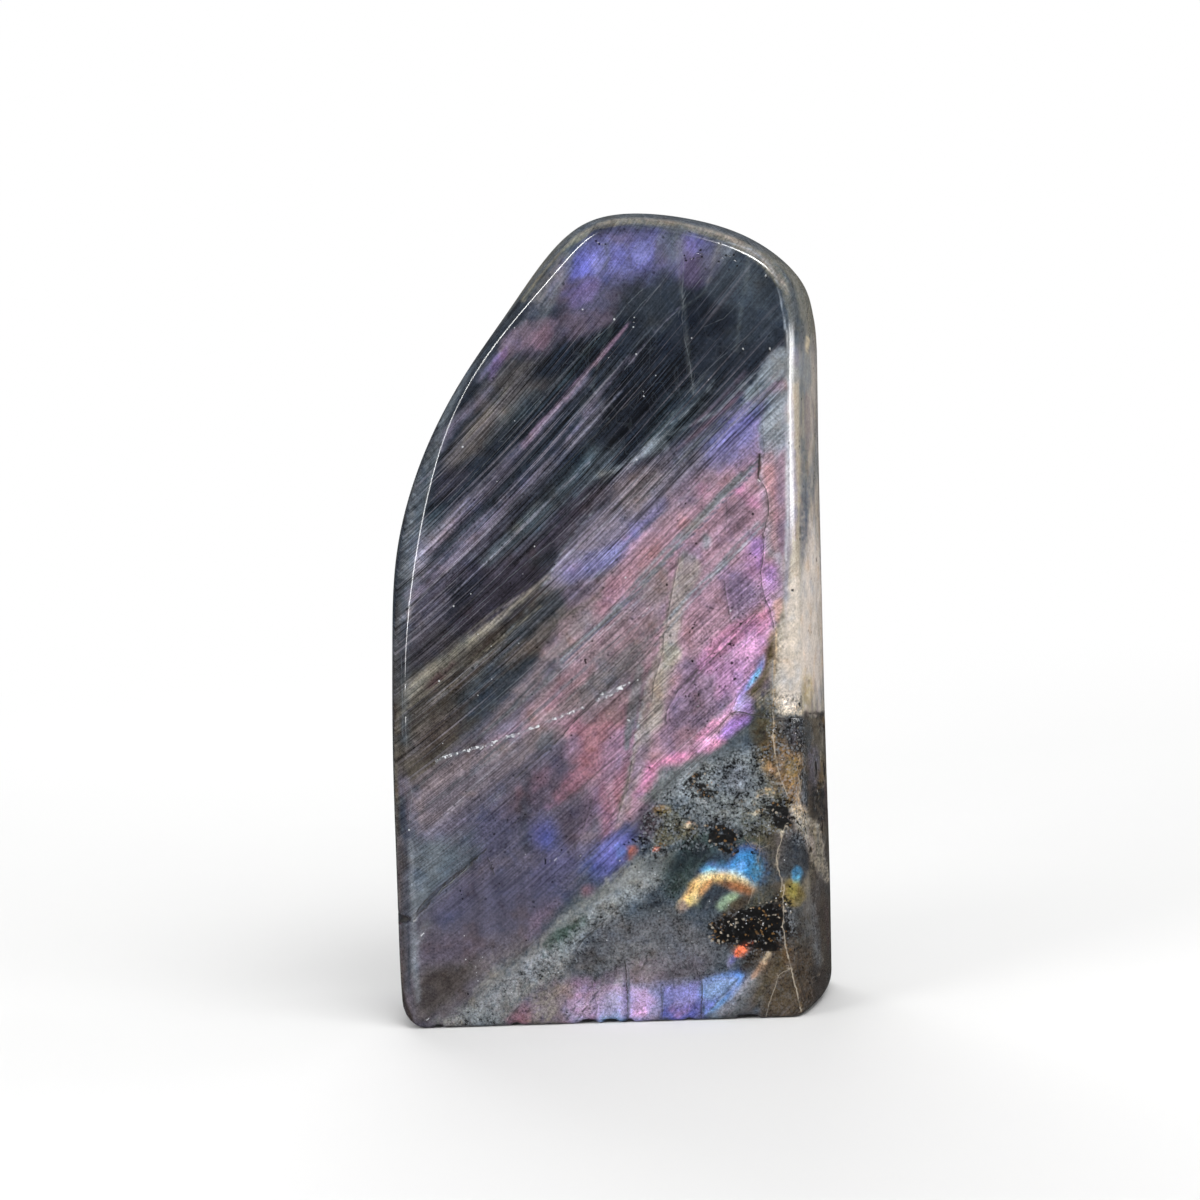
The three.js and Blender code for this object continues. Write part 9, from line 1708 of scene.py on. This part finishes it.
# ------------------------------------------------------------------ the mesh
mesh = bpy.data.meshes.new("labradorite_stone")
n_loops = len(Q) * 4 + len(R) * 3
mesh.vertices.add(len(V))
mesh.vertices.foreach_set("co", (V * MM).astype(np.float32).ravel())
mesh.loops.add(n_loops)
mesh.loops.foreach_set("vertex_index", np.concatenate([Q.ravel(), R.ravel()]).astype(np.int32))
mesh.polygons.add(len(Q) + len(R))
starts = np.concatenate([np.arange(len(Q)) * 4, len(Q) * 4 + np.arange(len(R)) * 3]).astype(np.int32)
mesh.polygons.foreach_set("loop_start", starts)
mesh.update(calc_edges=True)
mesh.validate()
mesh.polygons.foreach_set("use_smooth", np.ones(len(mesh.polygons), bool))


def put(name, values):
    at = mesh.attributes.new(name, "FLOAT_VECTOR", "POINT")
    at.data.foreach_set("vector", np.ascontiguousarray(values, np.float32).ravel())


def to_linear(c):
    c = np.clip(c / 255, 0, 1)
    return np.where(c <= 0.04045, c / 12.92, ((c + 0.055) / 1.055) ** 2.4)


paint = mesh.attributes.new("Paint", "FLOAT_COLOR", "POINT")
paint.data.foreach_set("color", np.concatenate([to_linear(COL), np.ones((len(V), 1))], 1).astype(np.float32).ravel())
put("Lam", np.stack([S_, T_, comb_amt], -1))
put("Tex", np.stack([grain_amt, foot, pit_kind], -1))
put("Zone", np.stack([soot_amt, lace_amt, upright_amt], -1))
put("DarkLine", np.stack([dark[0], dark[1], dark[2]], -1))
put("PaleLine", np.stack([bright[0], bright[1], bright[2]], -1))
put("Glint", np.stack([glint[0], glint[1], glint[2]], -1))
put("Pit", pit)

# charts without overlap: the face, the back, and the side cut into three strips
uv = mesh.uv_layers.new(name="OFBake")
loop_v = np.empty(len(mesh.loops), np.int32)
mesh.loops.foreach_get("vertex_index", loop_v)
chart, column = np.concatenate(charts), np.concatenate(columns)
corner = V[Q]
quad_uv = np.zeros((len(Q), 4, 2))
left_x, tall, wide_x = X.min(), Z.max() - Z.min(), X.max() - X.min()
k_face = 0.975 / tall
on = chart == 0
quad_uv[on] = 0.012 + (corner[on][..., (0, 2)] - [left_x, 0]) * k_face
col_u = 0.012 + wide_x * k_face + 0.012
room = 0.988 - col_u
mid_row = rows[12]
step_u = np.linalg.norm(np.roll(mid_row, -1, axis=0) - mid_row, axis=1)
arc = np.concatenate([[0], np.cumsum(step_u)])
side_rows = rows[5:len(rows) - 3]
fall = np.concatenate([[0], np.cumsum([np.linalg.norm(b - a, axis=1).mean() for a, b in zip(side_rows[:-1], side_rows[1:])])])
cuts = [0] + [int(np.searchsorted(arc, arc[-1] * f)) for f in (1 / 3, 2 / 3)] + [N]
k_side = room / max(arc[b] - arc[a] for a, b in zip(cuts[:-1], cuts[1:]))
for n, (first, last) in enumerate(zip(cuts[:-1], cuts[1:])):
    on = (chart >= 10) & (column >= first) & (column < last)
    i, r = column[on], chart[on] - 10
    for c, (di, dr) in enumerate(((0, 0), (1, 0), (1, 1), (0, 1))):
        quad_uv[on, c, 0] = col_u + (arc[i + di] - arc[first]) * k_side
        quad_uv[on, c, 1] = 0.012 + n * (fall[-1] * k_side + 0.012) + fall[r + dr] * k_side
base = 0.012 + 3 * (fall[-1] * k_side + 0.012)
k_back = min(room / wide_x, (0.988 - base) / tall)
on = chart == 1
flip = np.array([-1.0, 1.0])
start = np.array([X.max() * k_back + col_u, base])
quad_uv[on] = start + corner[on][..., (0, 2)] * flip * k_back
tri_uv = start + V[R][..., (0, 2)] * flip * k_back
flat = np.concatenate([quad_uv.reshape(-1, 2), tri_uv.reshape(-1, 2)])
uv.data.foreach_set("uv", flat.astype(np.float32).ravel())

stone = bpy.data.objects.new("labradorite_stone", mesh)
bpy.context.scene.collection.objects.link(stone)
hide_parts(NODE)
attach(stone, "root")

# ------------------------------------------------------------------ material
mat = bpy.data.materials.new("labradorite_polished")
mat.use_nodes = True
nt = mat.node_tree
nt.nodes.clear()


def node(kind, **kw):
    n = nt.nodes.new(kind)
    for k, v in kw.items():
        setattr(n, k, v)
    return n


def link(a, b):
    nt.links.new(a, b)


def attr(name):
    return node("ShaderNodeAttribute", attribute_name=name)


def op(kind, a, b=None, clamp=False):
    n = node("ShaderNodeMath", operation=kind, use_clamp=clamp)
    for k, v in enumerate((a, b)):
        if v is None:
            continue
        if isinstance(v, (int, float)):
            n.inputs[k].default_value = v
        else:
            link(v, n.inputs[k])
    return n.outputs[0]


def total(first, *rest):
    for r in rest:
        first = op("ADD", first, r)
    return first


def prod(first, *rest):
    for r in rest:
        first = op("MULTIPLY", first, r)
    return first


def step(value, lo, hi):
    """0 at lo, 1 at hi, smoothly; lo may be above hi."""
    n = node("ShaderNodeMapRange", interpolation_type="SMOOTHSTEP")
    a, b, c, d = (lo, hi, 0.0, 1.0) if lo < hi else (hi, lo, 1.0, 0.0)
    link(value, n.inputs["Value"])
    for key, v in (("From Min", a), ("From Max", b), ("To Min", c), ("To Max", d)):
        n.inputs[key].default_value = v
    return n.outputs["Result"]


def scaled(vector, xyz):
    n = node("ShaderNodeVectorMath", operation="MULTIPLY")
    link(vector, n.inputs[0])
    n.inputs[1].default_value = xyz
    return n.outputs[0]


def noise_tex(vector, scale, detail=2.0, rough=0.5, distortion=0.0):
    n = node("ShaderNodeTexNoise")
    link(vector, n.inputs["Vector"])
    n.inputs["Scale"].default_value = scale
    n.inputs["Detail"].default_value = detail
    n.inputs["Roughness"].default_value = rough
    n.inputs["Distortion"].default_value = distortion
    return n.outputs[0]


def about_zero(n, k=2.0):
    return prod(op("SUBTRACT", n, 0.5), k)


def cells(scale):
    n = node("ShaderNodeTexVoronoi", feature="F1")
    link(obj, n.inputs["Vector"])
    n.inputs["Scale"].default_value = scale
    c = node("ShaderNodeSeparateColor")
    link(n.outputs["Color"], c.inputs[0])
    return n.outputs["Distance"], c.outputs[0], c.outputs[1]


def mix_col(mode, fac, a, b):
    n = node("ShaderNodeMix", data_type="RGBA", blend_type=mode)
    for key, v in ((0, fac), (6, a), (7, b)):
        if isinstance(v, (int, float)):
            n.inputs[key].default_value = v
        elif isinstance(v, tuple):
            n.inputs[key].default_value = (*v, 1.0)
        else:
            link(v, n.inputs[key])
    return n.outputs[2]


def gain(colour, factor):
    n = node("ShaderNodeVectorMath", operation="SCALE")
    link(colour, n.inputs[0])
    link(op("MAXIMUM", factor, 0.06), n.inputs["Scale"])
    return n.outputs[0]


def split(vector):
    n = node("ShaderNodeSeparateXYZ")
    link(vector, n.inputs[0])
    return n.outputs


def lin(name, k=1.0):
    c = to_linear(np.array(PALETTE[name], float) * k)
    return tuple(float(v) for v in c)


obj = node("ShaderNodeTexCoord").outputs["Object"]
place = split(obj)
col = attr("Paint").outputs["Color"]
lam_v = attr("Lam").outputs["Vector"]
comb_s = split(lam_v)[2]
tex = split(attr("Tex").outputs["Vector"])
grain_s, foot_s, pit_kind_s = tex[0], tex[1], tex[2]
zone = split(attr("Zone").outputs["Vector"])
soot_s, lace_s, upright_s = zone[0], zone[1], zone[2]

# mottling in the feldspar, a little bluer or browner from spot to spot
mottle = noise_tex(obj, 330.0, 2.0, 0.62)
col = gain(col, total(1.0, prod(about_zero(mottle), op("ADD", prod(grain_s, 0.42), 0.12))))
hue = noise_tex(obj, 210.0, 2.0, 0.6)
col = mix_col("MULTIPLY", step(hue, 0.52, 0.75), col, (0.80, 0.88, 1.0))
col = mix_col("MULTIPLY", step(hue, 0.48, 0.25), col, (1.0, 0.90, 0.80))
# upright cleavage that shows as soft bars
bars = noise_tex(scaled(obj, (420.0, 120.0, 16.0)), 1.0, 2.0, 0.6)
col = gain(col, total(1.0, prod(about_zero(bars), upright_s, 0.75)))

# twin lamellae: wide bands, long thin lines and fine striations that all run along the same planes
wide_n = noise_tex(scaled(lam_v, (0.62, 0.017, 0.0)), 1.0, 2.0, 0.5)
line_n = noise_tex(scaled(lam_v, (2.3, 0.030, 0.0)), 1.0, 2.5, 0.66)
fine_n = noise_tex(scaled(lam_v, (6.5, 0.16, 0.0)), 1.0, 1.0, 0.6)
crisp = about_zero(step(line_n, 0.38, 0.62), 0.86)
crisp_fine = about_zero(step(fine_n, 0.36, 0.64), 0.56)
lines = total(prod(about_zero(wide_n), 0.9), crisp, crisp_fine)
col = gain(col, total(1.0, prod(lines, comb_s)))
pale_n = noise_tex(scaled(lam_v, (1.55, 0.021, 0.0)), 1.0, 3.0, 0.62)
pale_edges = prod(step(pale_n, 0.565, 0.615), op("MINIMUM", comb_s, 1.0), total(0.2, prod(step(wide_n, 0.42, 0.62), 0.5)))
col = mix_col("MIX", prod(pale_edges, 0.62), col, lin("lilacpale", 0.95))
dark_n = noise_tex(scaled(lam_v, (1.8, 0.024, 0.0)), 1.0, 3.0, 0.62, 0.0)
col = gain(col, op("SUBTRACT", 1.0, prod(step(dark_n, 0.41, 0.33), op("MINIMUM", comb_s, 1.0), 0.55)))

# fine mineral grain, from a millimetre down to the finest that shows
grit = noise_tex(obj, 430.0, 3.0, 0.88)
grit2 = noise_tex(obj, 2300.0, 2.0, 0.8)
brushed = noise_tex(scaled(lam_v, (3.6, 0.045, 0.0)), 1.0, 2.0, 0.75)
crushed = step(grain_s, 0.92, 1.3)
loose = total(prod(about_zero(grit), 1.75), prod(about_zero(grit2), 1.3))
combed = total(prod(about_zero(grit), 1.0), prod(about_zero(grit2), 1.55), prod(about_zero(brushed), comb_s, comb_s, 1.8))
shade = op("ADD", prod(loose, crushed), prod(combed, op("SUBTRACT", 1.0, crushed)))
col = gain(col, total(1.0, prod(shade, grain_s)))
# sugary crystals in the crushed places
_, cell_a, cell_b = cells(2900.0)
sugar = prod(step(grain_s, 0.85, 1.35), 0.42)
col = mix_col("MIX", prod(step(cell_a, 0.62, 0.95), sugar), col, lin("mist"))
col = mix_col("MIX", prod(step(cell_b, 0.80, 0.97), sugar), col, lin("night"))

# lace of fine healed cracks
lace_n = noise_tex(scaled(obj, (180.0, 90.0, 80.0)), 1.0, 2.0, 0.55, 0.22)
lace_m = step(op("ABSOLUTE", op("SUBTRACT", lace_n, 0.5)), 0.011, 0.002)
col = mix_col("MIX", prod(lace_m, lace_s, 0.13), col, lin("fog"))

# black mineral clusters with rusty and bright grains in them
soot_n = noise_tex(obj, 560.0, 4.0, 0.86)
limit = op("SUBTRACT", 0.695, prod(soot_s, 0.24))
soot = step(op("SUBTRACT", soot_n, limit), -0.012, 0.022)
col = mix_col("MIX", prod(soot, 0.95), col, lin("black", 0.45))
_, cell_c, cell_d = cells(2600.0)
near_soot = step(soot_s, 0.35, 0.8)
col = mix_col("MIX", prod(step(cell_c, 0.93, 0.97), near_soot, 0.5), col, lin("honey", 1.15))
col = mix_col("MIX", prod(step(cell_d, 0.96, 0.985), near_soot, 0.6), col, lin("bone", 1.1))
# sparse dark inclusions
far_d, cell_e, _ = cells(430.0)
inclusion = prod(step(far_d, 0.15, 0.08), step(cell_e, 0.70, 0.72))
col = mix_col("MIX", prod(inclusion, 0.6), col, lin("ink"))


def line_mask(name, lo, hi, wobble):
    v = split(attr(name).outputs["Vector"])
    d = op("ABSOLUTE", op("ADD", v[0], prod(about_zero(noise_tex(obj, 800.0, 3.0, 0.7)), wobble)))
    return prod(step(d, hi, lo), step(v[1], 0.9, 0.5), v[2]), v


dark_m, dark_v = line_mask("DarkLine", 0.2, 1.35, 2.6)
pale_m, pale_v = line_mask("PaleLine", 0.2, 1.4, 3.0)
break_up = step(noise_tex(obj, 500.0, 2.0, 0.6), 0.36, 0.52)
dark_m = prod(dark_m, total(0.45, prod(break_up, 0.55)))
pale_m = prod(pale_m, total(0.25, prod(break_up, 0.75)))
# painted light and shade along the cracks: one bank of each crack is painted darker as shade, the other lighter as if
# it catches light
bank = prod(step(dark_v[1], 0.9, 0.5), dark_v[2])
dim = prod(step(dark_v[0], 0.0, 1.6), step(dark_v[0], 5.0, 1.8), bank)
lit = prod(step(dark_v[0], 0.0, -1.3), step(dark_v[0], -4.0, -1.5), bank)
col = gain(col, total(1.0, prod(lit, 0.20), prod(dim, -0.22)))
col = mix_col("MULTIPLY", dark_m, col, (0.15, 0.125, 0.13))
warm = prod(step(place[2], 0.062, 0.054), step(place[0], 0.0, 0.012))
pale_tone = mix_col("MIX", warm, lin("mist", 0.92), lin("bone", 1.05))
col = mix_col("MIX", prod(pale_m, total(0.55, prod(warm, 0.35))), col, pale_tone)
# painted glints: beads of white glitter painted into the colour along the healed fracture
g = split(attr("Glint").outputs["Vector"])
_, cell_f, cell_g = cells(2600.0)
bead_n = noise_tex(obj, 950.0, 2.0, 0.8)
on_it = prod(step(op("ABSOLUTE", op("ADD", g[0], prod(about_zero(bead_n), 4.5))), 2.3, 0.9), step(g[1], 0.9, 0.55), g[2])
glit = prod(on_it, step(cell_f, 0.35, 0.62), step(noise_tex(obj, 600.0, 2.0, 0.7), 0.44, 0.56))
col = mix_col("MIX", prod(on_it, 0.28), col, lin("mist"))
col = mix_col("MIX", glit, col, lin("white", 0.98))
# pits and polished-out dots
p = split(attr("Pit").outputs["Vector"])
pd = op("SQRT", op("ADD", prod(p[0], p[0]), prod(p[1], p[1])))
hollow = prod(step(pd, 1.15, 0.5), step(p[2], 1.3, 0.8), op("SUBTRACT", 1.0, pit_kind_s))
pd = total(pd, about_zero(grit2, 1.6))
pit_m = prod(step(pd, 1.15, 0.5), step(p[2], 1.3, 0.8))
pit_dark = prod(pit_m, op("SUBTRACT", 1.0, pit_kind_s))
col = mix_col("MIX", prod(pit_dark, 0.92), col, lin("black"))
col = mix_col("MIX", prod(pit_m, pit_kind_s, 0.8), col, lin("white", 0.95))

# gloss: high polish, duller in grit and cracks, satin on the sawn foot
rough = total(0.10, prod(grain_s, 0.05), prod(noise_tex(obj, 120.0, 3.0, 0.6), 0.08), prod(soot, 0.12))
rough = total(rough, prod(op("MAXIMUM", dark_m, glit), 0.35), prod(foot_s, 0.34))
rough = op("MINIMUM", rough, 0.8)

height = total(prod(crisp_fine, comb_s, 0.14), prod(noise_tex(obj, 420.0, 1.0, 0.6), 0.35), prod(grit2, grain_s, 0.3))
groove = prod(step(op("ABSOLUTE", dark_v[0]), 1.5, 0.2), bank)
height = total(height, prod(groove, -1.6), prod(hollow, -1.4))
height = total(height, prod(noise_tex(scaled(obj, (60.0, 900.0, 60.0)), 1.0, 1.0, 0.6), foot_s, 2.0))
bump = node("ShaderNodeBump")
bump.inputs["Strength"].default_value = 0.35
bump.inputs["Distance"].default_value = 0.00006
link(height, bump.inputs["Height"])

bsdf = node("ShaderNodeBsdfPrincipled")
link(col, bsdf.inputs["Base Color"])
link(rough, bsdf.inputs["Roughness"])
link(bump.outputs["Normal"], bsdf.inputs["Normal"])
bsdf.inputs["IOR"].default_value = 1.56
bsdf.inputs["Specular IOR Level"].default_value = 0.45
out = node("ShaderNodeOutputMaterial")
link(bsdf.outputs[0], out.inputs["Surface"])
mesh.materials.append(mat)

# ------------------------------------------------------------------ floor, light
fm = bpy.data.meshes.new("floor")
ring_n = 96
fv = [(0, 0, 0)] + [(7 * math.cos(2 * math.pi * i / ring_n), 7 * math.sin(2 * math.pi * i / ring_n), 0) for i in range(ring_n)]
fm.from_pydata(fv, [], [(0, 1 + i, 1 + (i + 1) % ring_n) for i in range(ring_n)])
floor = bpy.data.objects.new("floor", fm)
bpy.context.scene.collection.objects.link(floor)
floor.location = (0, 0, -0.00002)
floor.visible_glossy = False
fmat = bpy.data.materials.new("pale_floor")
fmat.use_nodes = True
nt = fmat.node_tree
nt.nodes.clear()
fpos = node("ShaderNodeTexCoord").outputs["Object"]
length = node("ShaderNodeVectorMath", operation="LENGTH")
link(fpos, length.inputs[0])
away = step(length.outputs["Value"], 0.16, 0.5)
fdif = node("ShaderNodeBsdfDiffuse")
tone = noise_tex(fpos, 9.0, 3.0, 0.5)
fcol = mix_col("MIX", tone, (0.80, 0.80, 0.80), (0.83, 0.83, 0.825))
link(fcol, fdif.inputs["Color"])
fem = node("ShaderNodeEmission")
fem.inputs["Color"].default_value = (1, 1, 1, 1)
fem.inputs["Strength"].default_value = 1.0
fmix = node("ShaderNodeMixShader")
link(away, fmix.inputs[0])
link(fdif.outputs[0], fmix.inputs[1])
link(fem.outputs[0], fmix.inputs[2])
fout = node("ShaderNodeOutputMaterial")
link(fmix.outputs[0], fout.inputs["Surface"])
fm.materials.append(fmat)

world = bpy.data.worlds.new("studio")
bpy.context.scene.world = world
world.use_nodes = True
nt = world.node_tree
nt.nodes.clear()
path = node("ShaderNodeLightPath")
bg_soft = node("ShaderNodeBackground")
bg_soft.inputs["Color"].default_value = (1.0, 1.0, 1.0, 1)
bg_soft.inputs["Strength"].default_value = 0.46
bg_gloss = node("ShaderNodeBackground")
bg_gloss.inputs["Color"].default_value = (1.0, 1.0, 1.0, 1)
bg_gloss.inputs["Strength"].default_value = 0.05
bg_seen = node("ShaderNodeBackground")
bg_seen.inputs["Color"].default_value = (1.0, 1.0, 1.0, 1)
bg_seen.inputs["Strength"].default_value = 1.0
mix1 = node("ShaderNodeMixShader")
link(path.outputs["Is Glossy Ray"], mix1.inputs[0])
link(bg_soft.outputs[0], mix1.inputs[1])
link(bg_gloss.outputs[0], mix1.inputs[2])
mix2 = node("ShaderNodeMixShader")
link(path.outputs["Is Camera Ray"], mix2.inputs[0])
link(mix1.outputs[0], mix2.inputs[1])
link(bg_seen.outputs[0], mix2.inputs[2])
wout = node("ShaderNodeOutputWorld")
link(mix2.outputs[0], wout.inputs["Surface"])


def softbox(name, at, aim, size, watts, glossy=True, diffuse=True):
    data = bpy.data.lights.new(name, "AREA")
    data.shape = "RECTANGLE"
    data.size, data.size_y = size[0] * MM, size[1] * MM
    data.energy = watts
    o = bpy.data.objects.new(name, data)
    o.location = Vector(at) * MM
    o.rotation_mode = "QUATERNION"
    o.rotation_quaternion = (Vector(at) - Vector(aim)).to_track_quat("Z", "Y")
    o.visible_camera = False
    o.visible_glossy, o.visible_diffuse = glossy, diffuse
    bpy.context.scene.collection.objects.link(o)
    return o


def polar(az, el, d, z0=75.0):
    a, e = math.radians(az), math.radians(el)
    return (d * math.sin(a) * math.cos(e), -d * math.cos(a) * math.cos(e), z0 + d * math.sin(e))


key = softbox("overhead", polar(38, 52, 750), (0, 0, 75), (520, 420), 3.4, glossy=False)
fill = softbox("left_soft", polar(-50, 20, 650), (0, 0, 75), (300, 420), 1.5, glossy=False)
rear = softbox("rear_soft", polar(195, 35, 800), (0, 0, 75), (500, 400), 3.0, glossy=False)
strip = softbox("right_strip", (395, 78, 74), (30, -10, 74), (44, 70), 0.22)
line_l = softbox("left_line", polar(-62, 14, 620), (0, 0, 75), (60, 420), 3.4, diffuse=False)
line_u = softbox("upper_left_line", polar(-45, 38, 620), (0, 0, 75), (90, 300), 4.0, diffuse=False)
line_t = softbox("top_line", polar(30, 38, 700), (0, 0, 75), (200, 200), 7.0, diffuse=False)

scene = bpy.context.scene
scene.view_settings.view_transform = "Standard"
scene.view_settings.look = "None"
scene.view_settings.exposure = 0.0
scene.view_settings.gamma = 1.0

bpy.context.view_layer.update()
